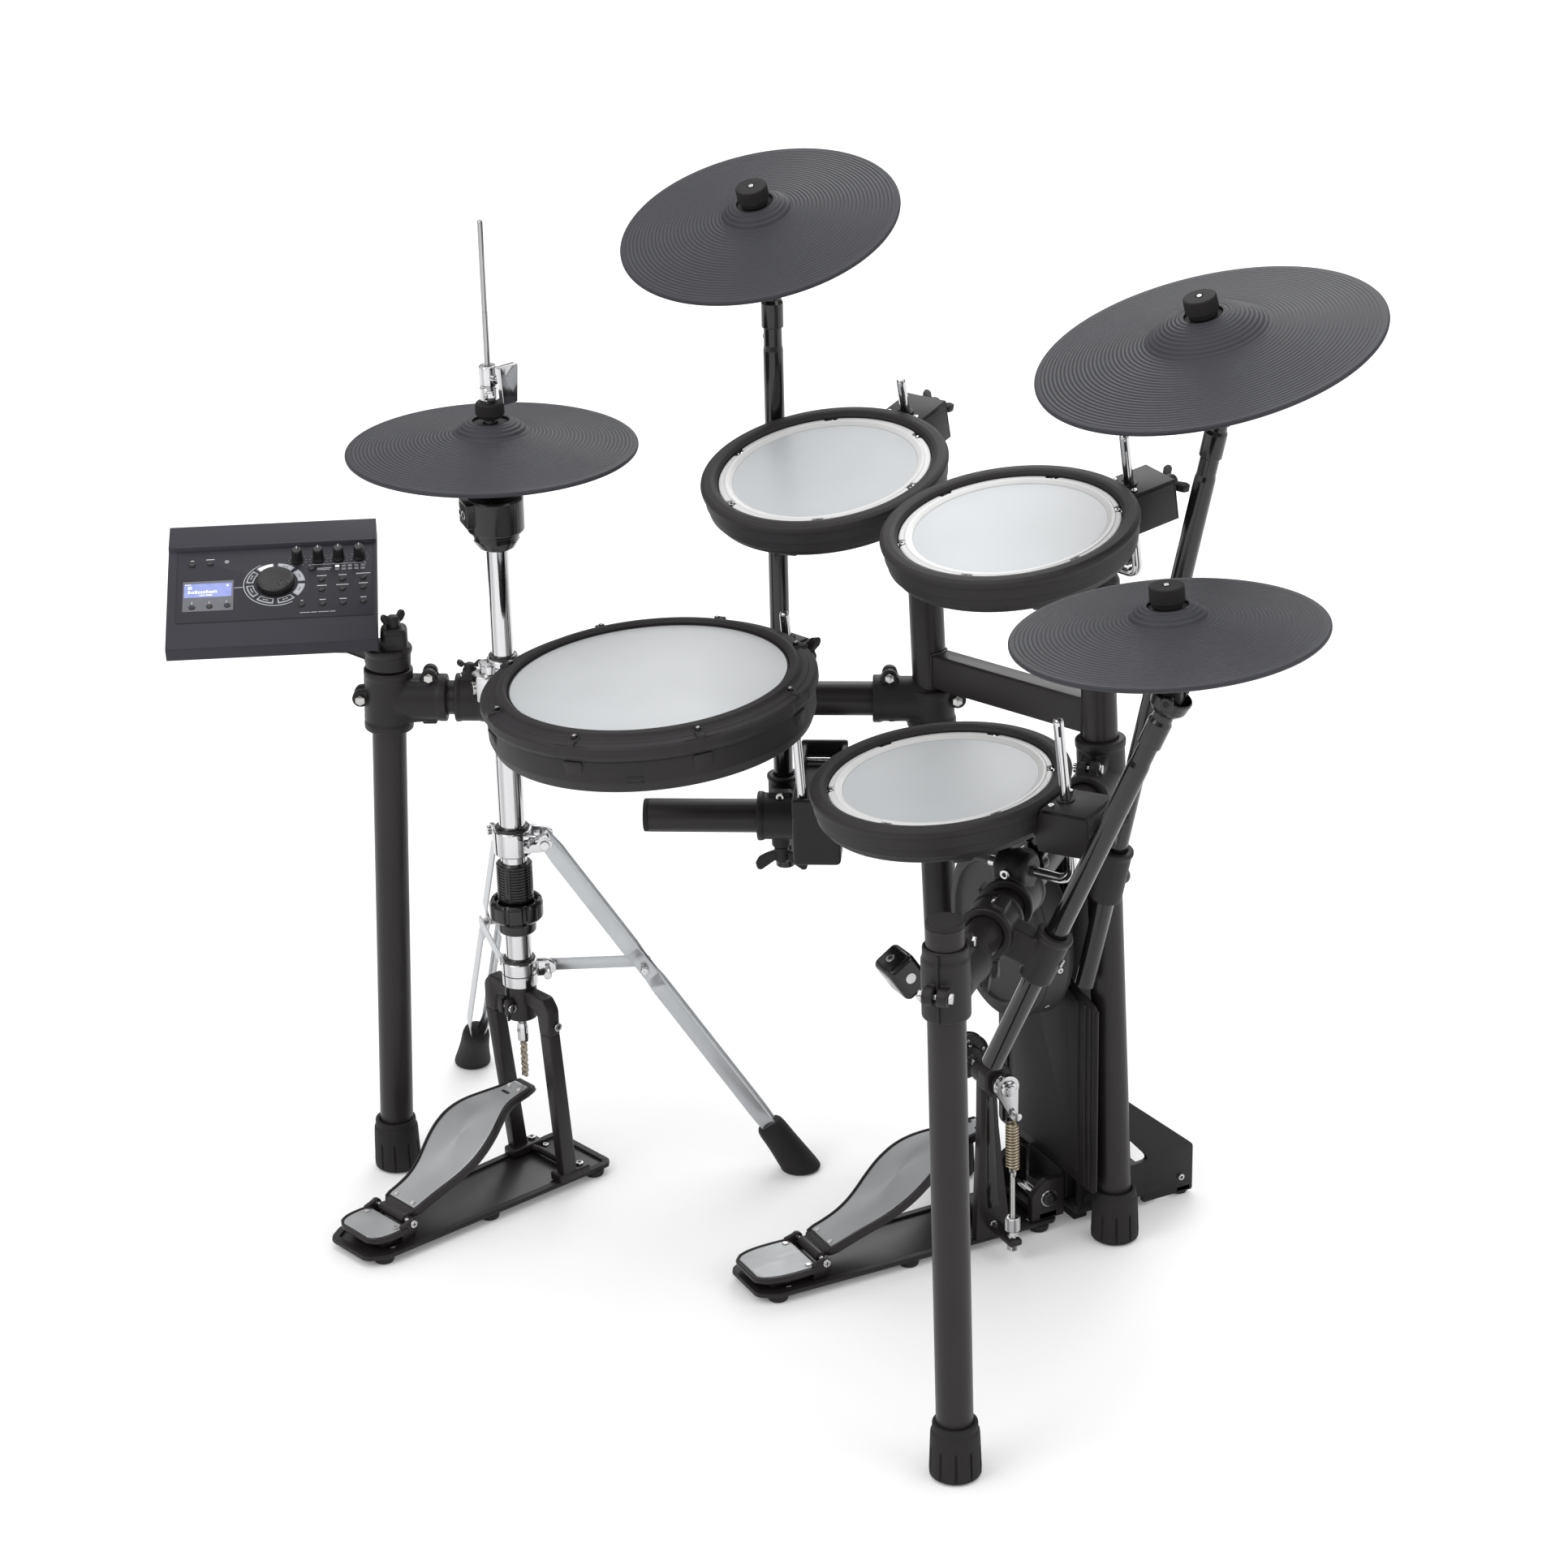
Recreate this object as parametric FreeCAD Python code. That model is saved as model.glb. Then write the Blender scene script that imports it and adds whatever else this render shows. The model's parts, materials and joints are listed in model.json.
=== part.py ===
import FreeCAD, Part
import math
import os

V = FreeCAD.Vector

# ---------------------------------------------------------------- sizes (mm)
origin_x, origin_y = 18.544, -11.604        # plan centre of the kit in layout coordinates

rack_r, rack_wall = 19.05, 2.0         # rack tubing, 38.1 mm outside
foot_r, foot_h = 27.0, 62.0
pole_r = 11.0                          # cymbal poles, 22 mm outside
rod_r = 5.25                           # bent pad rods, 10.5 mm
run_fit = 0.05                         # radial running clearance

# legs: axis point at the floor and lean per millimetre of height
leg_a0, leg_a_lean = V(-401, -315, 0), V(0.0203, 0.0385, 1)
leg_d0, leg_d_lean = V(489, -73, 0), V(-0.0065, -0.0098, 1)
post_lean = V(-0.0613, -0.0065, 1)
post_b0, post_c0 = V(-59.4, 236.8, 0), V(160, 322, 0)
z_ab, z_cd, z_arm, z_bar = 588.0, 548.0, 440.0, 618.0
leg_a_top, leg_d_top, post_top = 636.0, 612.0, 768.0
arm_end = V(-254.7, -41.3, z_arm)

# pads: centre of the rim's top plane, tilt and the direction it leans to (degrees)
tom_r, tom_depth = 133.0, 40.0
tom_1_c, tom_1_tilt, tom_1_az, tom_1_mount = V(-71.8, 92.8, 883.6), 11.9, -65.0, 114.5
tom_2_c, tom_2_tilt, tom_2_az, tom_2_mount = V(192.5, 164.5, 886.9), 9.3, -73.0, 93.0
floor_c, floor_tilt, floor_az, floor_mount = V(270, 38, 665), 5.5, -104.0, 28.0
snare_r, snare_depth = 176.0, 62.0
snare_c, snare_tilt, snare_az, snare_mount = V(0, -155, 722), 4.0, -110.0, 104.0
mount_out = 14.0                       # pad edge to rod axis

# cymbals: centre of the edge plane, radius, tilt, lean direction
crash_r, ride_r, hat_r = 152.4, 178.0, 157.5
crash_1_c, crash_1_tilt, crash_1_az = V(-212.3, 95.5, 1110.8), 18.4, -61.0
ride_c, ride_tilt, ride_az = V(303, 330, 1070), 14.6, -90.0
crash_2_c, crash_2_tilt, crash_2_az = V(524, 144, 878), 4.3, -136.0
stem_drop = 62.0                       # cymbal edge plane to tilter pivot
ride_pole_end = V(151, 284, 319)
boom_end = V(388.6, 28.6, 393.5)
crash_1_pole_z0 = 356.0

# hi-hat stand
hat_x, hat_y = -290.0, -194.0
hat_dir = 104.6                        # heading of the hi-hat pedal
hat_low_r, hat_up_r, hat_rod_r = 15.0, 12.4, 3.2
hat_edge_z = 889.0
hat_rod_step, hat_rod_top = 1041.0, 1141.0
leg_head = (65.0, 169.0)               # headings of the two stand legs
hub_z, hub_reach, foot_reach = 430.0, 36.0, 316.0
brace_z = 268.0

# kick pedal and tower
kick_x = 62.0
kick_axle_y, kick_axle_z = 186.0, 219.0
kick_cam_r = 30.0
kick_hinge_y, kick_hinge_z = -12.0, 30.0
kick_pad_y, kick_pad_z, kick_pad_r = 222.0, 362.0, 99.0
beater_lean, beater_l = 33.5, 145.0

# sound module
mod_c, mod_yaw, mod_tilt = V(-490.6, -382.4, 709.4), 67.0, 22.5
mod_w, mod_d = 232.0, 204.0

nodes = {}


# ---------------------------------------------------------------- helpers
def unit(v):
    return V(v).multiply(1.0 / v.Length)


def cyl(a, b, r):
    d = b - a
    return Part.makeCylinder(r, d.Length, a, d)


def tube(a, b, ro, ri):
    d = unit(b - a)
    return cyl(a, b, ro).cut(cyl(a - d * 2, b + d * 2, ri))


def cone(a, b, r1, r2):
    d = b - a
    return Part.makeCone(r1, r2, d.Length, a, d)


def fuse(*parts):
    s = parts[0]
    for p in parts[1:]:
        t = s.fuse(p)
        s = t if not t.isNull() and t.isValid() else s.fuse(p, 1e-4)
    t = s.removeSplitter()
    return s if t.isNull() or not t.isValid() else t


def carve(s, tool):
    """Cut with a second try at a looser tolerance."""
    for tol in (0.0, 1e-4, 1e-3, 5e-3):
        try:
            t = s.cut(tool) if tol == 0.0 else s.cut([tool], tol)
            if t.Solids and t.isValid():
                return t
        except ValueError:
            pass
    raise ValueError("cut failed")


def frame(o, z, x):
    """Placement with local z along z and local x as near x as it can be."""
    z = unit(z)
    y = unit(z.cross(x))
    x = y.cross(z)
    m = FreeCAD.Matrix(x.x, y.x, z.x, o.x, x.y, y.y, z.y, o.y, x.z, y.z, z.z, o.z, 0, 0, 0, 1)
    return FreeCAD.Placement(m)


def put(shape, pl):
    s = shape.copy()
    s.Placement = pl.multiply(s.Placement)
    return s


def at(pl, x, y, z):
    return pl.multVec(V(x, y, z))


def way(pl, x, y, z):
    return pl.Rotation.multVec(V(x, y, z))


def rev(pts):
    """Solid of revolution about z from (r, z) corner points."""
    w = Part.makePolygon([V(r, 0, z) for r, z in pts] + [V(pts[0][0], 0, pts[0][1])])
    return Part.Face(w).revolve(V(0, 0, 0), V(0, 0, 1), 360)


def prism(pts, normal):
    """Extrude a closed 3-D polygon along normal."""
    w = Part.makePolygon(list(pts) + [pts[0]])
    return Part.Face(w).extrude(normal)


def block(x0, x1, y0, y1, z0, z1):
    return Part.makeBox(x1 - x0, y1 - y0, z1 - z0, V(x0, y0, z0))


def rounded(shape, r, pick=None):
    """Round the chosen edges, or leave the shape sharp if it can't be done."""
    try:
        es = [e for e in shape.Edges if pick is None or pick(e)]
        s = shape.makeFillet(r, es)
        return s if s.isValid() and s.Solids else shape
    except Exception:
        return shape


def tilt_frame(c, tilt, az, xaz):
    t, a = math.radians(tilt), math.radians(az)
    n = V(math.sin(t) * math.cos(a), math.sin(t) * math.sin(a), math.cos(t))
    return frame(c, n, V(math.cos(math.radians(xaz)), math.sin(math.radians(xaz)), 0))


def leg_pt(p0, lean, z):
    return p0 + V(lean.x, lean.y, 1) * z


def group(*shapes):
    out = []
    for s in shapes:
        out += s.Solids
    return Part.makeCompound(out)


A = lambda z: leg_pt(leg_a0, leg_a_lean, z)
B = lambda z: leg_pt(post_b0, post_lean, z)
C = lambda z: leg_pt(post_c0, post_lean, z)
D = lambda z: leg_pt(leg_d0, leg_d_lean, z)

# ---------------------------------------------------------------- rack tubing
ab0, ab1 = A(z_ab), B(z_ab - 8)
cd0, cd1 = C(z_cd), D(z_cd)
arm0 = B(z_arm)
d_ab, d_cd, d_arm = unit(ab1 - ab0), unit(cd1 - cd0), unit(arm_end - arm0)
ri = rack_r - rack_wall
side_gap = 23.0
nodes["rack_tubes"] = group(
    tube(A(12), A(leg_a_top), rack_r, ri),
    tube(D(12), D(leg_d_top), rack_r, ri),
    tube(ab0 + d_ab * side_gap, ab1 - d_ab * side_gap, rack_r, ri),
    tube(cd0 + d_cd * side_gap, cd1 - d_cd * side_gap, rack_r, ri),
    tube(arm0 + d_arm * side_gap, arm_end, rack_r, ri),
)

bar = frame((B(z_bar) + C(z_bar)) * 0.5, V(0, 0, 1), C(z_bar) - B(z_bar))
bar_l = (C(z_bar) - B(z_bar)).Length
bar_s = put(block(-bar_l / 2, bar_l / 2, -13, 13, -20, 20), bar)
post_b, post_c = cyl(B(12), B(post_top), rack_r), cyl(C(12), C(post_top), rack_r)
bar_s = bar_s.cut(post_b).cut(post_c)
bar_s = max(bar_s.Solids, key=lambda s: s.Volume)
bar_s = bar_s.cut(put(block(-bar_l / 2, bar_l / 2, -11, 11, -18, 18), bar))
nodes["center_frame"] = group(tube(B(12), B(post_top), rack_r, ri), tube(C(12), C(post_top), rack_r, ri), bar_s)


# rubber feet and plastic end caps
def foot(p):
    prof = [(0, 0), (foot_r - 3, 0), (foot_r, 3), (foot_r - 0.6, 18), (25.6, 44), (25.2, 52), (23.6, 54), (23.6, foot_h), (0, foot_h)]
    s = put(rev(prof), FreeCAD.Placement(p(30) - V(0, 0, 30), FreeCAD.Rotation()))
    for k in range(8):
        a = math.radians(45 * k + 10)
        c = p(30) - V(0, 0, 30) + V(math.cos(a), math.sin(a), 0) * (foot_r + 1)
        s = s.cut(Part.makeBox(3.2, 3.2, 30, c - V(1.6, 1.6, -4)))
    return s.cut(cyl(p(12), p(foot_h + 20), rack_r))


def cap(p, d):
    return fuse(cyl(p, p + d * 6, rack_r - 0.15), cyl(p - d * 16, p, ri - 0.2))


cap_d = D(leg_d_top)
nodes["rack_feet"] = group(foot(A), foot(B), foot(C), foot(D), cap(cap_d, unit(leg_d_lean)), cap(arm_end, d_arm))


# ---------------------------------------------------------------- rack joints
bolts = []


def joint_casting(p, leg_d, arm_d, up, down, reach, slit=True, flip=1):
    """Sleeve round an upright with a side socket for a level tube, split and bolted."""
    leg_d, arm_d = unit(leg_d), unit(arm_d)
    side = unit(leg_d.cross(arm_d)) * flip
    sleeve = cyl(p - leg_d * down, p + leg_d * up, 26.5)
    socket = cyl(p, p + arm_d * reach, 25.5)
    lip1 = cyl(p + leg_d * (up - 9), p + leg_d * up, 27.6)
    lip2 = cyl(p - leg_d * down, p - leg_d * (down - 9), 27.6)
    lip3 = cyl(p + arm_d * (reach - 9), p + arm_d * reach, 26.8)
    back = unit(arm_d * -1)
    ears = []
    cuts = []
    # ear on the sleeve, opposite the socket
    e = p + back * 30 + leg_d * 2
    ears.append(cyl(e - side * 13, e + side * 13, 9.5))
    cuts.append(put(block(-3, 14, -1.6, 1.6, -down - 5, up + 5), frame(p + back * 24, leg_d, back)))
    cuts.append(cyl(e - side * 20, e + side * 20, 3.4))
    bolts.append(cyl(e - side * 16.5, e + side * 16.5, 3.2))
    bolts[-1] = fuse(bolts[-1], cyl(e + side * 13, e + side * 18.5, 5.6), cyl(e - side * 17.5, e - side * 13, 5.8))
    # ear above the socket
    f = p + arm_d * (reach - 20) + leg_d * 28
    ears.append(cyl(f - side * 12, f + side * 12, 8.5))
    cuts.append(put(block(-16, 16, -1.6, 1.6, -4, 14), frame(p + arm_d * (reach - 12) + leg_d * 22, leg_d, arm_d)))
    cuts.append(cyl(f - side * 20, f + side * 20, 3.2))
    bolts.append(fuse(cyl(f - side * 15.5, f + side * 15.5, 3.0), cyl(f + side * 12, f + side * 17, 5.2), cyl(f - side * 16.5, f - side * 12, 5.4)))
    web = prism([p + leg_d * (up - 10), p + leg_d * 24 + arm_d * 44, p - leg_d * 24 + arm_d * 44, p - leg_d * (down - 10)], side * 8)
    web = web.translated(side * -4)
    s = sleeve
    for q in (socket, lip1, lip2, lip3, web, *ears):
        s = s.fuse(q)
    for c in [cyl(p - leg_d * 200, p + leg_d * 200, rack_r), cyl(p + arm_d * side_gap, p + arm_d * 200, rack_r)] + cuts:
        s = carve(s, c)
    return max(s.Solids, key=lambda q: q.Volume)


j_a = joint_casting(A(z_ab), leg_a_lean, d_ab, 36, 36, 66)
j_b = joint_casting(B(z_ab - 8), post_lean, d_ab * -1, 14.5, 30, 64, flip=-1)
j_c = joint_casting(C(z_cd), post_lean, d_cd, 46, 46, 66, flip=-1)
j_d = joint_casting(D(z_cd), leg_d_lean, d_cd * -1, 44, 31, 66)
j_s = joint_casting(B(z_arm), post_lean, d_arm, 30, 30, 64)

# module mount: sleeve and plug on the left leg's top, level arm and two hinge ears
mod_x = V(math.cos(math.radians(mod_yaw)), math.sin(math.radians(mod_yaw)), 0)
mod_b = V(-mod_x.y, mod_x.x, 0)
mod_y = mod_b * math.cos(math.radians(mod_tilt)) + V(0, 0, math.sin(math.radians(mod_tilt)))
mod_z = mod_x.cross(mod_y)
mod_pl = frame(mod_c, mod_z, mod_x)
hinge_l = (20.0, -28.0, -46.0)          # module tilt hinge in module coordinates
hinge_p = at(mod_pl, *hinge_l)
top_a = A(leg_a_top)
up_a = unit(leg_a_lean)
m_plug = fuse(cyl(top_a - up_a * 11, top_a + up_a * 14, 25.5), cyl(top_a + up_a * 7, top_a + up_a * 14, 27.0))
m_ear = fuse(m_plug, cyl(top_a + mod_x * 14 - V(0, 0, 8), top_a + mod_x * 14 + V(0, 0, 38), 10.0))
m_ear = m_ear.cut(cyl(top_a - up_a * 30, top_a, rack_r))
arm_a = top_a + up_a * 4
lug = [cyl(hinge_p + mod_x * s - mod_x * 5, hinge_p + mod_x * s + mod_x * 5, 13.0) for s in (-20, 20)]
arm_b = V(hinge_p.x, hinge_p.y, arm_a.z)
beam_d = unit(arm_b - arm_a)
beam_s = V(0, 0, 1).cross(beam_d)
arm_o = arm_a + beam_d * 21
beam = prism([arm_o - beam_s * 15 - V(0, 0, 7), arm_b - mod_x * 25 - mod_b * 13 - V(0, 0, 7), arm_b - mod_x * 25 + mod_b * 13 - V(0, 0, 7), arm_b + mod_x * 25 + mod_b * 13 - V(0, 0, 7), arm_o + beam_s * 15 - V(0, 0, 7)], V(0, 0, 15))
posts = []
for s in (-20, 20):
    q = hinge_p + mod_x * s
    posts.append(put(block(-5, 5, -13, 13, arm_a.z - 7 - q.z, 0), frame(q, V(0, 0, 1), mod_x)))
m_mount = fuse(m_ear, beam, *lug, *posts)
m_mount = m_mount.cut(cyl(hinge_p - mod_x * 15, hinge_p + mod_x * 15, 14.5)).cut(cyl(hinge_p - mod_x * 60, hinge_p + mod_x * 60, 4.0))
m_mount = max(m_mount.Solids, key=lambda q: q.Volume)
bolts.append(fuse(cyl(hinge_p - mod_x * 29, hinge_p + mod_x * 29, 3.9), cyl(hinge_p + mod_x * 25.1, hinge_p + mod_x * 31, 8.0), cyl(hinge_p - mod_x * 31, hinge_p - mod_x * 25.1, 8.0)))
mw = top_a + mod_x * 14 + V(0, 0, 38.1)
bolts.append(fuse(cyl(mw, mw + V(0, 0, 10), 8.0), put(block(-3, 3, -20, 20, 4, 22), frame(mw, V(0, 0, 1), mod_x)), cyl(mw, mw + V(0, 0, 18), 6.0)))
nodes["rack_joints"] = group(j_a, j_b, j_c, j_d, j_s, m_mount)


# ---------------------------------------------------------------- clamps
def cym_frame(c, tilt, az, pole_end):
    """Cymbal placement whose x axis is the tilter's cross bolt, square to the pole."""
    t, a = math.radians(tilt), math.radians(az)
    n = V(math.sin(t) * math.cos(a), math.sin(t) * math.sin(a), math.cos(t))
    piv = c - n * stem_drop
    d = V(0, 0, 1) if pole_end is None else unit(piv - pole_end)
    return frame(c, n, n.cross(d))


crash_1_pl = cym_frame(crash_1_c, crash_1_tilt, crash_1_az, None)
ride_pl = cym_frame(ride_c, ride_tilt, ride_az, ride_pole_end)
crash_2_pl = cym_frame(crash_2_c, crash_2_tilt, crash_2_az, boom_end)
piv_1, piv_2, piv_3 = at(crash_1_pl, 0, 0, -stem_drop), at(ride_pl, 0, 0, -stem_drop), at(crash_2_pl, 0, 0, -stem_drop)
pole_1a, pole_1b = V(piv_1.x, piv_1.y, crash_1_pole_z0), piv_1 - V(0, 0, 22)
d_ride = unit(piv_2 - ride_pole_end)
d_boom = unit(piv_3 - boom_end)
pole_2a, pole_2b = ride_pole_end, piv_2 - d_ride * 22
pole_3a, pole_3b = boom_end, piv_3 - d_boom * 22


def closest(p, u, q, v):
    w = p - q
    a, b, c, d, e = u.dot(u), u.dot(v), v.dot(v), u.dot(w), v.dot(w)
    den = a * c - b * b
    return p + u * ((b * e - c * d) / den), q + v * ((a * e - b * d) / den)


def two_way_clamp(p_tube, d_tube, p_pole, d_pole, lt, lp, screw):
    """Casting that grips a rack tube and carries a pole beside it."""
    d_tube, d_pole = unit(d_tube), unit(d_pole)
    off = p_pole - p_tube
    o = unit(off)
    ring = cyl(p_tube - d_tube * lt / 2, p_tube + d_tube * lt / 2, 26.5)
    lip = [cyl(p_tube - d_tube * lt / 2, p_tube - d_tube * (lt / 2 - 6), 28), cyl(p_tube + d_tube * (lt / 2 - 6), p_tube + d_tube * lt / 2, 28)]
    sleeve = cyl(p_pole - d_pole * lp / 2, p_pole + d_pole * lp / 2, 17.5)
    lip.append(cyl(p_pole + d_pole * (lp / 2 - 6), p_pole + d_pole * lp / 2, 19))
    s1 = unit(d_tube.cross(o))
    web = prism([p_tube + d_tube * 14 - s1 * 16, p_tube - d_tube * 14 - s1 * 16, p_tube - d_tube * 14 + s1 * 16, p_tube + d_tube * 14 + s1 * 16], off)
    boss = cyl(p_tube + screw * 20, p_tube + screw * 36, 11)
    s = fuse(ring, sleeve, web, boss, *lip)
    s = s.cut(cyl(p_tube - d_tube * 80, p_tube + d_tube * 80, rack_r)).cut(cyl(p_pole - d_pole * 80, p_pole + d_pole * 80, pole_r))
    return max(s.Solids, key=lambda q: q.Volume)


def wing(p, d, across, drop=24.0, span=15.0):
    """Wing bolt with hub at p, axis d and its blades along across."""
    d = unit(d)
    a = unit(across - d * across.dot(d))
    b = d.cross(a)
    hub = fuse(cyl(p, p + d * 20, 8.5), cyl(p + d * 16, p + d * 21, 7.0))
    blade = []
    for s in (1, -1):
        pts = [p + d * 5 + a * s * 3, p + d * 18 + a * s * 3, p + d * 27 + a * s * (span + 6), p + d * 30 + a * s * (drop + 4), p + d * 20 + a * s * (drop + 7), p + d * 9 + a * s * (span + 2)]
        blade.append(prism([q - b * 3.2 for q in pts], b * 6.4))
    return fuse(hub, *blade)


# left crash clamp and snare clamp share one casting on the snare arm
p1t, p1p = closest(arm0, d_arm, pole_1a, V(0, 0, 1))
k_1 = two_way_clamp(p1t, d_arm, p1p, V(0, 0, 1), 52, 60, V(0, 0, -1))
# ride clamp on the right-hand centre post
z_k2 = 500.0
ride_k = ride_pole_end + d_ride * ((z_k2 - ride_pole_end.z) / d_ride.z)
ring_2 = cyl(C(z_k2 - 70), C(z_k2 - 5), 26.5)
ring_2 = ring_2.cut(cyl(C(z_k2 - 90), C(z_k2 + 20), rack_r))
ride_q = ride_pole_end + d_ride * ((z_k2 - 38 - ride_pole_end.z) / d_ride.z)
o2 = unit(V(ride_q.x - C(z_k2 - 38).x, ride_q.y - C(z_k2 - 38).y, 0))
s2 = V(0, 0, 1).cross(o2)
web_2 = prism([C(z_k2 - 66) - s2 * 13 + o2 * 10, C(z_k2 - 66) + s2 * 13 + o2 * 10, C(z_k2 - 12) + s2 * 13 + o2 * 10, C(z_k2 - 12) - s2 * 13 + o2 * 10], V(ride_q.x - C(z_k2 - 38).x, ride_q.y - C(z_k2 - 38).y, 0) - o2 * 10)
k_2 = fuse(ring_2, cyl(ride_q - d_ride * 32, ride_q + d_ride * 32, 17.5), cyl(ride_q + d_ride * 26, ride_q + d_ride * 32, 19), cyl(C(z_k2 - 38) - o2 * 20, C(z_k2 - 38) - o2 * 37, 11), web_2)
k_2 = k_2.cut(cyl(C(z_k2 - 120), C(z_k2 + 60), rack_r)).cut(cyl(ride_q - d_ride * 90, ride_q + d_ride * 90, pole_r))
k_2 = max(k_2.Solids, key=lambda q: q.Volume)
# right crash clamp on the right side tube
p3t, p3p = closest(cd0, d_cd, boom_end, d_boom)
k_3 = two_way_clamp(p3t, d_cd, p3p, d_boom, 44, 56, V(0, 0, -1))


# pad frames: local z is the head's normal, local x points at the mount
def pad_frame(c, tilt, az, mount):
    return tilt_frame(c, tilt, az, mount)


tom_1_pl = pad_frame(tom_1_c, tom_1_tilt, tom_1_az, tom_1_mount)
tom_2_pl = pad_frame(tom_2_c, tom_2_tilt, tom_2_az, tom_2_mount)
floor_pl = pad_frame(floor_c, floor_tilt, floor_az, floor_mount)
snare_pl = pad_frame(snare_c, snare_tilt, snare_az, snare_mount)


def bent_rod(pl, reach, top, corner, ball, over):
    """Rod down through the pad's mount, one bend, then level into the ball clamp."""
    a, k = at(pl, reach, 0, top), at(pl, reach, 0, corner)
    d1 = unit(k - a)
    d2 = unit(ball - k)
    ang = math.acos(max(-1, min(1, d1.dot(d2))))
    rb = 16.0
    t = rb * math.tan(ang / 2)
    e1, e2 = k - d1 * t, k + d2 * t
    n = unit(d1.cross(d2))
    cen = e1 + n.cross(d1) * rb
    end = ball + d2 * over
    s1 = cyl(a, e1, rod_r)
    prof = Part.Face(Part.Wire(Part.makeCircle(rod_r, e1, d1)))
    s2 = prof.revolve(cen, n, math.degrees(ang))
    s3 = cyl(e2, end, rod_r)
    tip = Part.makeCone(rod_r, rod_r - 1.6, 3.0, a, d1 * -1)
    return fuse(s1, s2, s3, tip), d2


ball_1, ball_2 = B(post_top + 24), C(post_top + 24)
cd_k = cd0 + d_cd * ((cd1 - cd0).Length * 0.60)
ball_3 = cd_k + V(2, 3, 33)
ball_4 = p1t - d_arm * 50 + V(0, 0, 50)
rod_1, e_1 = bent_rod(tom_1_pl, tom_r + mount_out, 26, -122, ball_1, 28)
rod_2, e_2 = bent_rod(tom_2_pl, tom_r + mount_out, 42, -117, ball_2, 28)
rod_3, e_3 = bent_rod(floor_pl, tom_r + mount_out, 80, (ball_3.z - floor_c.z) - 11, ball_3, 30)
rod_4, e_4 = bent_rod(snare_pl, snare_r + mount_out, 2, (ball_4.z - snare_c.z) - 10, ball_4, 30)
nodes["pad_rods"] = group(rod_1, rod_2, rod_3, rod_4)


def ball_clamp(ball, rod_d, base, base_d, ring=None):
    """Housing round the rod's ball, on a post plug or on a ring round a level tube."""
    rod_d = unit(rod_d)
    house = fuse(cyl(ball - rod_d * 19, ball + rod_d * 19, 18.5), Part.makeSphere(21.0, ball))
    cap_d = unit(rod_d.cross(base_d))
    house = fuse(house, cyl(ball, ball + cap_d * 27, 13.0))
    base_d = unit(base_d)
    if ring is None:
        stem = fuse(cyl(base - base_d * 30, base + base_d * 4, 26.0), cyl(base - base_d * 30, base - base_d * 22, 27.4), cone(base + base_d * 4, ball, 25, 18))
        s = fuse(house, stem).cut(cyl(base - base_d * 60, base, rack_r))
    else:
        stem = fuse(cyl(base - ring * 24, base + ring * 24, 26.5), cyl(base - ring * 24, base - ring * 18, 28), cyl(base + ring * 18, base + ring * 24, 28), cyl(base, ball, 17.0))
        s = fuse(house, stem).cut(cyl(base - ring * 90, base + ring * 90, rack_r))
    s = s.cut(cyl(ball - rod_d * 70, ball + rod_d * 70, rod_r))
    return max(s.Solids, key=lambda q: q.Volume)


bc_1 = ball_clamp(ball_1, e_1, B(post_top), post_lean).cut(rod_1)
bc_2 = ball_clamp(ball_2, e_2, C(post_top), post_lean).cut(rod_2)
bc_3 = ball_clamp(ball_3, e_3, cd_k, V(0, 0, 1), d_cd).cut(rod_3)
s_base = p1t - d_arm * 50
sb = frame(s_base, V(0, 0, 1), d_arm * -1)
bc_4 = fuse(cyl(s_base - d_arm * 23.6, s_base + d_arm * 23.6, 26.5), rounded(put(block(-23, 23, -22, 22, 8, 76), sb), 5, lambda e: e.Length > 60), cyl(ball_4, ball_4 + unit(e_4.cross(V(0, 0, 1))) * 30, 12.0))
bc_4 = bc_4.cut(put(block(-15, 15, -14, 14, 62, 90), sb)).cut(cyl(s_base - d_arm * 90, s_base + d_arm * 90, rack_r)).cut(cyl(ball_4 - e_4 * 120, ball_4 + e_4 * 90, rod_r))
bc_4 = max(bc_4.cut(rod_4).Solids, key=lambda q: q.Volume)
# locking collar beside the left leg joint
lk = ab0 + d_ab * 92
collar = fuse(cyl(lk - d_ab * 17, lk + d_ab * 17, 26.5), cyl(lk - d_ab * 8 + V(0, 0, 26), lk + d_ab * 8 + V(0, 0, 26), 9.0), cyl(lk + V(0, 0, 20), lk + V(0, 0, 44), 7.5))
collar = collar.cut(cyl(lk - d_ab * 60, lk + d_ab * 60, rack_r))
collar = max(collar.Solids, key=lambda q: q.Volume)
nodes["rack_clamps"] = group(k_1, k_2, k_3, bc_1, bc_2, bc_3, bc_4, collar)

w1p = p1t - V(0, 0, 36.5)
nodes["left_crash_wing"] = wing(w1p, V(0, 0, -1), d_arm)
w2p = C(z_k2 - 38) - o2 * 37.5
nodes["ride_wing"] = wing(w2p, o2 * -1, V(0, 0, 1))
w3p = p3t - V(0, 0, 36.5)
nodes["right_crash_wing"] = wing(w3p, V(0, 0, -1), d_cd, 15.0, 9.0)

nodes["joint_bolts"] = group(*bolts)


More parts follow.
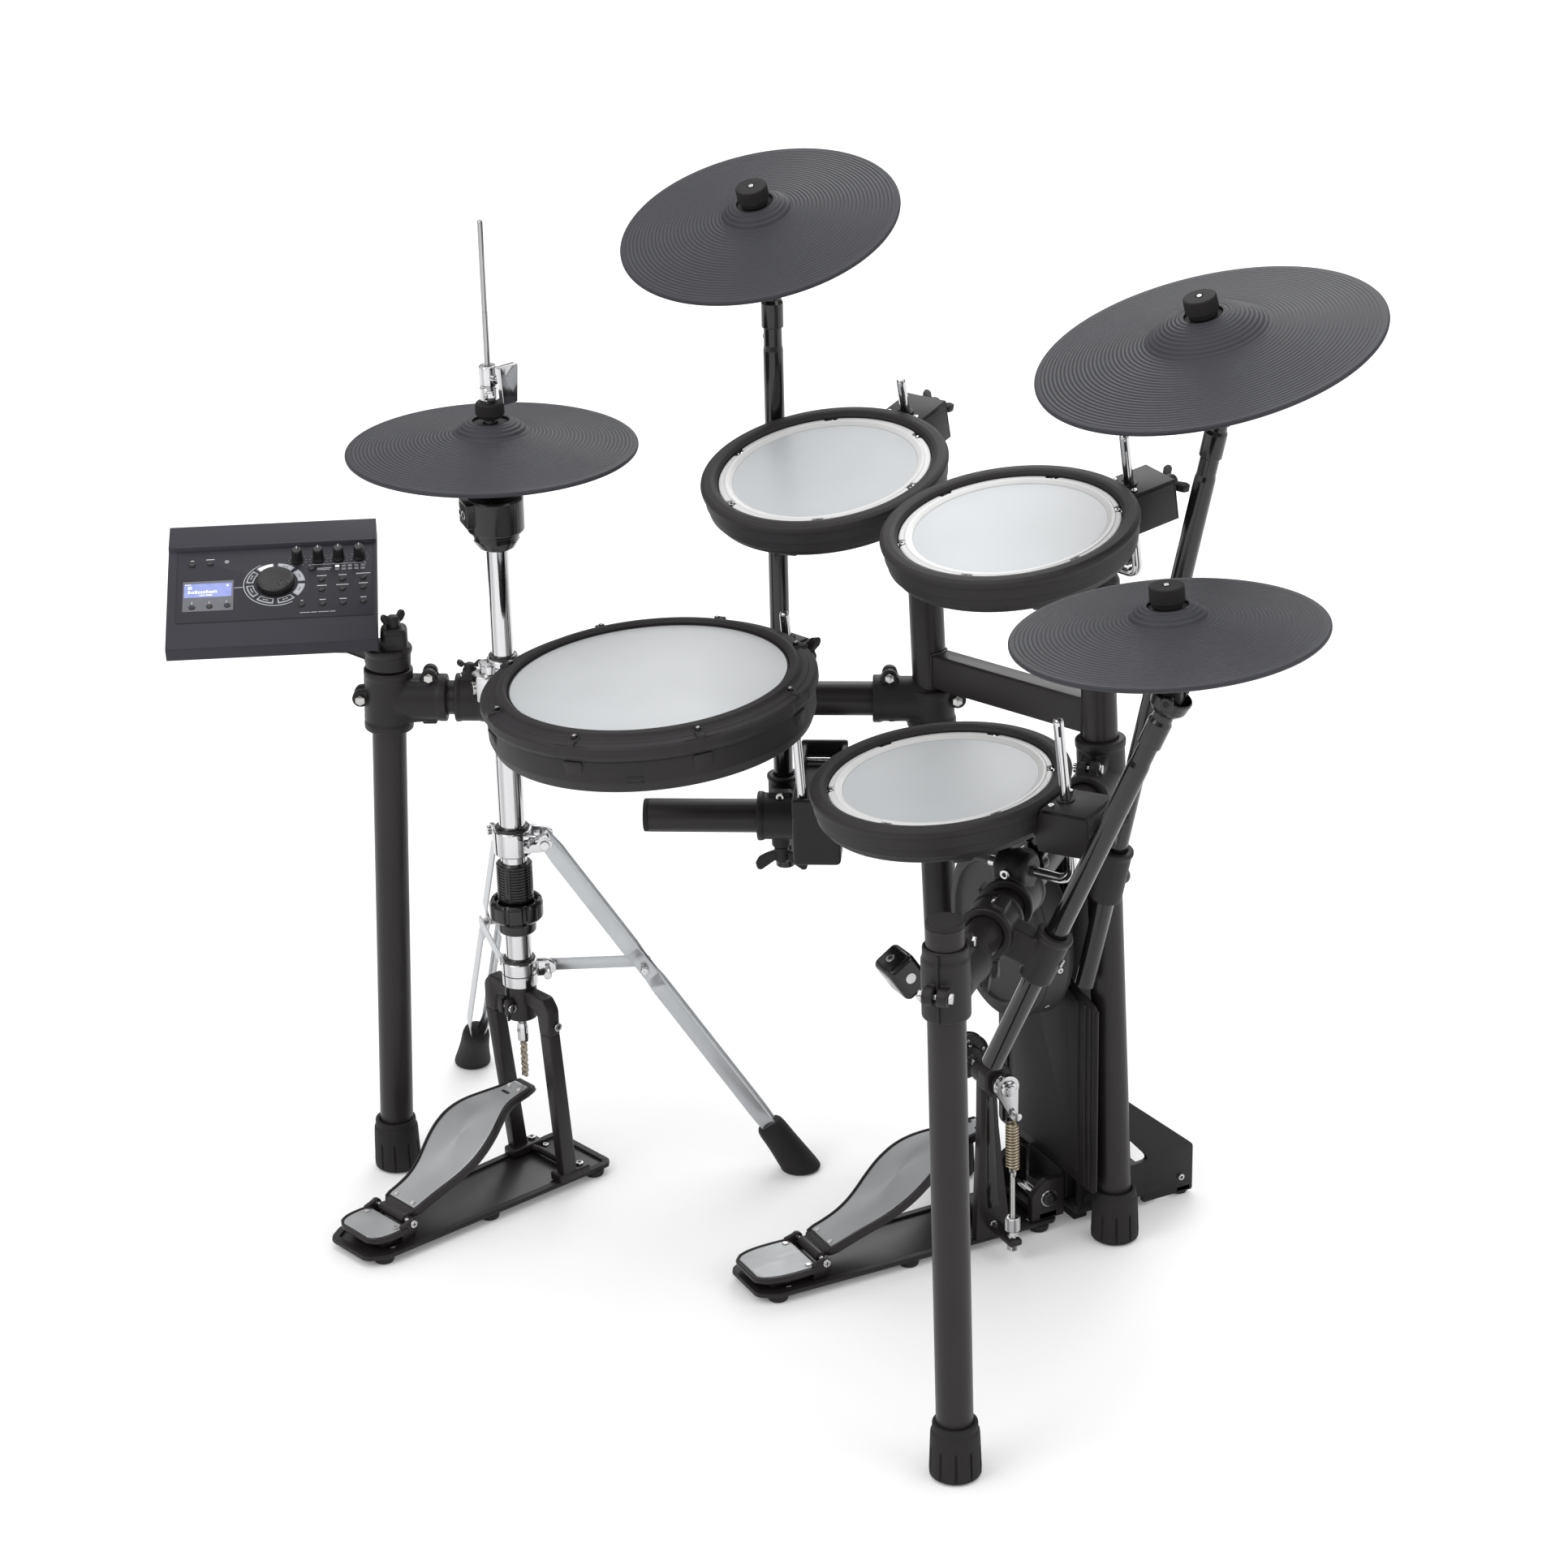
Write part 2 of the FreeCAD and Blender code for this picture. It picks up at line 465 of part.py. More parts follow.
# ---------------------------------------------------------------- pads
def tom(prefix, pl):
    n = tom_r
    shell = rev([(n - 9, -20.2), (n - 6, -20.2), (n - 4, -24), (n - 5, -36), (n - 11, -tom_depth), (n - 44, -tom_depth - 9), (0, -tom_depth - 9), (0, -tom_depth - 6.5), (n - 45, -tom_depth - 6.5), (n - 13, -tom_depth + 2), (n - 9, -36)])
    house = block(n - 22, n + 46, -22, 22, -50, -20.4)
    house = rounded(house, 3, lambda e: e.Length > 29)
    house = house.cut(block(n - 8, n + 42.5, -18.5, 18.5, -60, -24))
    boss = block(n + mount_out - 11, n + mount_out + 11, -19, 19, -50, -21)
    house = house.cut(Part.makeCylinder(n - 7.3, 80, V(0, 0, -100)))
    body = fuse(shell, house, boss)
    lugs = [put(fuse(cyl(V(86, 0, -tom_depth - 13), V(86, 0, -tom_depth - 6), 11)), FreeCAD.Placement(V(), FreeCAD.Rotation(V(0, 0, 1), a))) for a in (60, 180, 300)]
    body = fuse(body, *lugs)
    body = body.cut(cyl(V(n + mount_out, 0, -100), V(n + mount_out, 0, 40), rod_r + run_fit))
    rim = rev([(114.5, -14), (114.5, -5), (117, -1.5), (121, 0), (127, -0.6), (132, -4), (n, -10), (n - 0.6, -16), (n - 4, -19.6), (n - 9, -19.8), (n - 12, -18)])
    head = rev([(0, -7.2), (104, -7.2), (105.5, -5.2), (108, -4.2), (112, -4.2), (113.6, -6), (113.6, -17), (118, -19), (118, -23), (109.0, -23), (106, -10), (104, -9.2), (0, -9.2)])
    nodes[prefix + "_shell"] = put(max(body.Solids, key=lambda q: q.Volume), pl)
    nodes[prefix + "_rim"] = put(rim, pl)
    nodes[prefix + "_head"] = put(head, pl)


tom("tom_1", tom_1_pl)
tom("tom_2", tom_2_pl)
tom("floor_tom", floor_pl)

n = snare_r
s_shell = rev([(n - 12, -26.2), (n - 6, -26.2), (n - 5, -50), (n - 10, -snare_depth), (n - 46, -snare_depth - 10), (0, -snare_depth - 10), (0, -snare_depth - 7), (n - 47, -snare_depth - 7), (n - 14, -snare_depth + 3), (n - 12, -50)])
s_house = block(n - 24, n + 34, -24, 24, -60, -27)
s_house = rounded(s_house, 4, lambda e: e.Length > 32)
s_body = fuse(s_shell, s_house.cut(Part.makeCylinder(n - 13, 80, V(0, 0, -100))))
for a in range(0, 360, 60):
    s_body = fuse(s_body, put(block(n - 14, n - 1, -11, 11, -50, -30), FreeCAD.Placement(V(), FreeCAD.Rotation(V(0, 0, 1), a + 30))))
s_body = s_body.cut(cyl(V(n + mount_out, 0, -100), V(n + mount_out, 0, 40), rod_r + run_fit))
nodes["snare_shell"] = put(max(s_body.Solids, key=lambda q: q.Volume), snare_pl)
s_rim = rev([(147.0, -14), (147.0, -4), (149, -0.8), (153, 0), (157, -1.5), (159, -5), (165, -7), (n - 3, -9), (n, -12), (n, -21), (n - 3, -25.6), (n - 14, -25.6), (n - 18, -16), (160, -14)])
nodes["snare_rim"] = put(s_rim, snare_pl)
s_head = rev([(0, -6), (143.5, -6), (146.2, -9), (146.2, -18), (153, -20), (153, -24), (143, -24), (142, -9.5), (0, -8.2)])
nodes["snare_head"] = put(s_head, snare_pl)


# ---------------------------------------------------------------- cymbals
def cymbal(r, bell_r, bell_h, bow):
    """Rubber-faced cymbal: edge plane at z 0, centre hole for the stem."""
    top, low = [], []
    for i in range(13):
        q = i / 12.0
        rr = r - (r - bell_r) * q
        top.append((rr, 2.5 + bow * q ** 1.15))
    for i in range(1, 7):
        q = i / 6.0
        top.append((bell_r - (bell_r - 17) * q, 2.5 + bow + bell_h * math.sin(q * math.pi / 2) ** 0.9))
    th = 6.0
    zt = top[-1][1]
    low = [(rr, z - th) for rr, z in reversed(top[1:])]
    prof = top + [(8.0, zt), (8.0, zt - th)] + low + [(r - 1.5, -2.5), (r, -0.5)]
    return rev(prof), zt, th


def tilter(zt, th):
    """Stem, seat and top nut in cymbal coordinates, with the pivot block below."""
    seat = zt - th - 2.6
    s = fuse(
        Part.makeCylinder(4.0, zt + 27 + stem_drop, V(0, 0, -stem_drop)),
        rev([(0, seat - 12), (13, seat - 12), (14, seat - 9), (11, seat), (0, seat)]),
        rev([(0, -stem_drop + 13.5), (15.5, -stem_drop + 13.5), (17, -stem_drop + 18), (14, seat - 14), (0, seat - 12)]),
        block(-6.0, 6.0, -11, 11, -stem_drop - 11, -stem_drop + 15),
    )
    s = s.cut(Part.makeCylinder(4.0 + run_fit, 60, V(-30, 0, -stem_drop), V(1, 0, 0)))
    nut = rev([(4.0, zt + 2.8), (13, zt + 2.8), (15.6, zt + 5), (15.2, zt + 20), (13.6, zt + 23), (4.0, zt + 23)])
    return max(s.Solids, key=lambda q: q.Volume), nut


pole_solids = []


def pole(a, b, piv, pl, neck):
    """Pole tube with a stepped top, a fork and the tilter's cross bolt."""
    d = unit(b - a)
    L = (b - a).Length
    prof = [(0, 0), (pole_r, 0), (pole_r, L - 58), (pole_r + 1.6, L - 57), (pole_r + 1.6, L - 34), (pole_r - 0.5, L - 33), (pole_r - 1.2, L - 12), (pole_r + 4, L - 6), (pole_r + 4, L + 2), (0, L + 2)]
    body = put(rev(prof).cut(Part.makeCylinder(pole_r - 1.8, L - 70, V(0, 0, -1))), frame(a, d, way(pl, 1, 0, 0)))
    x = way(pl, 1, 0, 0)
    f = frame(piv, d, x)
    ears = [put(fuse(block(sx, sx + 6, -11, 11, -24, 0), Part.makeCylinder(11, 6, V(sx, 0, 0), V(1, 0, 0))), f) for sx in (-12.4, 6.4)]
    pin = put(fuse(Part.makeCylinder(4.0, 36, V(-18, 0, 0), V(1, 0, 0)), Part.makeCylinder(7.0, 6, V(-18.5, 0, 0), V(1, 0, 0)), Part.makeCylinder(9.0, 10, V(12.5, 0, 0), V(1, 0, 0))), f)
    s = fuse(body, *ears, pin)
    return max(s.Solids, key=lambda q: q.Volume)


for pre, pl, r, a, b, piv, bell_r, bell_h, bow in (
    ("left_crash", crash_1_pl, crash_r, pole_1a, pole_1b, piv_1, 38, 11, 16),
    ("ride", ride_pl, ride_r, pole_2a, pole_2b, piv_2, 62, 19, 17),
    ("right_crash", crash_2_pl, crash_r, pole_3a, pole_3b, piv_3, 38, 11, 16),
):
    c, zt, th = cymbal(r, bell_r, bell_h, bow)
    st, nut = tilter(zt, th)
    nodes[pre + "_cymbal"] = put(c, pl)
    nodes[pre + "_tilter"] = group(put(st, pl), put(nut, pl))
    pole_solids.append(pole(a, b, piv, pl, 1))
nodes["cymbal_poles"] = group(*pole_solids)

# ---------------------------------------------------------------- hi-hat stand
Hp = lambda z: V(hat_x, hat_y, z)
ha = math.radians(hat_dir)
hf, hs = V(math.cos(ha), math.sin(ha), 0), V(math.sin(ha), -math.cos(ha), 0)
hat_pl = frame(Hp(0), V(0, 0, 1), hs)      # local x to the pedal's right, local y ahead

c, zt, th = cymbal(hat_r, 40, 12, 18)
nodes["hihat_cymbal"] = put(c, FreeCAD.Placement(Hp(hat_edge_z), FreeCAD.Rotation()))
zc = hat_edge_z + zt
clutch = fuse(
    cyl(Hp(zc - th - 16), Hp(zc + 62), 6.6),
    cyl(Hp(zc - th - 16), Hp(zc - th - 3), 13.0),
    put(rev([(6, zc + 3), (14, zc + 3), (16, zc + 5), (15.2, zc + 19), (13, zc + 21), (6, zc + 21)]), FreeCAD.Placement(Hp(0), FreeCAD.Rotation())),
    cyl(Hp(zc + 26), Hp(zc + 58), 9.4),
    cyl(Hp(zc + 48), Hp(zc + 48) + hs * 40, 3.4),
    put(block(32, 37, -13, 13, -22, 21), frame(Hp(zc + 48), V(0, 0, 1), hs)),
)
clutch = clutch.cut(cyl(Hp(zc - 60), Hp(zc + 120), hat_rod_r + run_fit))
nodes["hihat_clutch"] = max(clutch.Solids, key=lambda q: q.Volume)
rod = fuse(cyl(Hp(190), Hp(hat_rod_step), hat_rod_r), cyl(Hp(hat_rod_step), Hp(hat_rod_top), hat_rod_r - 0.2), cyl(Hp(180), Hp(206), 6.5))
nodes["hihat_rod"] = rod
nodes["hihat_chain"] = put(block(-3.5, 3.5, -2.6, 2.6, 133, 179.6), hat_pl)
nodes["hihat_control_unit"] = put(
    rev([(hat_up_r + 0.0, 779), (20, 779), (25.5, 792), (25.5, 797), (36, 800), (36.5, 803), (36.5, 824), (33, 828), (24, 830), (15, 838), (5, 838), (5, 800), (hat_up_r, 800)]),
    FreeCAD.Placement(Hp(0), FreeCAD.Rotation()),
)
nodes["hihat_upper_tube"] = tube(Hp(470), Hp(800), hat_up_r, 10.6)
low = fuse(
    cyl(Hp(212), Hp(612), hat_low_r),
    cyl(Hp(608), Hp(650), 18.5),
    put(block(14, 42, -9, 9, 610, 646), hat_pl),
    put(rev([(0, 356), (19.5, 356), (20.5, 360), (20.5, 401), (19, 404), (0, 404)]), FreeCAD.Placement(Hp(0), FreeCAD.Rotation())),
    put(rev([(0, 334), (27, 334), (30.5, 338), (30.5, 355), (27, 359), (0, 359)]), FreeCAD.Placement(Hp(0), FreeCAD.Rotation())),
    cyl(Hp(320), Hp(335), 21.5),
    cyl(Hp(brace_z - 15), Hp(brace_z + 15), 20.5),
)
for a in leg_head:
    f = frame(Hp(brace_z), V(0, 0, 1), V(math.cos(math.radians(a)), math.sin(math.radians(a)), 0))
    low = fuse(low, put(block(14, 32, 2.6, 10.4, -9, 9), f), put(Part.makeCylinder(9, 7.8, V(32, 2.6, 0), V(0, 1, 0)), f))
for a in leg_head:
    f = frame(Hp(brace_z), V(0, 0, 1), V(math.cos(math.radians(a)), math.sin(math.radians(a)), 0))
    low = low.cut(put(Part.makeCylinder(3.0, 60, V(32, -30, 0), V(0, 1, 0)), f))
low = low.cut(cyl(Hp(200), Hp(350), hat_low_r - 3.0)).cut(cyl(Hp(345), Hp(700), hat_up_r + run_fit))
nodes["hihat_lower_tube"] = max(low.Solids, key=lambda q: q.Volume)

# folding legs: sliding hub, two legs and two braces
hub = tube(Hp(hub_z - 15), Hp(hub_z + 15), 22.0, hat_low_r + run_fit)
pins = []
for a in leg_head:
    f = frame(Hp(hub_z), V(0, 0, 1), V(math.cos(math.radians(a)), math.sin(math.radians(a)), 0))
    e = fuse(block(16, hub_reach, -18.5, -13.0, -9, 9), Part.makeCylinder(9, 5.5, V(hub_reach, -18.5, 0), V(0, 1, 0)), block(16, hub_reach, 13.0, 18.5, -9, 9), Part.makeCylinder(9, 5.5, V(hub_reach, 13.0, 0), V(0, 1, 0)), Part.makeCylinder(3.5, 40, V(hub_reach, -20, 0), V(0, 1, 0)))
    hub = fuse(hub, put(e, f))
hub = fuse(hub, put(fuse(Part.makeCylinder(5, 16, V(20, 0, 0), V(1, 0, 0)), block(34, 39, -14, 14, -5, 5)), frame(Hp(hub_z), V(0, 0, 1), V(math.cos(math.radians(20)), math.sin(math.radians(20)), 0))))
hub = hub.cut(cyl(Hp(hub_z - 60), Hp(hub_z + 60), hat_low_r + run_fit))
nodes["tripod_hub"] = max(hub.Solids, key=lambda q: q.Volume)

leg_fall = math.atan2(foot_reach - hub_reach - 14, hub_z - 22)
brace_in, brace_pt = 32.0, None
for name, a in zip(("right", "left"), leg_head):
    f = frame(Hp(hub_z), V(0, 0, 1), V(math.cos(math.radians(a)), math.sin(math.radians(a)), 0))
    tip = V(foot_reach - 14, 0, -hub_z + 22)
    p0 = V(hub_reach, 0, 0)
    ld = unit(tip - p0)
    lf = frame(p0, ld * -1, V(0, 1, 0))
    L = (tip - p0).Length
    strip = put(block(-12.0, 12.0, -9, 9, -L + 12, 2), lf)
    strip = strip.cut(put(block(-9.6, 9.6, -6.6, 10, -L - 2, 3), lf))
    knuckle = Part.makeCylinder(7.5, 24.0, V(hub_reach, -12.0, 0), V(0, 1, 0))
    s = fuse(strip, knuckle).cut(Part.makeCylinder(3.5 + run_fit, 60, V(hub_reach, -30, 0), V(0, 1, 0)))
    # rubber boot, cut flat on the floor
    q0, q1 = tip - ld * 44, tip + ld * 18
    boot = fuse(cone(q0, q1, 15.5, 22.5), Part.makeSphere(22.5, q1))
    boot = boot.common(block(-900, 900, -900, 900, -hub_z, 900))
    s = fuse(s, boot)
    # pin stub where the brace meets the leg
    zb = brace_z - hub_z
    xb = hub_reach + (0 - zb) * (tip.x - hub_reach) / (0 - tip.z)
    s = fuse(s, Part.makeCylinder(4.6, 24.2, V(xb, -12.1, zb), V(0, 1, 0)))
    nodes["tripod_leg_" + name] = put(max(s.Solids, key=lambda q: q.Volume), f)
    fb = frame(Hp(brace_z), V(0, 0, 1), V(math.cos(math.radians(a)), math.sin(math.radians(a)), 0))
    br = fuse(block(brace_in, xb, 12.6, 16.6, -8, 8), Part.makeCylinder(8, 4.0, V(brace_in, 12.6, 0), V(0, 1, 0)), Part.makeCylinder(8, 4.0, V(xb, 12.6, 0), V(0, 1, 0)), Part.makeCylinder(2.95, 18, V(brace_in, 1.0, 0), V(0, 1, 0)))
    nodes["tripod_brace_" + name] = put(br, fb)


# ---------------------------------------------------------------- pedals
def board(half, y0, y1, th):
    """Footboard blade: plan outline from half-width samples, in its own plane."""
    k = len(half)
    left, right = [], []
    for i, h in enumerate(half):
        y = y0 + (y1 - y0) * i / (k - 1)
        right.append(V(h, y, 0))
        left.append(V(-h, y, 0))
    pts = right + list(reversed(left))
    return prism(pts, V(0, 0, th))


hat_hinge_y, hat_hinge_z = -196.0, 32.0
hat_toe = V(0, 4, 122)
kick_toe = V(0, 216, 126)
board_arch = 17.0


def board_rise(t):
    """Height of the S-shaped footboard over its chord, as a share of the arch."""
    rise = [0, -0.12, -0.17, -0.06, 0.26, 0.63, 0.92, 1.0, 0.80, 0.38, 0]
    i = min(int(t * 10), 9)
    return rise[i] + (rise[i + 1] - rise[i]) * (t * 10 - i)


def pedal_board(hy, hz, toe):
    """Footboard: arched blade on a hinge knuckle, narrow at the toe."""
    L = math.hypot(toe.y - hy, toe.z - hz)
    ang = math.atan2(toe.z - hz, toe.y - hy)
    prof = [29, 28.5, 28.5, 30, 33.5, 38.5, 43, 46, 46.2, 44, 38.5, 31, 24, 20, 18.5, 18]
    plan = board(prof, 7, L, 60).translated(V(0, 0, -20))
    up, dn = [], []
    for i in range(17):
        t = i / 16.0
        h = board_arch * board_rise(t)
        up.append(V(-60, 7 + (L - 7) * t, h + 6))
        dn.append(V(-60, 7 + (L - 7) * t, h - 1))
    b = prism(up + dn[::-1], V(120, 0, 0)).common(plan)
    b = b.cut(block(-5, 5, L - 16, L - 9, -20, 40))
    kn = Part.makeCylinder(6.0, 44, V(-22, 0, 0), V(1, 0, 0))
    tab = block(-22, 22, -1, 14, -2.5, 4.5)
    s = fuse(b, kn, tab)
    s = s.cut(Part.makeCylinder(3.0 + run_fit, 120, V(-60, 0, 0), V(1, 0, 0)))
    pl = FreeCAD.Placement(V(0, hy, hz), FreeCAD.Rotation(V(1, 0, 0), math.degrees(ang)))
    return put(max(s.Solids, key=lambda q: q.Volume), pl)


def heel(hy, hz, y0):
    """Heel plate with two hinge ears and the hinge pin."""
    plate = board([27, 33, 36.5, 38, 38.5, 38.5, 38, 37.5], y0, hy - 10, 7).translated(V(0, 0, hz - 9))
    leg = block(-30, 30, y0 + 16, hy - 12, 13, hz - 8)
    ears = [block(x0, x1, hy - 16, hy + 5, hz - 17.0 + 0.0, hz + 4) for x0, x1 in ((-36, -23), (23, 36))]
    pin = Part.makeCylinder(3.0, 74, V(-37, hy, hz), V(1, 0, 0))
    s = fuse(plate, leg, *ears, pin)
    return max(s.Solids, key=lambda q: q.Volume)


def base(w0, w1, y0, y1):
    """Base plate with rubber pads under it."""
    pts = [V(-w0 * 0.72, y0, 8), V(w0 * 0.72, y0, 8), V(w0, y0 + 22, 8), V(w1, y1 - 8, 8), V(w1 - 8, y1, 8), V(-w1 + 8, y1, 8), V(-w1, y1 - 8, 8), V(-w0, y0 + 22, 8)]
    s = prism(pts, V(0, 0, 5))
    L = y1 - y0
    for x, y in ((-0.7 * w0, y0 + 26), (0.7 * w0, y0 + 26), (-0.8 * w0, y0 + 0.5 * L), (0.8 * w0, y0 + 0.5 * L), (-0.8 * w1, y1 - 22), (0.8 * w1, y1 - 22)):
        s = fuse(s, Part.makeCone(11, 12.5, 8.5, V(x, y, 0)))
    return s


hat_base = base(46, 53, -262, 82)
kick_pl = FreeCAD.Placement(V(kick_x, 0, 0), FreeCAD.Rotation())
kick_base = base(45, 50, -96, 278)

# hi-hat yoke: hub under the tube, two bowed legs to the base plate
yoke = fuse(cyl(V(0, 0, 210), V(0, 0, 252), 20.0), block(-48, 48, -8, 8, 232, 248))
for s in (-1, 1):
    a = prism([V(s * 34, -8, 248), V(s * 50, -8, 246), V(s * 58, -8, 236), V(s * 59, -8, 205), V(s * 46, -8, 205), V(s * 44, -8, 224), V(s * 34, -8, 232)], V(0, 16, 0))
    lo = Part.makeLoft([Part.makePolygon([V(s * 46, -8, 206), V(s * 59, -8, 206), V(s * 59, 8, 206), V(s * 46, 8, 206), V(s * 46, -8, 206)]), Part.makePolygon([V(s * 38, 20, 14), V(s * 52, 20, 14), V(s * 52, 42, 14), V(s * 38, 42, 14), V(s * 38, 20, 14)])], True)
    ft = block(min(s * 32, s * 52), max(s * 32, s * 52), 16, 58, 13, 24)
    yoke = fuse(yoke, a, lo, ft)
yoke = yoke.cut(cyl(V(0, 0, 212), V(0, 0, 300), hat_low_r)).cut(cyl(V(0, 0, 150), V(0, 0, 300), 8.2))
yoke = max(yoke.Solids, key=lambda q: q.Volume)

# kick pedal posts with bearing housings
kp_s = []
for s in (-1, 1):
    x0, x1 = (s * 50, s * 38) if s < 0 else (s * 38, s * 50)
    col = prism([V(x0, kick_axle_y - 9, kick_axle_z), V(x0, kick_axle_y + 9, kick_axle_z), V(x0, kick_axle_y + 26, 13), V(x0, kick_axle_y - 16, 13)], V(12, 0, 0))
    hs_ = Part.makeCylinder(15, 18, V(x0 - 3, kick_axle_y, kick_axle_z), V(1, 0, 0))
    p = fuse(col, hs_).cut(Part.makeCylinder(5.5 + run_fit, 60, V(x0 - 20, kick_axle_y, kick_axle_z), V(1, 0, 0)))
    kp_s.append(max(p.Solids, key=lambda q: q.Volume))
link = block(-38, 38, kick_axle_y + 6, kick_axle_y + 22, 13, 26)
hoop = fuse(block(-46, 46, 252, 278, 13, 24), block(-46, -36, 246, 288, 13, 52), block(36, 46, 246, 288, 13, 52))
spring_x, spring_y = 88.0, kick_axle_y + 8
anchor = fuse(block(44, 97, spring_y - 8, spring_y + 8, 22, 30), block(38, 50, spring_y - 8, spring_y + 16, 13, 30), cyl(V(spring_x, spring_y, 30), V(spring_x, spring_y, 112), 3.2), cyl(V(spring_x, spring_y, 30), V(spring_x, spring_y, 40), 6.5), cyl(V(spring_x, spring_y, 60), V(spring_x, spring_y, 68), 6.0))
kick_posts = fuse(kp_s[0], kp_s[1], link, anchor)
nodes["pedal_frames"] = group(put(hat_base, hat_pl), put(yoke, hat_pl), put(kick_base, kick_pl), *[put(s, kick_pl) for s in kick_posts.Solids], put(hoop, kick_pl))
nodes["pedal_heel_plates"] = group(put(heel(hat_hinge_y, hat_hinge_z, -252), hat_pl), put(heel(kick_hinge_y, kick_hinge_z, -94), kick_pl))
nodes["hihat_footboard"] = put(pedal_board(hat_hinge_y, hat_hinge_z, hat_toe), hat_pl)
nodes["kick_footboard"] = put(pedal_board(kick_hinge_y, kick_hinge_z, kick_toe), kick_pl)

ax = V(0, kick_axle_y, kick_axle_z)
shaft = Part.makeCylinder(5.5, 158, ax + V(-58, 0, 0), V(1, 0, 0))
cam = fuse(Part.makeCylinder(kick_cam_r - 3, 12, ax + V(-6, 0, 0), V(1, 0, 0)), Part.makeCylinder(15, 26, ax + V(-13, 0, 0), V(1, 0, 0)))
rock = fuse(block(spring_x - 4, spring_x + 4, kick_axle_y - 5, kick_axle_y + 14, kick_axle_z - 40, kick_axle_z + 12), Part.makeCylinder(14, 8, ax + V(spring_x - 4, 0, 0), V(1, 0, 0)), Part.makeCylinder(3.0, 22, V(spring_x - 11, spring_y, kick_axle_z - 34), V(1, 0, 0)))
nodes["kick_shaft"] = put(fuse(shaft, cam, rock), kick_pl)
lean = math.radians(beater_lean)
bd = V(0, -math.sin(lean), math.cos(lean))
bs = V(0, math.cos(lean), math.sin(lean))
ba, bb, hc = ax + bd * 28, ax + bd * (beater_l + 20), ax + bd * beater_l
grip = put(block(-11, 11, -9, 9, 27.4, 48), frame(ax, bd, V(1, 0, 0)))
head_b = rounded(put(block(-21, 21, -17, 19, -24, 24), frame(hc, bd, V(1, 0, 0))), 7)
beater = fuse(cyl(ba, bb, 4.0), grip, head_b)
nodes["kick_beater"] = put(beater, kick_pl)
nodes["kick_chain"] = put(block(-4, 4, kick_axle_y + kick_cam_r - 2.6, kick_axle_y + kick_cam_r + 2.6, 133, kick_axle_z + 2), kick_pl)
coil_top = kick_axle_z - 45
nodes["kick_spring"] = put(tube(V(spring_x, spring_y, 114), V(spring_x, spring_y, coil_top), 8.0, 5.5), kick_pl)

# kick tower: upright panel, cranked base and two rear stabilisers
pan = prism([V(-105, 289, 64), V(105, 289, 64), V(105, 289, 294), V(52, 289, 309), V(48, 289, 428), V(42, 289, 548), V(-42, 289, 548), V(-48, 289, 428), V(-52, 289, 309), V(-105, 289, 294)], V(0, 6.5, 0))
pan = rounded(pan, 8, lambda e: abs(e.Length - 6.5) < 0.01)
spine = block(-34, 34, 295, 330, 24, 400).cut(block(-30.5, 30.5, 298.5, 326.5, 20, 396.5))
stand_off = fuse(block(-40, 40, 268.2, 290, kick_pad_z - 40, kick_pad_z + 40), block(-34, 34, 288.4, 296, 24, 66))
plate = block(-105, 54, 296, 412, 13, 24)
stab = []
for x in (-105, 48):
    st = prism([V(x, 300, 13), V(x, 300, 172), V(x, 326, 172), V(x, 452, 62), V(x, 452, 4), V(x, 386, 4), V(x, 386, 13)], V(6, 0, 0))
    stab.append(st.cut(prism([V(x - 1, 322, 56), V(x - 1, 322, 140), V(x - 1, 396, 56)], V(10, 0, 0))))
rub = [Part.makeCylinder(10, 4.5, V(x, 440, 0)) for x in (-96, 44)] + [block(-90, 44, 300, 318, 0, 14)]
bridge = [block(-106, -86, 430, 450, 4, 12), block(34, 54, 430, 450, 4, 12)]
tower = fuse(pan, spine, stand_off, plate, *stab, *bridge, *rub)
nodes["kick_tower"] = put(max(tower.Solids, key=lambda q: q.Volume), kick_pl)
pad = rev([(0, 0), (kick_pad_r - 22, 0), (kick_pad_r - 20, -3.5), (kick_pad_r - 16, -3.5), (kick_pad_r - 12, -1.5), (kick_pad_r - 3, 0.5), (kick_pad_r, 6), (kick_pad_r, 38), (kick_pad_r - 5, 45.8), (0, 45.8)])
nodes["kick_pad"] = put(put(pad, FreeCAD.Placement(V(0, kick_pad_y, kick_pad_z), FreeCAD.Rotation(V(1, 0, 0), -90))), kick_pl)

# ---------------------------------------------------------------- sound module
hw, hd = mod_w / 2, mod_d / 2
side = [V(-hw, -hd, 0), V(-hw, 56, 0), V(-hw, 60, 4), V(-hw, hd, -2), V(-hw, hd, -48), V(-hw, -52, -21.6), V(-hw, -hd, -20)]
case = prism(side, V(mod_w, 0, 0))
case = rounded(case, 3, lambda e: abs(e.Length - mod_w) > 1 and e.Length > 20)
inner = [V(-hw + 3, -hd + 3, -3), V(-hw + 3, 57, -3), V(-hw + 3, 60, 0.6), V(-hw + 3, hd - 3, -5), V(-hw + 3, hd - 3, -70), V(-hw + 3, -hd + 3, -70)]
case = case.cut(prism(inner, V(mod_w - 6, 0, 0)))
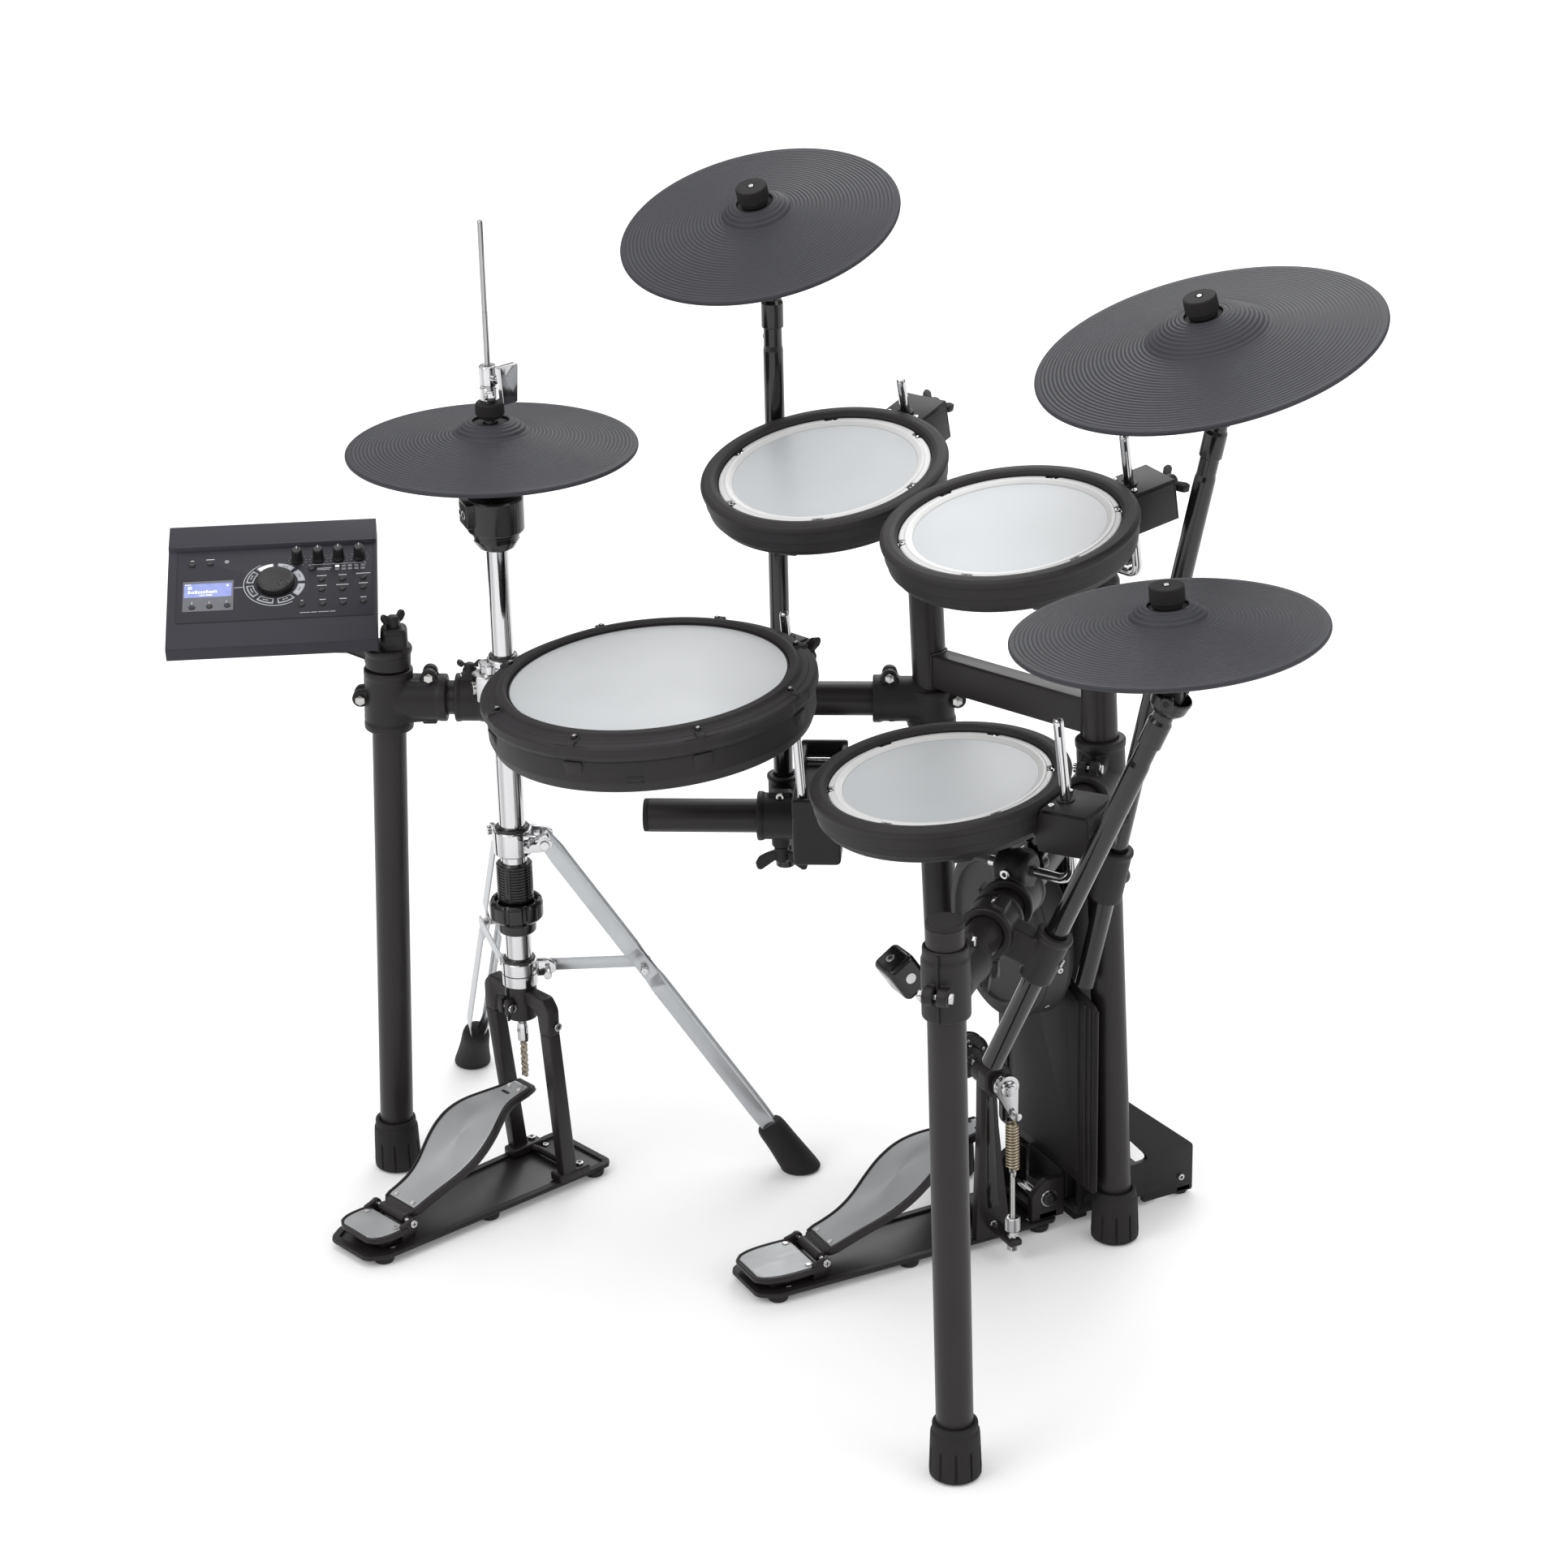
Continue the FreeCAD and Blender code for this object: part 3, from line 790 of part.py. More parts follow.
# floor of the case, set into its open underside, with the tilt knuckle
lo_a, lo_b = V(-hw + 3.3, -hd + 3.3, -13.2), V(-hw + 3.3, hd - 3.3, -47.2)
dn = V(0, 0, -1)
plate_m = prism([lo_a + V(0, 0, 3), lo_b + V(0, 0, 3), lo_b, lo_a], V(mod_w - 6.6, 0, 0))
hx, hy_, hz_ = hinge_l
knk = fuse(Part.makeCylinder(13, 28, V(hx - 14, hy_, hz_), V(1, 0, 0)), block(hx - 14, hx + 14, hy_ - 12, hy_ + 12, hz_, -26))
knk = knk.cut(prism([lo_a + V(-2, -6, 1.5), lo_b + V(-2, 6, 1.5), lo_b + V(-2, 6, 60), lo_a + V(-2, -6, 60)], V(mod_w, 0, 0)))
plate_m = fuse(plate_m, knk).cut(Part.makeCylinder(3.9 + run_fit, 80, V(hx - 40, hy_, hz_), V(1, 0, 0)))
nodes["module_base"] = put(max(plate_m.Solids, key=lambda q: q.Volume), mod_pl)

# controls in panel coordinates (x right, y up the panel)
dial_xy, dial_r = (4.0, -4.0), 21.0
knob_xy = [(28.0, 33.0), (51.5, 33.0), (74.0, 33.5), (97.0, 34.0)]
key_xy = [(-88, -37), (-68.5, -36.5), (-49, -36), (-89, 33), (-69, 34), (44, 18), (55, -1), (78, -1), (101, 0), (55, -17), (78, -17), (101, -16), (33, -40), (56, -40), (78.5, -40), (101, -39)]
cuts = [Part.makeCylinder(dial_r - 6, 8, V(dial_xy[0], dial_xy[1], -6))]
cuts += [Part.makeCylinder(3.2, 8, V(x, y, -6)) for x, y in knob_xy]
cuts += [Part.makeCylinder(3.9, 8, V(x, y, -6)) for x, y in key_xy]
cuts.append(block(-104, -40, -28, 10, -0.8, 4))
for q in cuts:
    case = case.cut(q)
case = case.cut(block(-98, -46, -16, 6, -1.6, 4))
nodes["module_case"] = put(max(case.Solids, key=lambda q: q.Volume), mod_pl)
board_m = block(-100, 100, -70, 50, -12.6, -11)
chips = [block(-60, -30, -30, 0, -11, -9), block(10, 34, -40, -16, -11, -8.6), block(50, 74, -46, -26, -11, -9.2)]
nodes["module_circuit_board"] = put(fuse(board_m, *chips), mod_pl)
dial = fuse(
    put(rev([(0, 0.6), (dial_r - 1, 0.6), (dial_r, 2), (dial_r - 1, 9), (dial_r - 3, 10.5), (0, 9.5)]), FreeCAD.Placement(V(dial_xy[0], dial_xy[1], 0), FreeCAD.Rotation())),
    Part.makeCylinder(dial_r - 6.4, 6, V(dial_xy[0], dial_xy[1], -5)),
).cut(Part.makeSphere(6, V(dial_xy[0] + 10, dial_xy[1] - 8, 13.5)))
nodes["module_dial"] = put(dial, mod_pl)
for i, (x, y) in enumerate(knob_xy):
    k = fuse(put(rev([(0, 0.6), (6.8, 0.6), (6.4, 3), (5.4, 16), (4.8, 17.5), (0, 17.5)]), FreeCAD.Placement(V(x, y, 0), FreeCAD.Rotation())), Part.makeCylinder(3.0, 6, V(x, y, -5)))
    nodes["module_knob_%d" % (i + 1)] = put(k, mod_pl)
keys = []
for x, y in key_xy:
    keys.append(fuse(Part.makeCylinder(3.6, 7.5, V(x, y, -5.5)), Part.makeCylinder(5.2, 2.0, V(x, y, -7.4))))
nodes["module_keys"] = put(group(*keys), mod_pl)

# ---------------------------------------------------------------- export
os.makedirs("parts", exist_ok=True)
shift = V(-origin_x, -origin_y, 0)
for name in sorted(nodes):
    s = nodes[name].copy()
    s.translate(shift)
    s.exportStep("parts/%s.step" % name)
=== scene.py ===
import bpy, bmesh, math, json
import numpy as np
from mathutils import Matrix, Vector


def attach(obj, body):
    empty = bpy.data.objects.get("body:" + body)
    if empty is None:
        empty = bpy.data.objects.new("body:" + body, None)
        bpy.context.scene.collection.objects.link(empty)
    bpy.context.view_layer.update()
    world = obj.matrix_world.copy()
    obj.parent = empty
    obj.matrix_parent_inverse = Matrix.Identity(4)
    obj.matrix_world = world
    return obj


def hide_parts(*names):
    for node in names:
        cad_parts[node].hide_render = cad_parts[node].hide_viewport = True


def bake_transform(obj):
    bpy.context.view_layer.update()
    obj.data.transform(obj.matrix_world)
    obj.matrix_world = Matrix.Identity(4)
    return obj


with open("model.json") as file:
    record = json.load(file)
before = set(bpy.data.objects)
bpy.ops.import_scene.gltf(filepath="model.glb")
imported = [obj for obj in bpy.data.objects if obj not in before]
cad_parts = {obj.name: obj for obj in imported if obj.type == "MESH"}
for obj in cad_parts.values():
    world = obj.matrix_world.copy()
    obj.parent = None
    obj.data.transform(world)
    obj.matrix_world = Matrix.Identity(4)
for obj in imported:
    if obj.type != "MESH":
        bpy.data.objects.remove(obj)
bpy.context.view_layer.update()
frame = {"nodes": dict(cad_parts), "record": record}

# ------------------------------------------------------------------ layout
# Lengths below are millimetres in the layout frame; SX, SY move the layout to the part's origin.
SX, SY = 18.544, -11.604
rad, cos, sin, pi = math.radians, math.cos, math.sin, math.pi


def vec(*a):
    return np.array(a[0] if len(a) == 1 else a, float)


def unit(v):
    v = vec(v)
    return v / np.linalg.norm(v)


def frm(o, z, x):
    """4x4 with local z along z and local x as near x as it can be."""
    z = unit(z)
    y = unit(np.cross(z, vec(x)))
    x = np.cross(y, z)
    m = np.eye(4)
    m[:3, 0], m[:3, 1], m[:3, 2], m[:3, 3] = x, y, z, vec(o)
    return m


def anyx(d):
    d = unit(d)
    return vec(1, 0, 0) if abs(d[0]) < 0.8 else vec(0, 1, 0)


def ax(a, b, x=None):
    """Frame at a with z towards b, and the distance."""
    d = vec(b) - vec(a)
    return frm(a, d, anyx(d) if x is None else x), float(np.linalg.norm(d))


def mv(m, p):
    return (m @ np.array([p[0], p[1], p[2], 1.0]))[:3]


def mdir(m, d):
    return m[:3, :3] @ vec(d)


def rot(axis, deg):
    m = np.eye(4)
    m[:3, :3] = np.array(Matrix.Rotation(rad(deg), 3, Vector(axis)))
    return m


def tr(x, y, z):
    m = np.eye(4)
    m[:3, 3] = (x, y, z)
    return m


I4 = np.eye(4)


# ------------------------------------------------------------------ mesh building
def fillet(pts, r, k=4, closed=False):
    """Round the corners of a 2-D polyline; r is one radius or one for each corner."""
    n = len(pts)
    out = []
    for i, p in enumerate(pts):
        p = vec(p)
        ri = r[i] if hasattr(r, "__len__") else r
        if (not closed and i in (0, n - 1)) or ri <= 0:
            out.append(tuple(p))
            continue
        a, b = vec(pts[i - 1]), vec(pts[(i + 1) % n])
        u, w = a - p, b - p
        lu, lw = np.linalg.norm(u), np.linalg.norm(w)
        if lu < 1e-9 or lw < 1e-9:
            out.append(tuple(p))
            continue
        u, w = u / lu, w / lw
        c = max(-1.0, min(1.0, float(u @ w)))
        ang = math.acos(c)
        if ang > pi - 0.02 or ang < 0.02:
            out.append(tuple(p))
            continue
        t = min(ri / math.tan(ang / 2), 0.48 * lu, 0.48 * lw)
        p0, p1 = p + u * t, p + w * t
        for j in range(k + 1):
            s = j / k
            out.append(tuple((1 - s) ** 2 * p0 + 2 * s * (1 - s) * p + s * s * p1))
    return out


class Piece:
    """A mesh under construction. Coordinates are millimetres in the layout frame, or in the frame `at`."""

    def __init__(self, name, body, slot=None, replaces=(), at=None):
        self.name, self.body, self.slot, self.rep, self.at = name, body, slot, replaces, at
        self.v, self.f, self.m, self.mats, self.nv = [], [], [], [], 0

    def mat(self, m):
        if m not in self.mats:
            self.mats.append(m)
        return self.mats.index(m)

    def add(self, v, f, mat, M=None):
        v = np.asarray(v, float)
        if M is not None:
            v = v @ M[:3, :3].T + M[:3, 3]
        i = self.mat(mat)
        self.v.append(v)
        n = self.nv
        self.f += [tuple(int(a) + n for a in q) for q in f]
        self.m += [i] * len(f)
        self.nv += len(v)
        return self

    def addbm(self, bm, mat, M=None):
        bmesh.ops.recalc_face_normals(bm, faces=bm.faces[:])
        bm.verts.index_update()
        v = [tuple(q.co) for q in bm.verts]
        f = [tuple(q.index for q in a.verts) for a in bm.faces]
        bm.free()
        return self.add(v, f, mat, M)

    # -- turned shapes
    def lathe(self, prof, mat, M=None, n=64, mod=None):
        """Turn (r, z) points about z. mod(theta, r, z) may change the radius."""
        prof = [(max(0.0, p[0]), p[1]) for p in prof]
        th = np.linspace(0, 2 * pi, n, endpoint=False)
        v, f, rows = [], [], []
        for r, z in prof:
            if r < 1e-6:
                rows.append([len(v)])
                v.append((0, 0, z))
            else:
                rows.append(list(range(len(v), len(v) + n)))
                for t in th:
                    q = r if mod is None else mod(t, r, z)
                    v.append((q * cos(t), q * sin(t), z))
        for a, b in zip(rows, rows[1:]):
            for i in range(n):
                j = (i + 1) % n
                if len(a) == 1 and len(b) == 1:
                    continue
                if len(a) == 1:
                    f.append((a[0], b[j], b[i]))
                elif len(b) == 1:
                    f.append((a[i], a[j], b[0]))
                else:
                    f.append((a[i], a[j], b[j], b[i]))
        if prof[0] == prof[-1] and len(rows[0]) > 1:
            pass
        bm = bmesh.new()
        bv = [bm.verts.new(p) for p in v]
        for q in f:
            try:
                bm.faces.new([bv[i] for i in q])
            except ValueError:
                pass
        bmesh.ops.remove_doubles(bm, verts=bm.verts[:], dist=1e-5)
        return self.addbm(bm, mat, M)

    def rod(self, a, b, r, mat, n=48, ch=0.6, ri=None, x=None):
        """Round bar from a to b with eased ends; ri makes it a tube."""
        M, L = ax(a, b, x)
        ch = min(ch, r * 0.45, L * 0.3)
        if ri is None:
            p = fillet([(0, 0), (r, 0), (r, L), (0, L)], ch, 3)
        else:
            p = fillet([(ri, 0), (r, 0), (r, L), (ri, L), (ri, 0)], min(ch, (r - ri) * 0.4), 2, False)
        return self.lathe(p, mat, M, n)

    def cone(self, a, b, r1, r2, mat, n=48, ch=0.6):
        M, L = ax(a, b)
        return self.lathe(fillet([(0, 0), (r1, 0), (r2, L), (0, L)], ch, 3), mat, M, n)

    def ball(self, c, r, mat, n=32, sq=1.0):
        p = [(r * sin(t), -r * cos(t) * sq) for t in np.linspace(0, pi, 17)]
        return self.lathe(p, mat, tr(*c), n)

    def torus(self, R, r, mat, M=None, n=64, k=12):
        p = [(R + r * cos(t), r * sin(t)) for t in np.linspace(0, 2 * pi, k + 1)]
        return self.lathe(p, mat, M, n)

    # -- flat shapes
    def prism(self, pts, z0, z1, mat, M=None, bev=0.8, seg=2, holes=()):
        """Extrude a 2-D outline from z0 to z1 with eased edges."""
        bm = bmesh.new()
        vs = [bm.verts.new((p[0], p[1], z0)) for p in pts]
        fc = bm.faces.new(vs)
        r = bmesh.ops.extrude_face_region(bm, geom=[fc])
        for q in r["geom"]:
            if isinstance(q, bmesh.types.BMVert):
                q.co.z = z1
        bmesh.ops.recalc_face_normals(bm, faces=bm.faces[:])
        if bev > 0:
            es = [e for e in bm.edges if len(e.link_faces) == 2 and e.calc_face_angle(0) > 0.45]
            bmesh.ops.bevel(bm, geom=es, offset=bev, segments=seg, affect="EDGES", profile=0.5, clamp_overlap=True)
        bmesh.ops.remove_doubles(bm, verts=bm.verts[:], dist=1e-4)
        return self.addbm(bm, mat, M)

    def box(self, x0, x1, y0, y1, z0, z1, mat, M=None, bev=0.8, seg=2):
        return self.prism([(x0, y0), (x1, y0), (x1, y1), (x0, y1)], z0, z1, mat, M, bev, seg)

    def hexa(self, pts8, mat, M=None, bev=0.8, seg=2):
        """Box with eight free corners: four low, four high."""
        bm = bmesh.new()
        v = [bm.verts.new(tuple(p)) for p in pts8]
        for q in ((0, 1, 2, 3), (4, 5, 6, 7), (0, 1, 5, 4), (1, 2, 6, 5), (2, 3, 7, 6), (3, 0, 4, 7)):
            bm.faces.new([v[i] for i in q])
        bmesh.ops.recalc_face_normals(bm, faces=bm.faces[:])
        if bev > 0:
            bmesh.ops.bevel(bm, geom=bm.edges[:], offset=bev, segments=seg, affect="EDGES", profile=0.5, clamp_overlap=True)
        return self.addbm(bm, mat, M)

    # -- swept shapes
    def sweep(self, path, r, mat, n=20, cap=True, closed=False, sec=None, up=None):
        """Sweep a circle of radius r (number or one for each point), or the outline sec, along path."""
        P = [vec(p) for p in path]
        k = len(P)
        T = []
        for i in range(k):
            if closed:
                d = P[(i + 1) % k] - P[i - 1]
            else:
                d = P[min(i + 1, k - 1)] - P[max(i - 1, 0)]
            T.append(unit(d))
        N = unit(np.cross(T[0], np.cross(vec(up), T[0]))) if up is not None else unit(np.cross(T[0], anyx(T[0])))
        rows, v = [], []
        for i in range(k):
            if up is not None:
                N = unit(vec(up) - T[i] * (vec(up) @ T[i]))
            else:
                N = unit(N - T[i] * (N @ T[i]))
            B = np.cross(T[i], N)
            ri = r[i] if hasattr(r, "__len__") else r
            o = [(ri * cos(t), ri * sin(t)) for t in np.linspace(0, 2 * pi, n, endpoint=False)] if sec is None else [(a * (ri or 1), b * (ri or 1)) for a, b in sec]
            rows.append(list(range(len(v), len(v) + len(o))))
            v += [tuple(P[i] + N * a + B * b) for a, b in o]
        f = []
        m = len(rows[0])
        for i in range(k if closed else k - 1):
            a, b = rows[i], rows[(i + 1) % k]
            for j in range(m):
                f.append((a[j], a[(j + 1) % m], b[(j + 1) % m], b[j]))
        if cap and not closed:
            f += [tuple(rows[0]), tuple(rows[-1])]
        bm = bmesh.new()
        bv = [bm.verts.new(p) for p in v]
        for q in f:
            try:
                bm.faces.new([bv[i] for i in q])
            except ValueError:
                pass
        return self.addbm(bm, mat)

    def bolt(self, c, d, r, h, mat, dark=None, kind="hex", n=32):
        """Bolt or screw head at c facing d."""
        M = frm(c, d, anyx(d))
        self.lathe(fillet([(0, 0), (r, 0), (r, h), (r * 0.62, h), (0, h)], min(h * 0.35, r * 0.3), 3), mat, M, n)
        # the dark socket or cross slot is painted shade, a near-black sheet on the head
        if dark is not None:
            if kind == "hex":
                self.prism([(r * 0.5 * cos(t), r * 0.5 * sin(t)) for t in np.arange(6) * pi / 3], h - 0.2, h + 0.06, dark, M, 0)
            else:
                for a in (0, 90):
                    self.box(-r * 0.6, r * 0.6, -r * 0.11, r * 0.11, h - 0.2, h + 0.06, dark, M @ rot((0, 0, 1), a), 0)
        return self

    # -- finish
    def done(self, ang=38, cast=0, smooth=0):
        """Make the object. cast > 0 welds all the shapes into one moulded skin of that voxel size."""
        co = np.concatenate(self.v)
        if self.at is None:
            co = (co - np.array([SX, SY, 0.0])) / 1000.0
        else:
            co = co / 1000.0
        me = bpy.data.meshes.new(self.name)
        me.from_pydata([tuple(p) for p in co], [], self.f)
        me.polygons.foreach_set("material_index", self.m)
        ob = bpy.data.objects.new(self.name, me)
        bpy.context.scene.collection.objects.link(ob)
        if cast:
            bm = bmesh.new()
            bm.from_mesh(me)
            bmesh.ops.remove_doubles(bm, verts=bm.verts, dist=1e-6)
            bmesh.ops.holes_fill(bm, edges=[e for e in bm.edges if e.is_boundary], sides=0)
            bmesh.ops.recalc_face_normals(bm, faces=bm.faces)
            bm.to_mesh(me)
            bm.free()
            q = ob.modifiers.new("weld", "REMESH")
            q.mode, q.voxel_size = "VOXEL", cast / 1000.0
            if smooth:
                w = ob.modifiers.new("ease", "SMOOTH")
                w.factor, w.iterations = 0.5, smooth
            bpy.context.view_layer.update()
            me2 = bpy.data.meshes.new_from_object(ob.evaluated_get(bpy.context.evaluated_depsgraph_get()))
            ob.modifiers.clear()
            ob.data = me2
            bpy.data.meshes.remove(me)
            me = me2
            me.name = self.name
            me.materials.clear()
            me.polygons.foreach_set("material_index", [0] * len(me.polygons))
        for m in self.mats[: 1 if cast else None]:
            me.materials.append(m)
        me.polygons.foreach_set("use_smooth", [True] * len(me.polygons))
        me.update()
        if not cast:
            me.set_sharp_from_angle(angle=rad(ang))
        if self.at is not None:
            w = self.at.copy()
            w[:3, 3] = (w[:3, 3] - np.array([SX, SY, 0.0])) / 1000.0
            ob.matrix_world = Matrix(w.tolist())
        if self.body is not None:
            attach(ob, self.body)
        if self.rep:
            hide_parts(*([self.rep] if isinstance(self.rep, str) else self.rep))
        return ob


# ------------------------------------------------------------------ materials
def _mat(name):
    m = bpy.data.materials.new(name)
    m.use_nodes = True
    nt = m.node_tree
    nt.nodes.clear()
    out = nt.nodes.new("ShaderNodeOutputMaterial")
    b = nt.nodes.new("ShaderNodeBsdfPrincipled")
    nt.links.new(b.outputs[0], out.inputs[0])
    return m, nt, b


def _noise(nt, scale, detail=4.0, stretch=None, rough=0.55, co="Object"):
    tc = nt.nodes.new("ShaderNodeTexCoord")
    src = tc.outputs[co]
    if stretch is not None:
        mp = nt.nodes.new("ShaderNodeMapping")
        mp.inputs["Scale"].default_value = stretch
        nt.links.new(src, mp.inputs["Vector"])
        src = mp.outputs[0]
    n = nt.nodes.new("ShaderNodeTexNoise")
    n.inputs["Scale"].default_value = scale
    n.inputs["Detail"].default_value = detail
    n.inputs["Roughness"].default_value = rough
    nt.links.new(src, n.inputs["Vector"])
    return n


def _ramp(nt, src, a, b, lo=0.3, hi=0.7):
    r = nt.nodes.new("ShaderNodeValToRGB")
    r.color_ramp.elements[0].position, r.color_ramp.elements[1].position = lo, hi
    r.color_ramp.elements[0].color, r.color_ramp.elements[1].color = (*a, 1), (*b, 1)
    nt.links.new(src, r.inputs[0])
    return r.outputs[0]


def _range(nt, src, a, b, lo=0.3, hi=0.7):
    r = nt.nodes.new("ShaderNodeMapRange")
    r.inputs["From Min"].default_value, r.inputs["From Max"].default_value = lo, hi
    r.inputs["To Min"].default_value, r.inputs["To Max"].default_value = a, b
    nt.links.new(src, r.inputs["Value"])
    return r.outputs[0]


def _bump(nt, b, h, strength, dist, bevel=0.0):
    n = nt.nodes.new("ShaderNodeBump")
    n.inputs["Strength"].default_value = strength
    n.inputs["Distance"].default_value = dist
    nt.links.new(h, n.inputs["Height"])
    if bevel > 0:
        v = nt.nodes.new("ShaderNodeBevel")
        v.samples = 4
        v.inputs["Radius"].default_value = bevel
        nt.links.new(v.outputs[0], n.inputs["Normal"])
    nt.links.new(n.outputs[0], b.inputs["Normal"])


def surface(name, c, var=0.12, rough=(0.4, 0.5), metal=0.0, grain=900.0, bump=0.15, dist=0.0002, spec=0.5, coat=0.0, coat_r=0.1, patch=14.0, stretch=None, bevel=0.0006, aniso=0.0):
    """Colour and gloss varied over large patches, with a fine surface grain."""
    m, nt, b = _mat(name)
    big = _noise(nt, patch, 3.0)
    c = vec(c)
    nt.links.new(_ramp(nt, big.outputs[0], tuple(np.clip(c * (1 - var), 0, 1)), tuple(np.clip(c * (1 + var), 0, 1))), b.inputs["Base Color"])
    fine = _noise(nt, grain, 3.0, stretch)
    mix = nt.nodes.new("ShaderNodeMath")
    mix.operation = "ADD"
    mix.use_clamp = False
    half = nt.nodes.new("ShaderNodeMath")
    half.operation = "MULTIPLY_ADD"
    half.inputs[1].default_value, half.inputs[2].default_value = 0.5, 0.0
    nt.links.new(big.outputs[0], half.inputs[0])
    half2 = nt.nodes.new("ShaderNodeMath")
    half2.operation = "MULTIPLY_ADD"
    half2.inputs[1].default_value, half2.inputs[2].default_value = 0.5, 0.0
    nt.links.new(fine.outputs[0], half2.inputs[0])
    nt.links.new(half.outputs[0], mix.inputs[0])
    nt.links.new(half2.outputs[0], mix.inputs[1])
    nt.links.new(_range(nt, mix.outputs[0], rough[0], rough[1]), b.inputs["Roughness"])
    b.inputs["Metallic"].default_value = metal
    b.inputs["Specular IOR Level"].default_value = spec
    if coat:
        b.inputs["Coat Weight"].default_value = coat
        b.inputs["Coat Roughness"].default_value = coat_r
    if aniso:
        b.inputs["Anisotropic"].default_value = aniso
    _bump(nt, b, fine.outputs[0], bump, dist, bevel)
    return m


satin = surface("satin_black_paint", (0.0165, 0.0136, 0.0142), 0.12, (0.32, 0.42), grain=1500, bump=0.10, dist=0.00012, spec=0.30)
gloss = surface("gloss_black_paint", (0.0065, 0.006, 0.0063), 0.15, (0.12, 0.2), grain=500, bump=0.05, dist=0.0001, coat=0.25, coat_r=0.06, spec=0.4)
frame_paint = surface("textured_black_paint", (0.0128, 0.0108, 0.0114), 0.15, (0.38, 0.52), grain=2200, bump=0.3, dist=0.00015, spec=0.28)
cast_plastic = surface("moulded_black_plastic", (0.0135, 0.0114, 0.0124), 0.14, (0.42, 0.54), grain=1800, bump=0.2, dist=0.00015, spec=0.30)
gloss_plastic = surface("gloss_black_plastic", (0.0065, 0.006, 0.0065), 0.12, (0.16, 0.26), grain=900, bump=0.06, dist=0.0001, coat=0.15, coat_r=0.1, spec=0.4)
rubber = surface("black_rubber", (0.0166, 0.0147, 0.0156), 0.14, (0.6, 0.75), grain=1300, bump=0.3, dist=0.0002, spec=0.25)
soft_rubber = surface("pad_rim_rubber", (0.0205, 0.0182, 0.0198), 0.12, (0.50, 0.64), grain=1600, bump=0.2, dist=0.00015, spec=0.28)
shell_plastic = surface("pad_shell_plastic", (0.0178, 0.0156, 0.0170), 0.12, (0.46, 0.58), grain=1700, bump=0.22, dist=0.00015, spec=0.28)


def plating_with_painted_reflections(name, c, rough, low=0.16, shift=0.0):
    """Bright plating with painted reflections: the colour is painted darker in narrow bands round its faces, as
    polished tube shows among dark flags.
    """
    m, nt, b = _mat(name)
    tc = nt.nodes.new("ShaderNodeTexCoord")
    sep = nt.nodes.new("ShaderNodeSeparateXYZ")
    nt.links.new(tc.outputs["Normal"], sep.inputs[0])
    at = nt.nodes.new("ShaderNodeMath")
    at.operation = "ARCTAN2"
    nt.links.new(sep.outputs[1], at.inputs[0])
    nt.links.new(sep.outputs[0], at.inputs[1])
    tn = nt.nodes.new("ShaderNodeMath")
    tn.operation = "MULTIPLY_ADD"
    nt.links.new(at.outputs[0], tn.inputs[0])
    tn.inputs[1].default_value, tn.inputs[2].default_value = 1 / (2 * pi), 0.5 + shift
    fr = nt.nodes.new("ShaderNodeMath")
    fr.operation = "FRACT"
    nt.links.new(tn.outputs[0], fr.inputs[0])
    r = nt.nodes.new("ShaderNodeValToRGB")
    c = vec(c)
    el = r.color_ramp.elements
    # painted reflection: dark and bright bands set by the face's direction
    painted_reflection_stops = [(0.0, 0.95), (0.06, 0.55), (0.085, low), (0.125, low * 1.15), (0.15, 0.8), (0.24, 1.0), (0.30, 0.62), (0.335, 0.98), (0.43, 1.0), (0.455, 0.30), (0.475, low), (0.50, 0.86), (0.60, 1.0), (0.66, 0.5), (0.69, low * 1.3), (0.72, 0.9), (0.80, 1.0), (0.865, 0.5), (0.885, 0.92), (1.0, 0.95)]
    el[0].position, el[0].color = painted_reflection_stops[0][0], (*(c * painted_reflection_stops[0][1]), 1)
    el[1].position, el[1].color = painted_reflection_stops[-1][0], (*(c * painted_reflection_stops[-1][1]), 1)
    for q, w in painted_reflection_stops[1:-1]:
        e = el.new(q)
        e.color = (*(c * w), 1)
    nt.links.new(fr.outputs[0], r.inputs[0])
    # only the upright faces carry the painted reflection bands
    up = nt.nodes.new("ShaderNodeMath")
    up.operation = "ABSOLUTE"
    nt.links.new(sep.outputs[2], up.inputs[0])
    mx = nt.nodes.new("ShaderNodeMix")
    mx.data_type = "RGBA"
    nt.links.new(_range(nt, up.outputs[0], 0.0, 1.0, 0.45, 0.9), mx.inputs[0])
    nt.links.new(r.outputs[0], mx.inputs[6])
    mx.inputs[7].default_value = (*(c * 0.92), 1)
    nt.links.new(mx.outputs[2], b.inputs["Base Color"])
    n = _noise(nt, 60.0, 3.0)
    nt.links.new(_range(nt, n.outputs[0], rough[0], rough[1]), b.inputs["Roughness"])
    b.inputs["Metallic"].default_value = 1.0
    fine = _noise(nt, 700.0, 2.0)
    _bump(nt, b, fine.outputs[0], 0.02, 0.00005, 0.0005)
    return m


# chrome: its colour carries painted reflection bands
chrome = plating_with_painted_reflections("chrome_plate", (0.62, 0.62, 0.63), (0.06, 0.14), 0.12)
zinc = surface("zinc_strip_steel", (0.47, 0.485, 0.50), 0.07, (0.26, 0.40), metal=1.0, grain=420, bump=0.08, dist=0.0001, stretch=(1, 1, 0.08))
steel = surface("bright_steel", (0.50, 0.495, 0.485), 0.10, (0.16, 0.30), metal=1.0, grain=900, bump=0.05, dist=0.0001)
nickel = surface("nickel_wire", (0.40, 0.36, 0.285), 0.12, (0.22, 0.34), metal=1.0, grain=1200, bump=0.06, dist=0.0001)
# painted shade where it is laid into sockets, slots, grooves and gaps; elsewhere dark print and dark faces
dark = surface("recess_shade_and_print", (0.006, 0.006, 0.0065), 0.2, (0.6, 0.8), grain=900, bump=0.1, dist=0.0001)


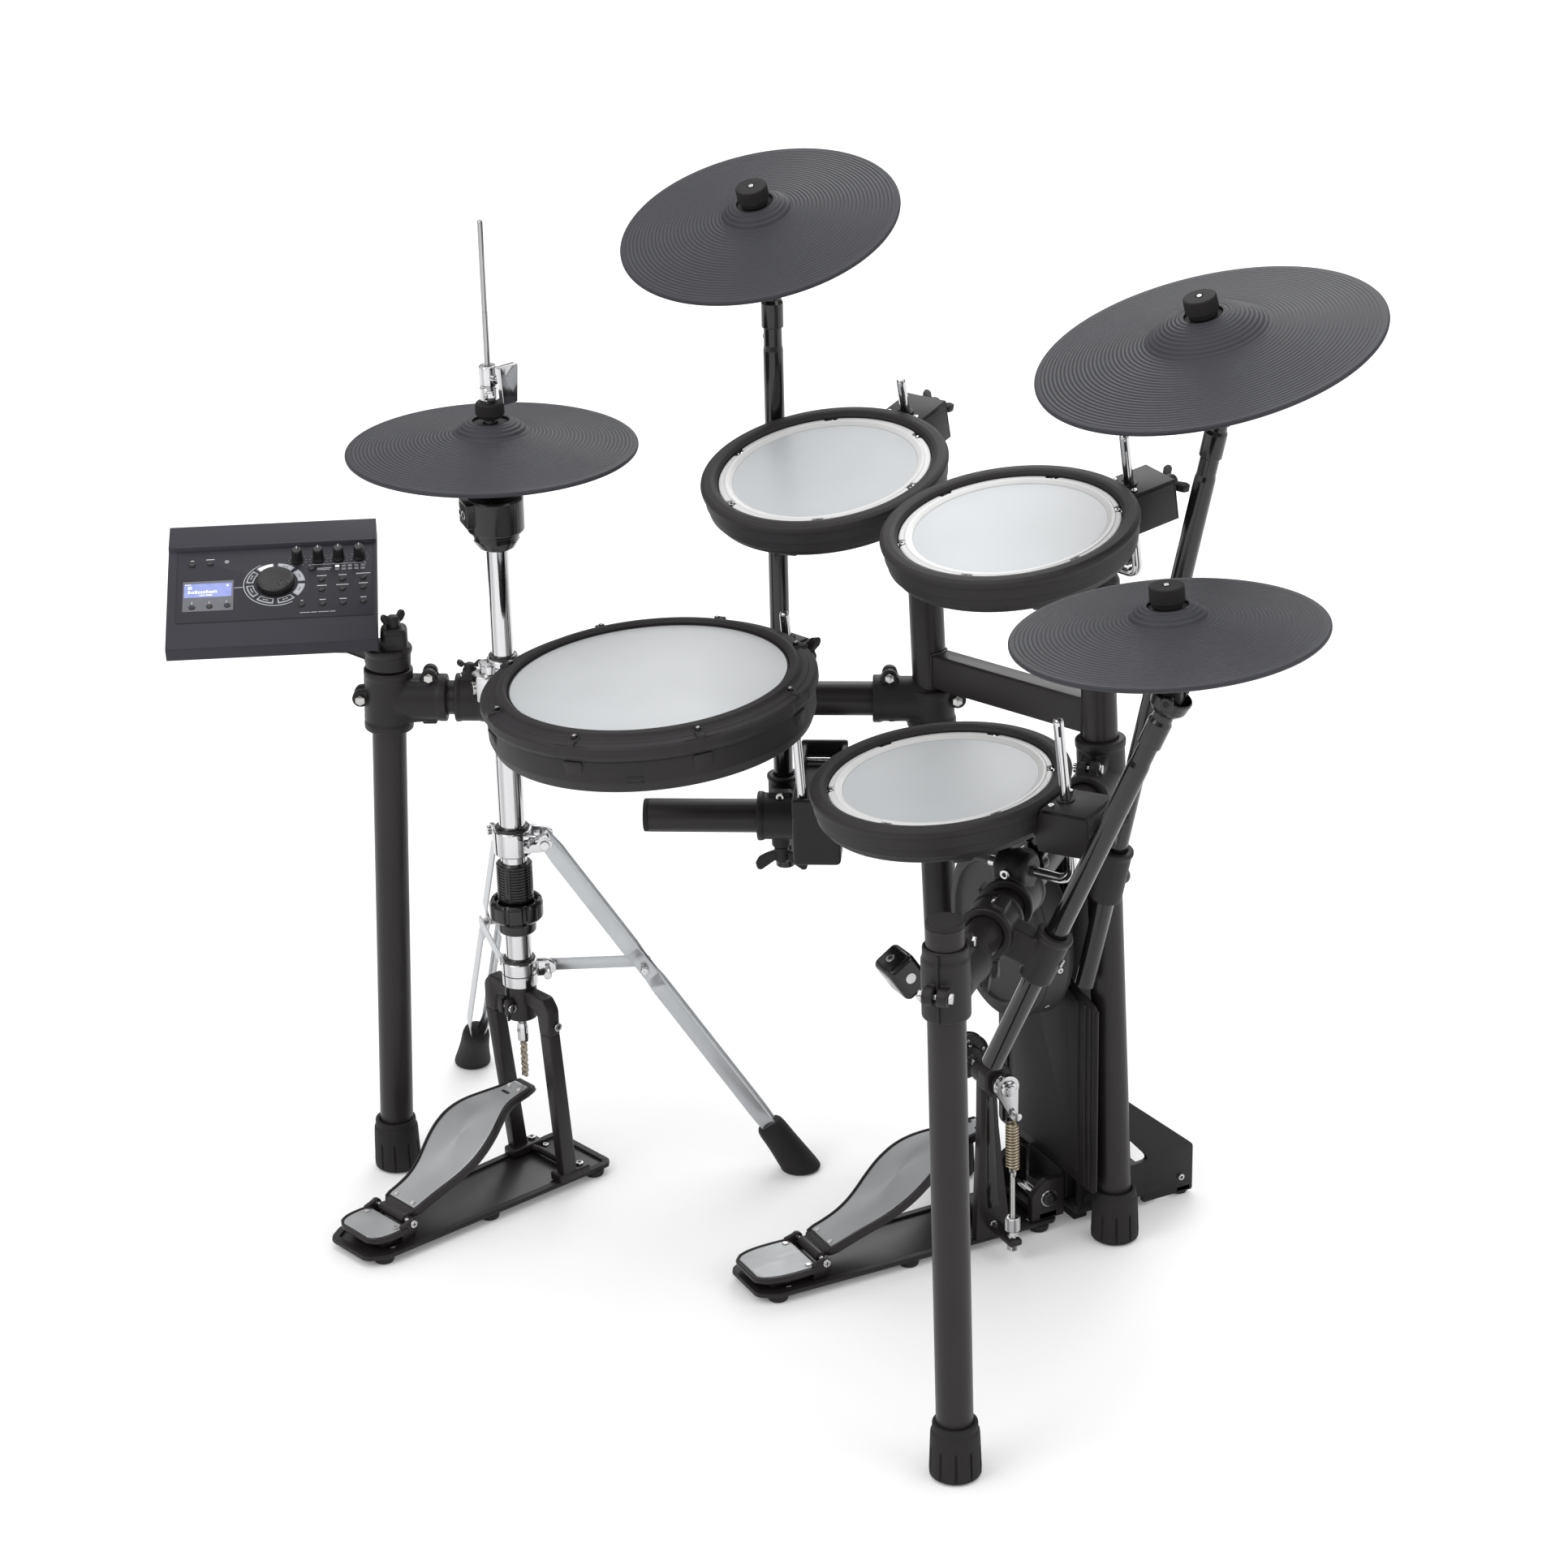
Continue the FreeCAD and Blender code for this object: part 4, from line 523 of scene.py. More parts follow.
def grooved(name, c, pitch, inner, outer, at=None):
    """Moulded rubber with fine turned rings about the piece's own z axis."""
    m, nt, b = _mat(name)
    c = vec(c)
    big = _noise(nt, 9.0, 3.0)
    nt.links.new(_ramp(nt, big.outputs[0], tuple(c * 0.93), tuple(c * 1.07)), b.inputs["Base Color"])
    tc = nt.nodes.new("ShaderNodeTexCoord")
    w = nt.nodes.new("ShaderNodeTexWave")
    w.wave_type, w.rings_direction, w.wave_profile = "RINGS", "Z", "SIN"
    w.inputs["Scale"].default_value = 2 * pi / (20.0 * pitch)
    w.inputs["Distortion"].default_value = 0.0
    src = tc.outputs["Object"]
    if at is not None:
        # the piece is modelled in the part's frame, so bring the rings onto the disc's own axis
        mp = nt.nodes.new("ShaderNodeMapping")
        mp.vector_type = "TEXTURE"
        mp.inputs["Location"].default_value = tuple((at[:3, 3] - np.array([SX, SY, 0.0])) / 1000.0)
        mp.inputs["Rotation"].default_value = tuple(Matrix(at[:3, :3].tolist()).to_euler())
        nt.links.new(src, mp.inputs["Vector"])
        src = mp.outputs[0]
    nt.links.new(src, w.inputs["Vector"])
    # rings fade out at the edge bead
    sep = nt.nodes.new("ShaderNodeSeparateXYZ")
    nt.links.new(src, sep.inputs[0])
    cmb = nt.nodes.new("ShaderNodeCombineXYZ")
    nt.links.new(sep.outputs[0], cmb.inputs[0])
    nt.links.new(sep.outputs[1], cmb.inputs[1])
    ln = nt.nodes.new("ShaderNodeVectorMath")
    ln.operation = "LENGTH"
    nt.links.new(cmb.outputs[0], ln.inputs[0])
    fade = _range(nt, ln.outputs["Value"], 1.0, 0.0, outer - 0.004, outer)
    fade2 = _range(nt, ln.outputs["Value"], 0.0, 1.0, inner, inner + 0.004)
    f2 = nt.nodes.new("ShaderNodeMath")
    f2.operation = "MULTIPLY"
    nt.links.new(fade, f2.inputs[0])
    nt.links.new(fade2, f2.inputs[1])
    hm = nt.nodes.new("ShaderNodeMath")
    hm.operation = "MULTIPLY"
    nt.links.new(w.outputs["Fac"], hm.inputs[0])
    nt.links.new(f2.outputs[0], hm.inputs[1])
    fine = _noise(nt, 1700.0, 2.0)
    add = nt.nodes.new("ShaderNodeMath")
    add.operation = "MULTIPLY_ADD"
    nt.links.new(fine.outputs[0], add.inputs[0])
    add.inputs[1].default_value = 0.35
    nt.links.new(hm.outputs[0], add.inputs[2])
    nt.links.new(_range(nt, fine.outputs[0], 0.46, 0.58), b.inputs["Roughness"])
    b.inputs["Specular IOR Level"].default_value = 0.25
    _bump(nt, b, add.outputs[0], 0.7, 0.0003)
    return m


def woven(name, c, r_m):
    """Tensioned fine mesh with painted shade, slightly darker towards the rim."""
    m, nt, b = _mat(name)
    c = vec(c)
    tc = nt.nodes.new("ShaderNodeTexCoord")
    ws = []
    for d in ("X", "Y"):
        w = nt.nodes.new("ShaderNodeTexWave")
        w.wave_type, w.bands_direction, w.wave_profile = "BANDS", d, "SIN"
        w.inputs["Scale"].default_value = 2 * pi / (20.0 * 0.0011)
        nt.links.new(tc.outputs["Object"], w.inputs["Vector"])
        ws.append(w)
    mul = nt.nodes.new("ShaderNodeMath")
    mul.operation = "MULTIPLY"
    nt.links.new(ws[0].outputs["Fac"], mul.inputs[0])
    nt.links.new(ws[1].outputs["Fac"], mul.inputs[1])
    big = _noise(nt, 5.0, 2.0)
    sep = nt.nodes.new("ShaderNodeSeparateXYZ")
    nt.links.new(tc.outputs["Object"], sep.inputs[0])
    cmb = nt.nodes.new("ShaderNodeCombineXYZ")
    nt.links.new(sep.outputs[0], cmb.inputs[0])
    nt.links.new(sep.outputs[1], cmb.inputs[1])
    ln = nt.nodes.new("ShaderNodeVectorMath")
    ln.operation = "LENGTH"
    nt.links.new(cmb.outputs[0], ln.inputs[0])
    # painted shade: the mesh colour darkens towards the rim
    edge = _range(nt, ln.outputs["Value"], 0.0, 1.0, r_m * 0.72, r_m)
    mix = nt.nodes.new("ShaderNodeMath")
    mix.operation = "MULTIPLY_ADD"
    nt.links.new(edge, mix.inputs[0])
    mix.inputs[1].default_value = 0.3
    nt.links.new(_range(nt, big.outputs[0], 0.0, 0.5), mix.inputs[2])
    pt = nt.nodes.new("ShaderNodeMath")
    pt.operation = "MULTIPLY_ADD"
    nt.links.new(mul.outputs[0], pt.inputs[0])
    pt.inputs[1].default_value = -0.25
    nt.links.new(mix.outputs[0], pt.inputs[2])
    nt.links.new(_ramp(nt, pt.outputs[0], tuple(c), tuple(c * 0.86), 0.0, 1.0), b.inputs["Base Color"])
    nt.links.new(_range(nt, mul.outputs[0], 0.34, 0.5, 0.0, 1.0), b.inputs["Roughness"])
    b.inputs["Metallic"].default_value = 0.08
    b.inputs["Specular IOR Level"].default_value = 0.5
    b.inputs["Sheen Weight"].default_value = 0.15
    _bump(nt, b, mul.outputs[0], 0.12, 0.0002)
    return m


def brushed(name, c, rough=(0.3, 0.46), direction=(1.0, 0.03, 1.0), scale=1100.0, metal=1.0, var=0.1):
    m, nt, b = _mat(name)
    c = vec(c)
    n = _noise(nt, scale, 4.0, direction)
    big = _noise(nt, 11.0, 3.0)
    mx = nt.nodes.new("ShaderNodeMath")
    mx.operation = "MULTIPLY_ADD"
    nt.links.new(n.outputs[0], mx.inputs[0])
    mx.inputs[1].default_value = 0.5
    nt.links.new(_range(nt, big.outputs[0], 0.1, 0.4), mx.inputs[2])
    nt.links.new(_ramp(nt, mx.outputs[0], tuple(c * (1 - var)), tuple(np.clip(c * (1 + var), 0, 1))), b.inputs["Base Color"])
    nt.links.new(_range(nt, n.outputs[0], rough[0], rough[1]), b.inputs["Roughness"])
    b.inputs["Metallic"].default_value = metal
    b.inputs["Anisotropic"].default_value = 0.4
    _bump(nt, b, n.outputs[0], 0.08, 0.0001, 0.0005)
    return m


def lit(name, a, bcol, strength, scale=60.0):
    """Backlit panel with a soft unevenness."""
    m, nt, b = _mat(name)
    n = _noise(nt, scale, 2.0)
    c = _ramp(nt, n.outputs[0], a, bcol, 0.25, 0.75)
    nt.links.new(c, b.inputs["Base Color"])
    nt.links.new(c, b.inputs["Emission Color"])
    b.inputs["Emission Strength"].default_value = strength
    b.inputs["Roughness"].default_value = 0.22
    _bump(nt, b, n.outputs[0], 0.02, 0.0001)
    return m


cym_rubber = grooved("cymbal_rubber_12", (0.0325, 0.033, 0.0395), 0.0042, 0.020, 0.149)
hat_rubber = grooved("cymbal_rubber_hat", (0.0325, 0.033, 0.0395), 0.0042, 0.020, 0.154)
ride_rubber = grooved("cymbal_rubber_14", (0.0325, 0.033, 0.0395), 0.0042, 0.020, 0.1745)
kick_rubber = surface("kick_pad_rubber", (0.016, 0.0158, 0.0172), 0.1, (0.5, 0.64), grain=1500, bump=0.25, dist=0.0002)
mesh_tom = woven("woven_head_tom", (0.50, 0.52, 0.535), 0.104)
mesh_snare = woven("woven_head_snare", (0.55, 0.568, 0.58), 0.1435)
hoop_white = surface("hoop_white_plastic", (0.66, 0.66, 0.655), 0.03, (0.28, 0.4), grain=900, bump=0.06, dist=0.0001)
alu = brushed("brushed_footboard", (0.42, 0.428, 0.436), (0.46, 0.62))
case_mat = surface("module_case_plastic", (0.0262, 0.0258, 0.0345), 0.08, (0.5, 0.6), grain=2600, bump=0.3, dist=0.00012, spec=0.25)
panel_mat = surface("module_panel_film", (0.0212, 0.0208, 0.0285), 0.06, (0.46, 0.56), grain=2600, bump=0.2, dist=0.0001, spec=0.25)
key_mat = surface("module_key_rubber", (0.012, 0.012, 0.013), 0.12, (0.45, 0.6), grain=2000, bump=0.2, dist=0.0001)
knob_mat = surface("module_knob_plastic", (0.010, 0.010, 0.011), 0.12, (0.34, 0.48), grain=2000, bump=0.2, dist=0.0001)
mark_mat = surface("pale_print", (0.62, 0.63, 0.66), 0.05, (0.4, 0.5), grain=1500, bump=0.05, dist=0.00005)
lcd_mat = lit("lcd_backlight", (0.20, 0.25, 0.56), (0.27, 0.32, 0.66), 0.12)
lcd_dark = lit("lcd_segments", (0.92, 0.94, 1.0), (0.85, 0.9, 1.0), 0.45)
led_mat = lit("lit_key", (0.85, 0.86, 0.84), (0.95, 0.95, 0.92), 0.35)
brass = surface("bronze_wire", (0.40, 0.345, 0.25), 0.1, (0.25, 0.38), metal=1.0, grain=1500, bump=0.1, dist=0.0001)

slot_mat = {"satin_black": satin, "gloss_black": gloss, "frame_black": frame_paint, "foot_rubber": rubber, "joint_plastic": cast_plastic, "clamp_plastic": cast_plastic, "clamp_gloss": gloss_plastic,
            "bolt_steel": steel, "chrome_rod": chrome, "zinc_steel": zinc, "board_metal": alu, "shell_plastic": shell_plastic, "rim_rubber": soft_rubber, "mesh_head": mesh_tom, "cymbal_rubber": cym_rubber,
            "pad_rubber": kick_rubber, "case_plastic": case_mat, "board_green": surface("circuit_laminate", (0.02, 0.11, 0.05), 0.1, (0.3, 0.45)), "control_plastic": key_mat}
for sp in frame["record"]["subparts"]:
    o = frame["nodes"][sp["node"]]
    o.data.materials.clear()
    o.data.materials.append(slot_mat[sp["material_slot"]])

# ------------------------------------------------------------------ layout points
def tilt_frame(c, tilt, az, xaz):
    t, a = rad(tilt), rad(az)
    n = vec(sin(t) * cos(a), sin(t) * sin(a), cos(t))
    return frm(c, n, vec(cos(rad(xaz)), sin(rad(xaz)), 0))


tom_1 = tilt_frame((-71.8, 92.8, 883.6), 11.9, -65.0, 114.5)
tom_2 = tilt_frame((192.5, 164.5, 886.9), 9.3, -73.0, 93.0)
floor_t = tilt_frame((270, 38, 665), 5.5, -104.0, 28.0)
snare = tilt_frame((0, -155, 722), 4.0, -110.0, 104.0)
stem_drop = 62.0
ride_end, boom_end = vec(151, 284, 319), vec(388.6, 28.6, 393.5)


def cym_frame(c, tilt, az, end):
    t, a = rad(tilt), rad(az)
    n = vec(sin(t) * cos(a), sin(t) * sin(a), cos(t))
    piv = vec(c) - n * stem_drop
    d = vec(0, 0, 1) if end is None else unit(piv - end)
    return frm(c, n, np.cross(n, d))


crash_1 = cym_frame((-212.3, 95.5, 1110.8), 18.4, -61.0, None)
ride = cym_frame((303, 330, 1070), 14.6, -90.0, ride_end)
crash_2 = cym_frame((524, 144, 878), 4.3, -136.0, boom_end)
piv_1, piv_2, piv_3 = (mv(m, (0, 0, -stem_drop)) for m in (crash_1, ride, crash_2))


# ------------------------------------------------------------------ wing knobs
def wing_knob(p, M, mat, w=22.0, h=24.0, t=7.0, hub=8.5, k=2, foot=6.0):
    """Moulded wing nut: hub along z from the frame's origin, k lobes across x."""
    p.lathe(fillet([(0, 0), (hub, 0), (hub * 0.92, h * 0.55), (hub * 0.7, h * 0.72), (0, h * 0.75)], 1.6, 3), mat, M, 32)
    for i in range(k):
        a = 360.0 * i / k
        pts = [(0, foot), (hub * 0.9, foot), (w * 0.62, h * 0.34), (w * 0.93, h * 0.62), (w * 1.0, h * 0.92), (w * 0.86, h * 1.06), (w * 0.62, h * 0.98), (hub * 0.8, h * 0.62), (0, h * 0.6)]
        pts = fillet(pts, [0, 1, 6, 4, 3, 3, 5, 4, 0], 4)
        p.prism(pts, -t / 2, t / 2, mat, M @ rot((0, 0, 1), a) @ rot((1, 0, 0), 90), 1.6, 3)


# ------------------------------------------------------------------ pads
def hoop_mod(angles, half, r_in, r_from, z_top):
    A = np.array([rad(a) for a in angles])

    def f(t, r, z):
        if r < r_from:
            return r
        d = np.min(np.abs((t - A + pi) % (2 * pi) - pi))
        k = max(0.0, min(1.0, (rad(half) - d) / rad(half * 0.35)))
        k = k * k * (3 - 2 * k)
        return r - (r - r_in) * k

    return f


def tom(pre, M):
    n = 133.0
    screws = [33 + 60 * i for i in range(6)]
    h = Piece(pre + "_mesh_head", pre, "mesh_head", pre + "_head", M)
    h.lathe([(0, -7.5), (30, -7.45), (60, -7.35), (85, -7.2), (98, -7.1), (102.5, -7.05)], mesh_tom, None, 128)
    prof = [(98.4, -7.7), (98.8, -6.9), (99.8, -6.2), (101.4, -5.4), (103.2, -4.6), (105.0, -4.1), (106.8, -4.3), (107.6, -5.1), (108.6, -5.3), (111.8, -5.25), (113.0, -5.6), (113.6, -6.4), (113.6, -15.0), (112.0, -19.0)]
    h.lathe(prof, hoop_white, None, 480, hoop_mod(screws, 4.1, 106.8, 107.9, 0))
    for a in screws:
        q = rot((0, 0, 1), a) @ tr(110.2, 0, -8.2)
        h.lathe(fillet([(0, 0), (3.5, 0), (3.5, 2.6), (0, 3.0)], 0.8, 3), chrome, q, 28)
        # painted shade: a near-black hexagon for the screw's socket
        h.prism([(1.5 * cos(t), 1.5 * sin(t)) for t in np.arange(6) * pi / 3], 2.8, 3.06, dark, q, 0)
        h.lathe([(3.6, -0.4), (5.0, -0.4), (5.3, 0.2), (5.0, 0.7), (3.6, 0.7), (3.6, -0.4)], chrome, q, 28)
    # painted shade: a near-black ring under the hoop, where the rim's inside lies in shade
    h.lathe([(109.5, -18.0), (114.4, -18.0), (114.4, -12.5), (109.0, -12.5)], dark, None, 96)
    h.done()
    r = Piece(pre + "_rubber_rim", pre, "rim_rubber", pre + "_rim", M)
    pr = fillet([(116.5, -18), (114.5, -14), (114.5, -4.2), (117.2, -0.9), (121.6, 0.0), (128.6, -0.3), (132.2, -2.4), (n, -5.2), (n - 0.5, -8.6), (n - 2.6, -9.8), (n - 2.8, -21.4), (n - 3.6, -22.4), (n - 6, -22.4)], [0, 1, 3, 3, 4, 3, 2, 1.6, 1.0, 1.2, 0.8, 0.6, 0], 5)
    r.lathe(pr, soft_rubber, None, 192)
    r.done(60)
    s = Piece(pre + "_housing", pre, "shell_plastic", pre + "_shell", M)
    s.lathe(fillet([(118, -20.3), (127, -20.3), (128.4, -22.6), (128.0, -31.0), (125.2, -33.2), (122.0, -39.6), (91, -48.6), (88, -49), (0, -49)], [0, 1, 0.3, 1.0, 1.2, 5, 4, 2, 0], 5), shell_plastic, None, 160)
    for a in (12, 72, 132, 192, 252, 312):
        q = rot((0, 0, 1), a)
        s.hexa([(88, -12.5, -52.2), (107, -9.5, -50.0), (107, 9.5, -50.0), (88, 12.5, -52.2), (84, -15, -42), (117.5, -12, -40.5), (117.5, 12, -40.5), (84, 15, -42)], shell_plastic, q, 2.6, 3)
        s.bolt(mv(q, (97, 0, -51.0)), (0, 0, -1), 3.6, 0.8, steel, dark, "cross", 20)
    # mount box for the bent rod
    wall = 3.2
    x0, x1, y, zt_, zb_ = 122.0, 187.0, 26.0, -12.0, -57.0
    if pre == "floor_tom":
        zt_, zb_ = -5.0, -53.0
    s.box(x0 + 11.6, x1, -y, y, zt_ - 6.0, zt_, cast_plastic, None, 1.2, 3)
    for sg in (-1, 1):
        s.prism([(x0 + 11.6, zt_ - 0.4), (x1, zt_ - 0.4), (x1 - 0.5, zb_), (x0 + 4, zb_), (x0, -30)], -wall / 2, wall / 2, cast_plastic, tr(0, sg * (y - wall / 2), 0) @ rot((1, 0, 0), 90), 0.9, 2)
    s.box(x1 - wall, x1, -y, y, zb_, zt_ - 0.3, cast_plastic, None, 0.9, 2)
    s.box(138, 160, -22.6, 22.6, zb_ + 1, zt_ - 4, cast_plastic, None, 1.2, 2)
    for sg in (-1, 1):
        s.bolt((141.0, sg * 18.0, zt_ - 0.1), (0, 0, 1), 3.3, 2.4, chrome, dark, "cross", 20)
        s.box(144.5, 149.5, sg * 8.2 - 1.2, sg * 8.2 + 1.2, zt_ - 0.5, zt_ + 2.3, cast_plastic, None, 0.6, 2)
    s.lathe(fillet([(5.6, zt_ - 0.3), (9.0, zt_ - 0.3), (9.0, zt_ + 1.3), (5.6, zt_ + 1.3)], 0.5, 2), cast_plastic, tr(147, 0, 0), 32)
    s.rod((x1 - 2, 0, -27), (x1 + 7.5, 0, -27), 4.2, steel, 24)
    s.done()
    k = Piece(pre + "_mount_knob", pre, "clamp_plastic", (), M)
    wing_knob(k, frm((x1 + 3.0, 0, -27), (1, 0, 0), (0, 1, 0.35)), cast_plastic, 20.0, 19.0, 8.0, 8.0)
    k.done()


tom("tom_1", tom_1)
tom("tom_2", tom_2)
tom("floor_tom", floor_t)


def snare_pad():
    n, M = 176.0, snare
    lugs = [23 + 45 * i for i in range(8)]
    h = Piece("snare_mesh_head", "snare", "mesh_head", "snare_head", M)
    h.lathe([(0, -6.6), (50, -6.5), (100, -6.3), (130, -6.1), (142, -5.9), (145.4, -6.2)], mesh_snare, None, 160)
    h.lathe(fillet([(144.2, -8.5), (144.2, -5.6), (146.4, -5.6), (146.6, -12)], 0.7, 3), soft_rubber, None, 160)
    h.done()
    r = Piece("snare_rubber_rim", "snare", "rim_rubber", "snare_rim", M)
    pr = fillet([(149, -18), (147.0, -14), (147.0, -3.6), (149.2, -0.7), (153, 0), (156.8, -1.4), (158.4, -4.6), (160.0, -6.4), (166.4, -6.9), (167.2, -8.1), (173.5, -8.9), (n - 0.2, -12.0), (n, -20), (n - 2.4, -25.2), (n - 12, -25.4)], [0, 1, 2, 2, 3, 2, 1.2, 1.2, 0.8, 0.8, 2, 2, 2, 1.5, 0], 5)
    A = np.array([rad(a) for a in lugs])

    def scal(t, rr, z):
        # shallow pockets in the skirt beside each tension bolt
        d = np.min(np.abs((t - A + pi) % (2 * pi) - pi))
        if rr > 172.0 and z < -9.5:
            k = max(0.0, min(1.0, (d - rad(5.2)) / rad(1.0)))
            return rr - 0.9 * (1 - k)
        return rr

    r.lathe(pr, soft_rubber, None, 384, scal)
    for a in lugs:
        q = rot((0, 0, 1), a) @ tr(163.2, 0, -7.2)
        r.lathe(fillet([(0, 0), (5.6, 0), (5.4, 1.6), (3.6, 2.0), (0, 2.0)], 0.5, 2), soft_rubber, q, 28)
        r.prism([(3.5 * cos(t), 3.5 * sin(t)) for t in np.arange(6) * pi / 3], 1.8, 5.4, gloss_plastic, q, 0.5, 2)
        r.lathe(fillet([(0, 5.0), (2.0, 5.0), (1.8, 6.1), (0, 6.2)], 0.3, 2), steel, q, 20)
        r.box(2.0, 11.4, -4.6, 4.6, -5.0, 1.2, soft_rubber, q, 1.2, 3)
    r.done(50)
    s = Piece("snare_housing", "snare", "shell_plastic", "snare_shell", M)
    s.lathe(fillet([(150, -25.7), (169.8, -25.7), (170.9, -27), (171, -50), (166.2, -61.6), (130.5, -71.5), (0, -72)], [0, 0.6, 1.5, 6, 4, 4, 0], 5), shell_plastic, None, 192)
    # painted shadow: a near-black ring in the gap between rim and housing
    s.lathe([(150, -25.9), (172.6, -25.9), (172.6, -24.6), (150, -24.6)], dark, None, 160)
    for a in lugs:
        q = rot((0, 0, 1), a)
        s.hexa([(150, -9, -64.5), (166.5, -8.2, -61.2), (166.5, 8.2, -61.2), (150, 9, -64.5), (150, -11, -27), (174.3, -10.6, -27.2), (174.3, 10.6, -27.2), (150, 11, -27)], shell_plastic, q, 2.4, 3)
    # a slot in the housing wall, with painted shade inside it as a near-black sheet
    q = rot((0, 0, 1), 224.5)
    s.box(168.6, 171.25, -7.0, 7.0, -57.0 + 8, -52.4 + 8, dark, q, 0.3, 1)
    s.box(170.4, 171.7, -8.6, 8.6, -58.4 + 8, -57.0 + 8, shell_plastic, q, 0.3, 1)
    s.box(170.4, 171.7, -8.6, 8.6, -52.4 + 8, -51.0 + 8, shell_plastic, q, 0.3, 1)
    s.box(156, 209.6, -23.6, 23.6, -59.6, -27.2, cast_plastic, None, 3.0, 3)
    s.box(176, 205, -18, 18, -28, -25.2, cast_plastic, None, 1.2, 2)
    s.lathe(fillet([(5.7, -25.6), (10.0, -25.6), (9.0, -22.0), (5.7, -22.0)], 0.6, 2), cast_plastic, tr(190, 0, 0), 32)
    s.done()
    k = Piece("snare_mount_knob", "snare", "clamp_plastic", (), M)
    k.rod((190, -23, -40), (190, -33, -40), 5.0, steel, 24)
    wing_knob(k, frm((190, -26, -38), (0, -1, 0.0), (0.25, 0, 1)), cast_plastic, 23.0, 19.0, 9.0, 8.5)
    k.done()


snare_pad()


# ------------------------------------------------------------------ cymbals
def cymbal_profile(r, bell_r, bell_h, bow, ripple):
    top = []
    for i in range(181):
        q = i / 180.0
        rr = r - (r - bell_r) * q
        top.append([rr, 2.5 + bow * q ** 1.15])
    for i in range(1, 61):
        q = i / 60.0
        top.append([bell_r - (bell_r - 20.6) * q, 2.5 + bow + bell_h * math.sin(q * pi / 2) ** 0.9])
    z = np.array([p[1] for p in top])
    R = np.array([p[0] for p in top])
    # ease the turn into the bell, then add the turned rings
    for _ in range(26):
        z[1:-1] = 0.25 * z[:-2] + 0.5 * z[1:-1] + 0.25 * z[2:]
    fade = np.clip((r - 3.0 - R) / 6.0, 0, 1) * np.clip((R - 21.5) / 2.0, 0, 1)
    amp = ripple * (0.6 + 0.4 * np.clip((bell_r + 26.0 - R) / 30.0, 0, 1))
    z = z + fade * amp * (-np.cos(2 * pi * R / 4.2) * 0.5 - 0.5)
    return R, z


def cymbal(name, body, M, r, bell_r, bell_h, bow, mat, node, baked=False):
    R, z = cymbal_profile(r, bell_r, bell_h, bow, 0.5)
    zt = 2.5 + bow + bell_h
    th = 6.0
    c = Piece(name, body, "cymbal_rubber", node, None if baked else M)
    T = M if baked else None
    top = [(a, b) for a, b in zip(R, z)]
    edge = [(r - 2.4, -2.45), (r - 1.2, -2.2), (r - 0.35, -1.4), (r, -0.3), (r - 0.05, 1.2), (r - 0.7, 2.1)]
    under = [(a, b - th) for a, b in reversed(top[4::6]) if a < r - 3]
    prof = [(8.2, zt - th)] + [(17.0, zt - th)] + under + edge + top[2:] + [(20.2, zt - 0.1), (19.7, zt - 0.7), (19.6, zt - 3.2), (8.2, zt - 3.2), (8.2, zt - th)]
    c.lathe(prof, mat, T, 224)
    # painted shade: a near-black ring in the bell's bore
    c.lathe([(8.3, zt - 3.05), (19.55, zt - 3.05), (19.55, zt - 1.2)], dark, T, 96)
    # inside face: a row of shallow ribs and the trigger box
    c.lathe(fillet([(30, zt - th - bell_h - 2.5), (44, zt - th - bell_h - 4.5), (46, zt - th - bell_h - 2.0), (46, zt - th - bell_h + 1)], 1, 3), shell_plastic, T, 64)
    return c, zt


UP_ = vec(0, 0, 1)
for pre, M, r, br, bh, bow, mat in (("left_crash", crash_1, 152.4, 38, 11, 16, cym_rubber), ("ride", ride, 178.0, 62, 19, 17, ride_rubber), ("right_crash", crash_2, 152.4, 38, 11, 16, cym_rubber)):
    # the disc is round, so its own x axis is free: level, and square to the tilt or to the part's x
    level = np.cross(UP_, M[:3, 2]) if pre == "left_crash" else vec(1, 0, 0)
    Mc = frm(M[:3, 3], M[:3, 2], level)
    if pre == "left_crash":
        mat = grooved("cymbal_rubber_left", (0.0325, 0.033, 0.0395), 0.0042, 0.020, 0.149, Mc)
    c, zt = cymbal(pre + "_rubber_cymbal", pre + "_cymbal", Mc, r, br, bh, bow, mat, pre + "_cymbal", pre == "left_crash")
    c.done(50)
    t = Piece(pre + "_tilter_stem", pre + "_tilter", "clamp_gloss", pre + "_tilter", M)
    seat = zt - 6 - 2.6
    t.rod((0, 0, -stem_drop + 10), (0, 0, zt + 18.0), 4.0, steel, 24)
    t.lathe(fillet([(0, seat - 12), (13, seat - 12), (14, seat - 9), (11.2, seat - 0.2), (7, seat), (0, seat)], 1, 3), soft_rubber, None, 48)
    t.lathe(fillet([(0, -stem_drop + 19.6), (13.4, -stem_drop + 19.6), (16.2, -stem_drop + 24), (14, seat - 14), (12, seat - 12), (0, seat - 12)], 1.5, 3), gloss_plastic, None, 48)
    t.box(-5.9, 5.9, -9.4, 9.4, -stem_drop - 9.2, -stem_drop + 21, cast_plastic, None, 3.0, 3)
    rib = lambda a, rr, z: rr * (1 - (0.016 if 0 < (a * 72 / (2 * pi)) % 1.0 < 0.4 else 0.0)) if rr > 12 else rr
    t.lathe(fillet([(4.0, zt - 1.6), (14.6, zt - 1.6), (14.8, zt + 3.4), (17.2, zt + 4.0), (16.9, zt + 18.4), (16.0, zt + 19.4), (4.2, zt + 19.4), (4.0, zt + 18.6), (3.2, zt + 18.6)], [0, 0.6, 0.4, 0.8, 0.8, 0.8, 0.3, 0.2, 0], 4), rubber, None, 288, rib)
    t.lathe(fillet([(0, zt + 18.4), (3.1, zt + 18.4), (2.9, zt + 19.9), (2.2, zt + 20.4), (0, zt + 20.5)], 0.3, 3), chrome, None, 24)
    t.done(45)


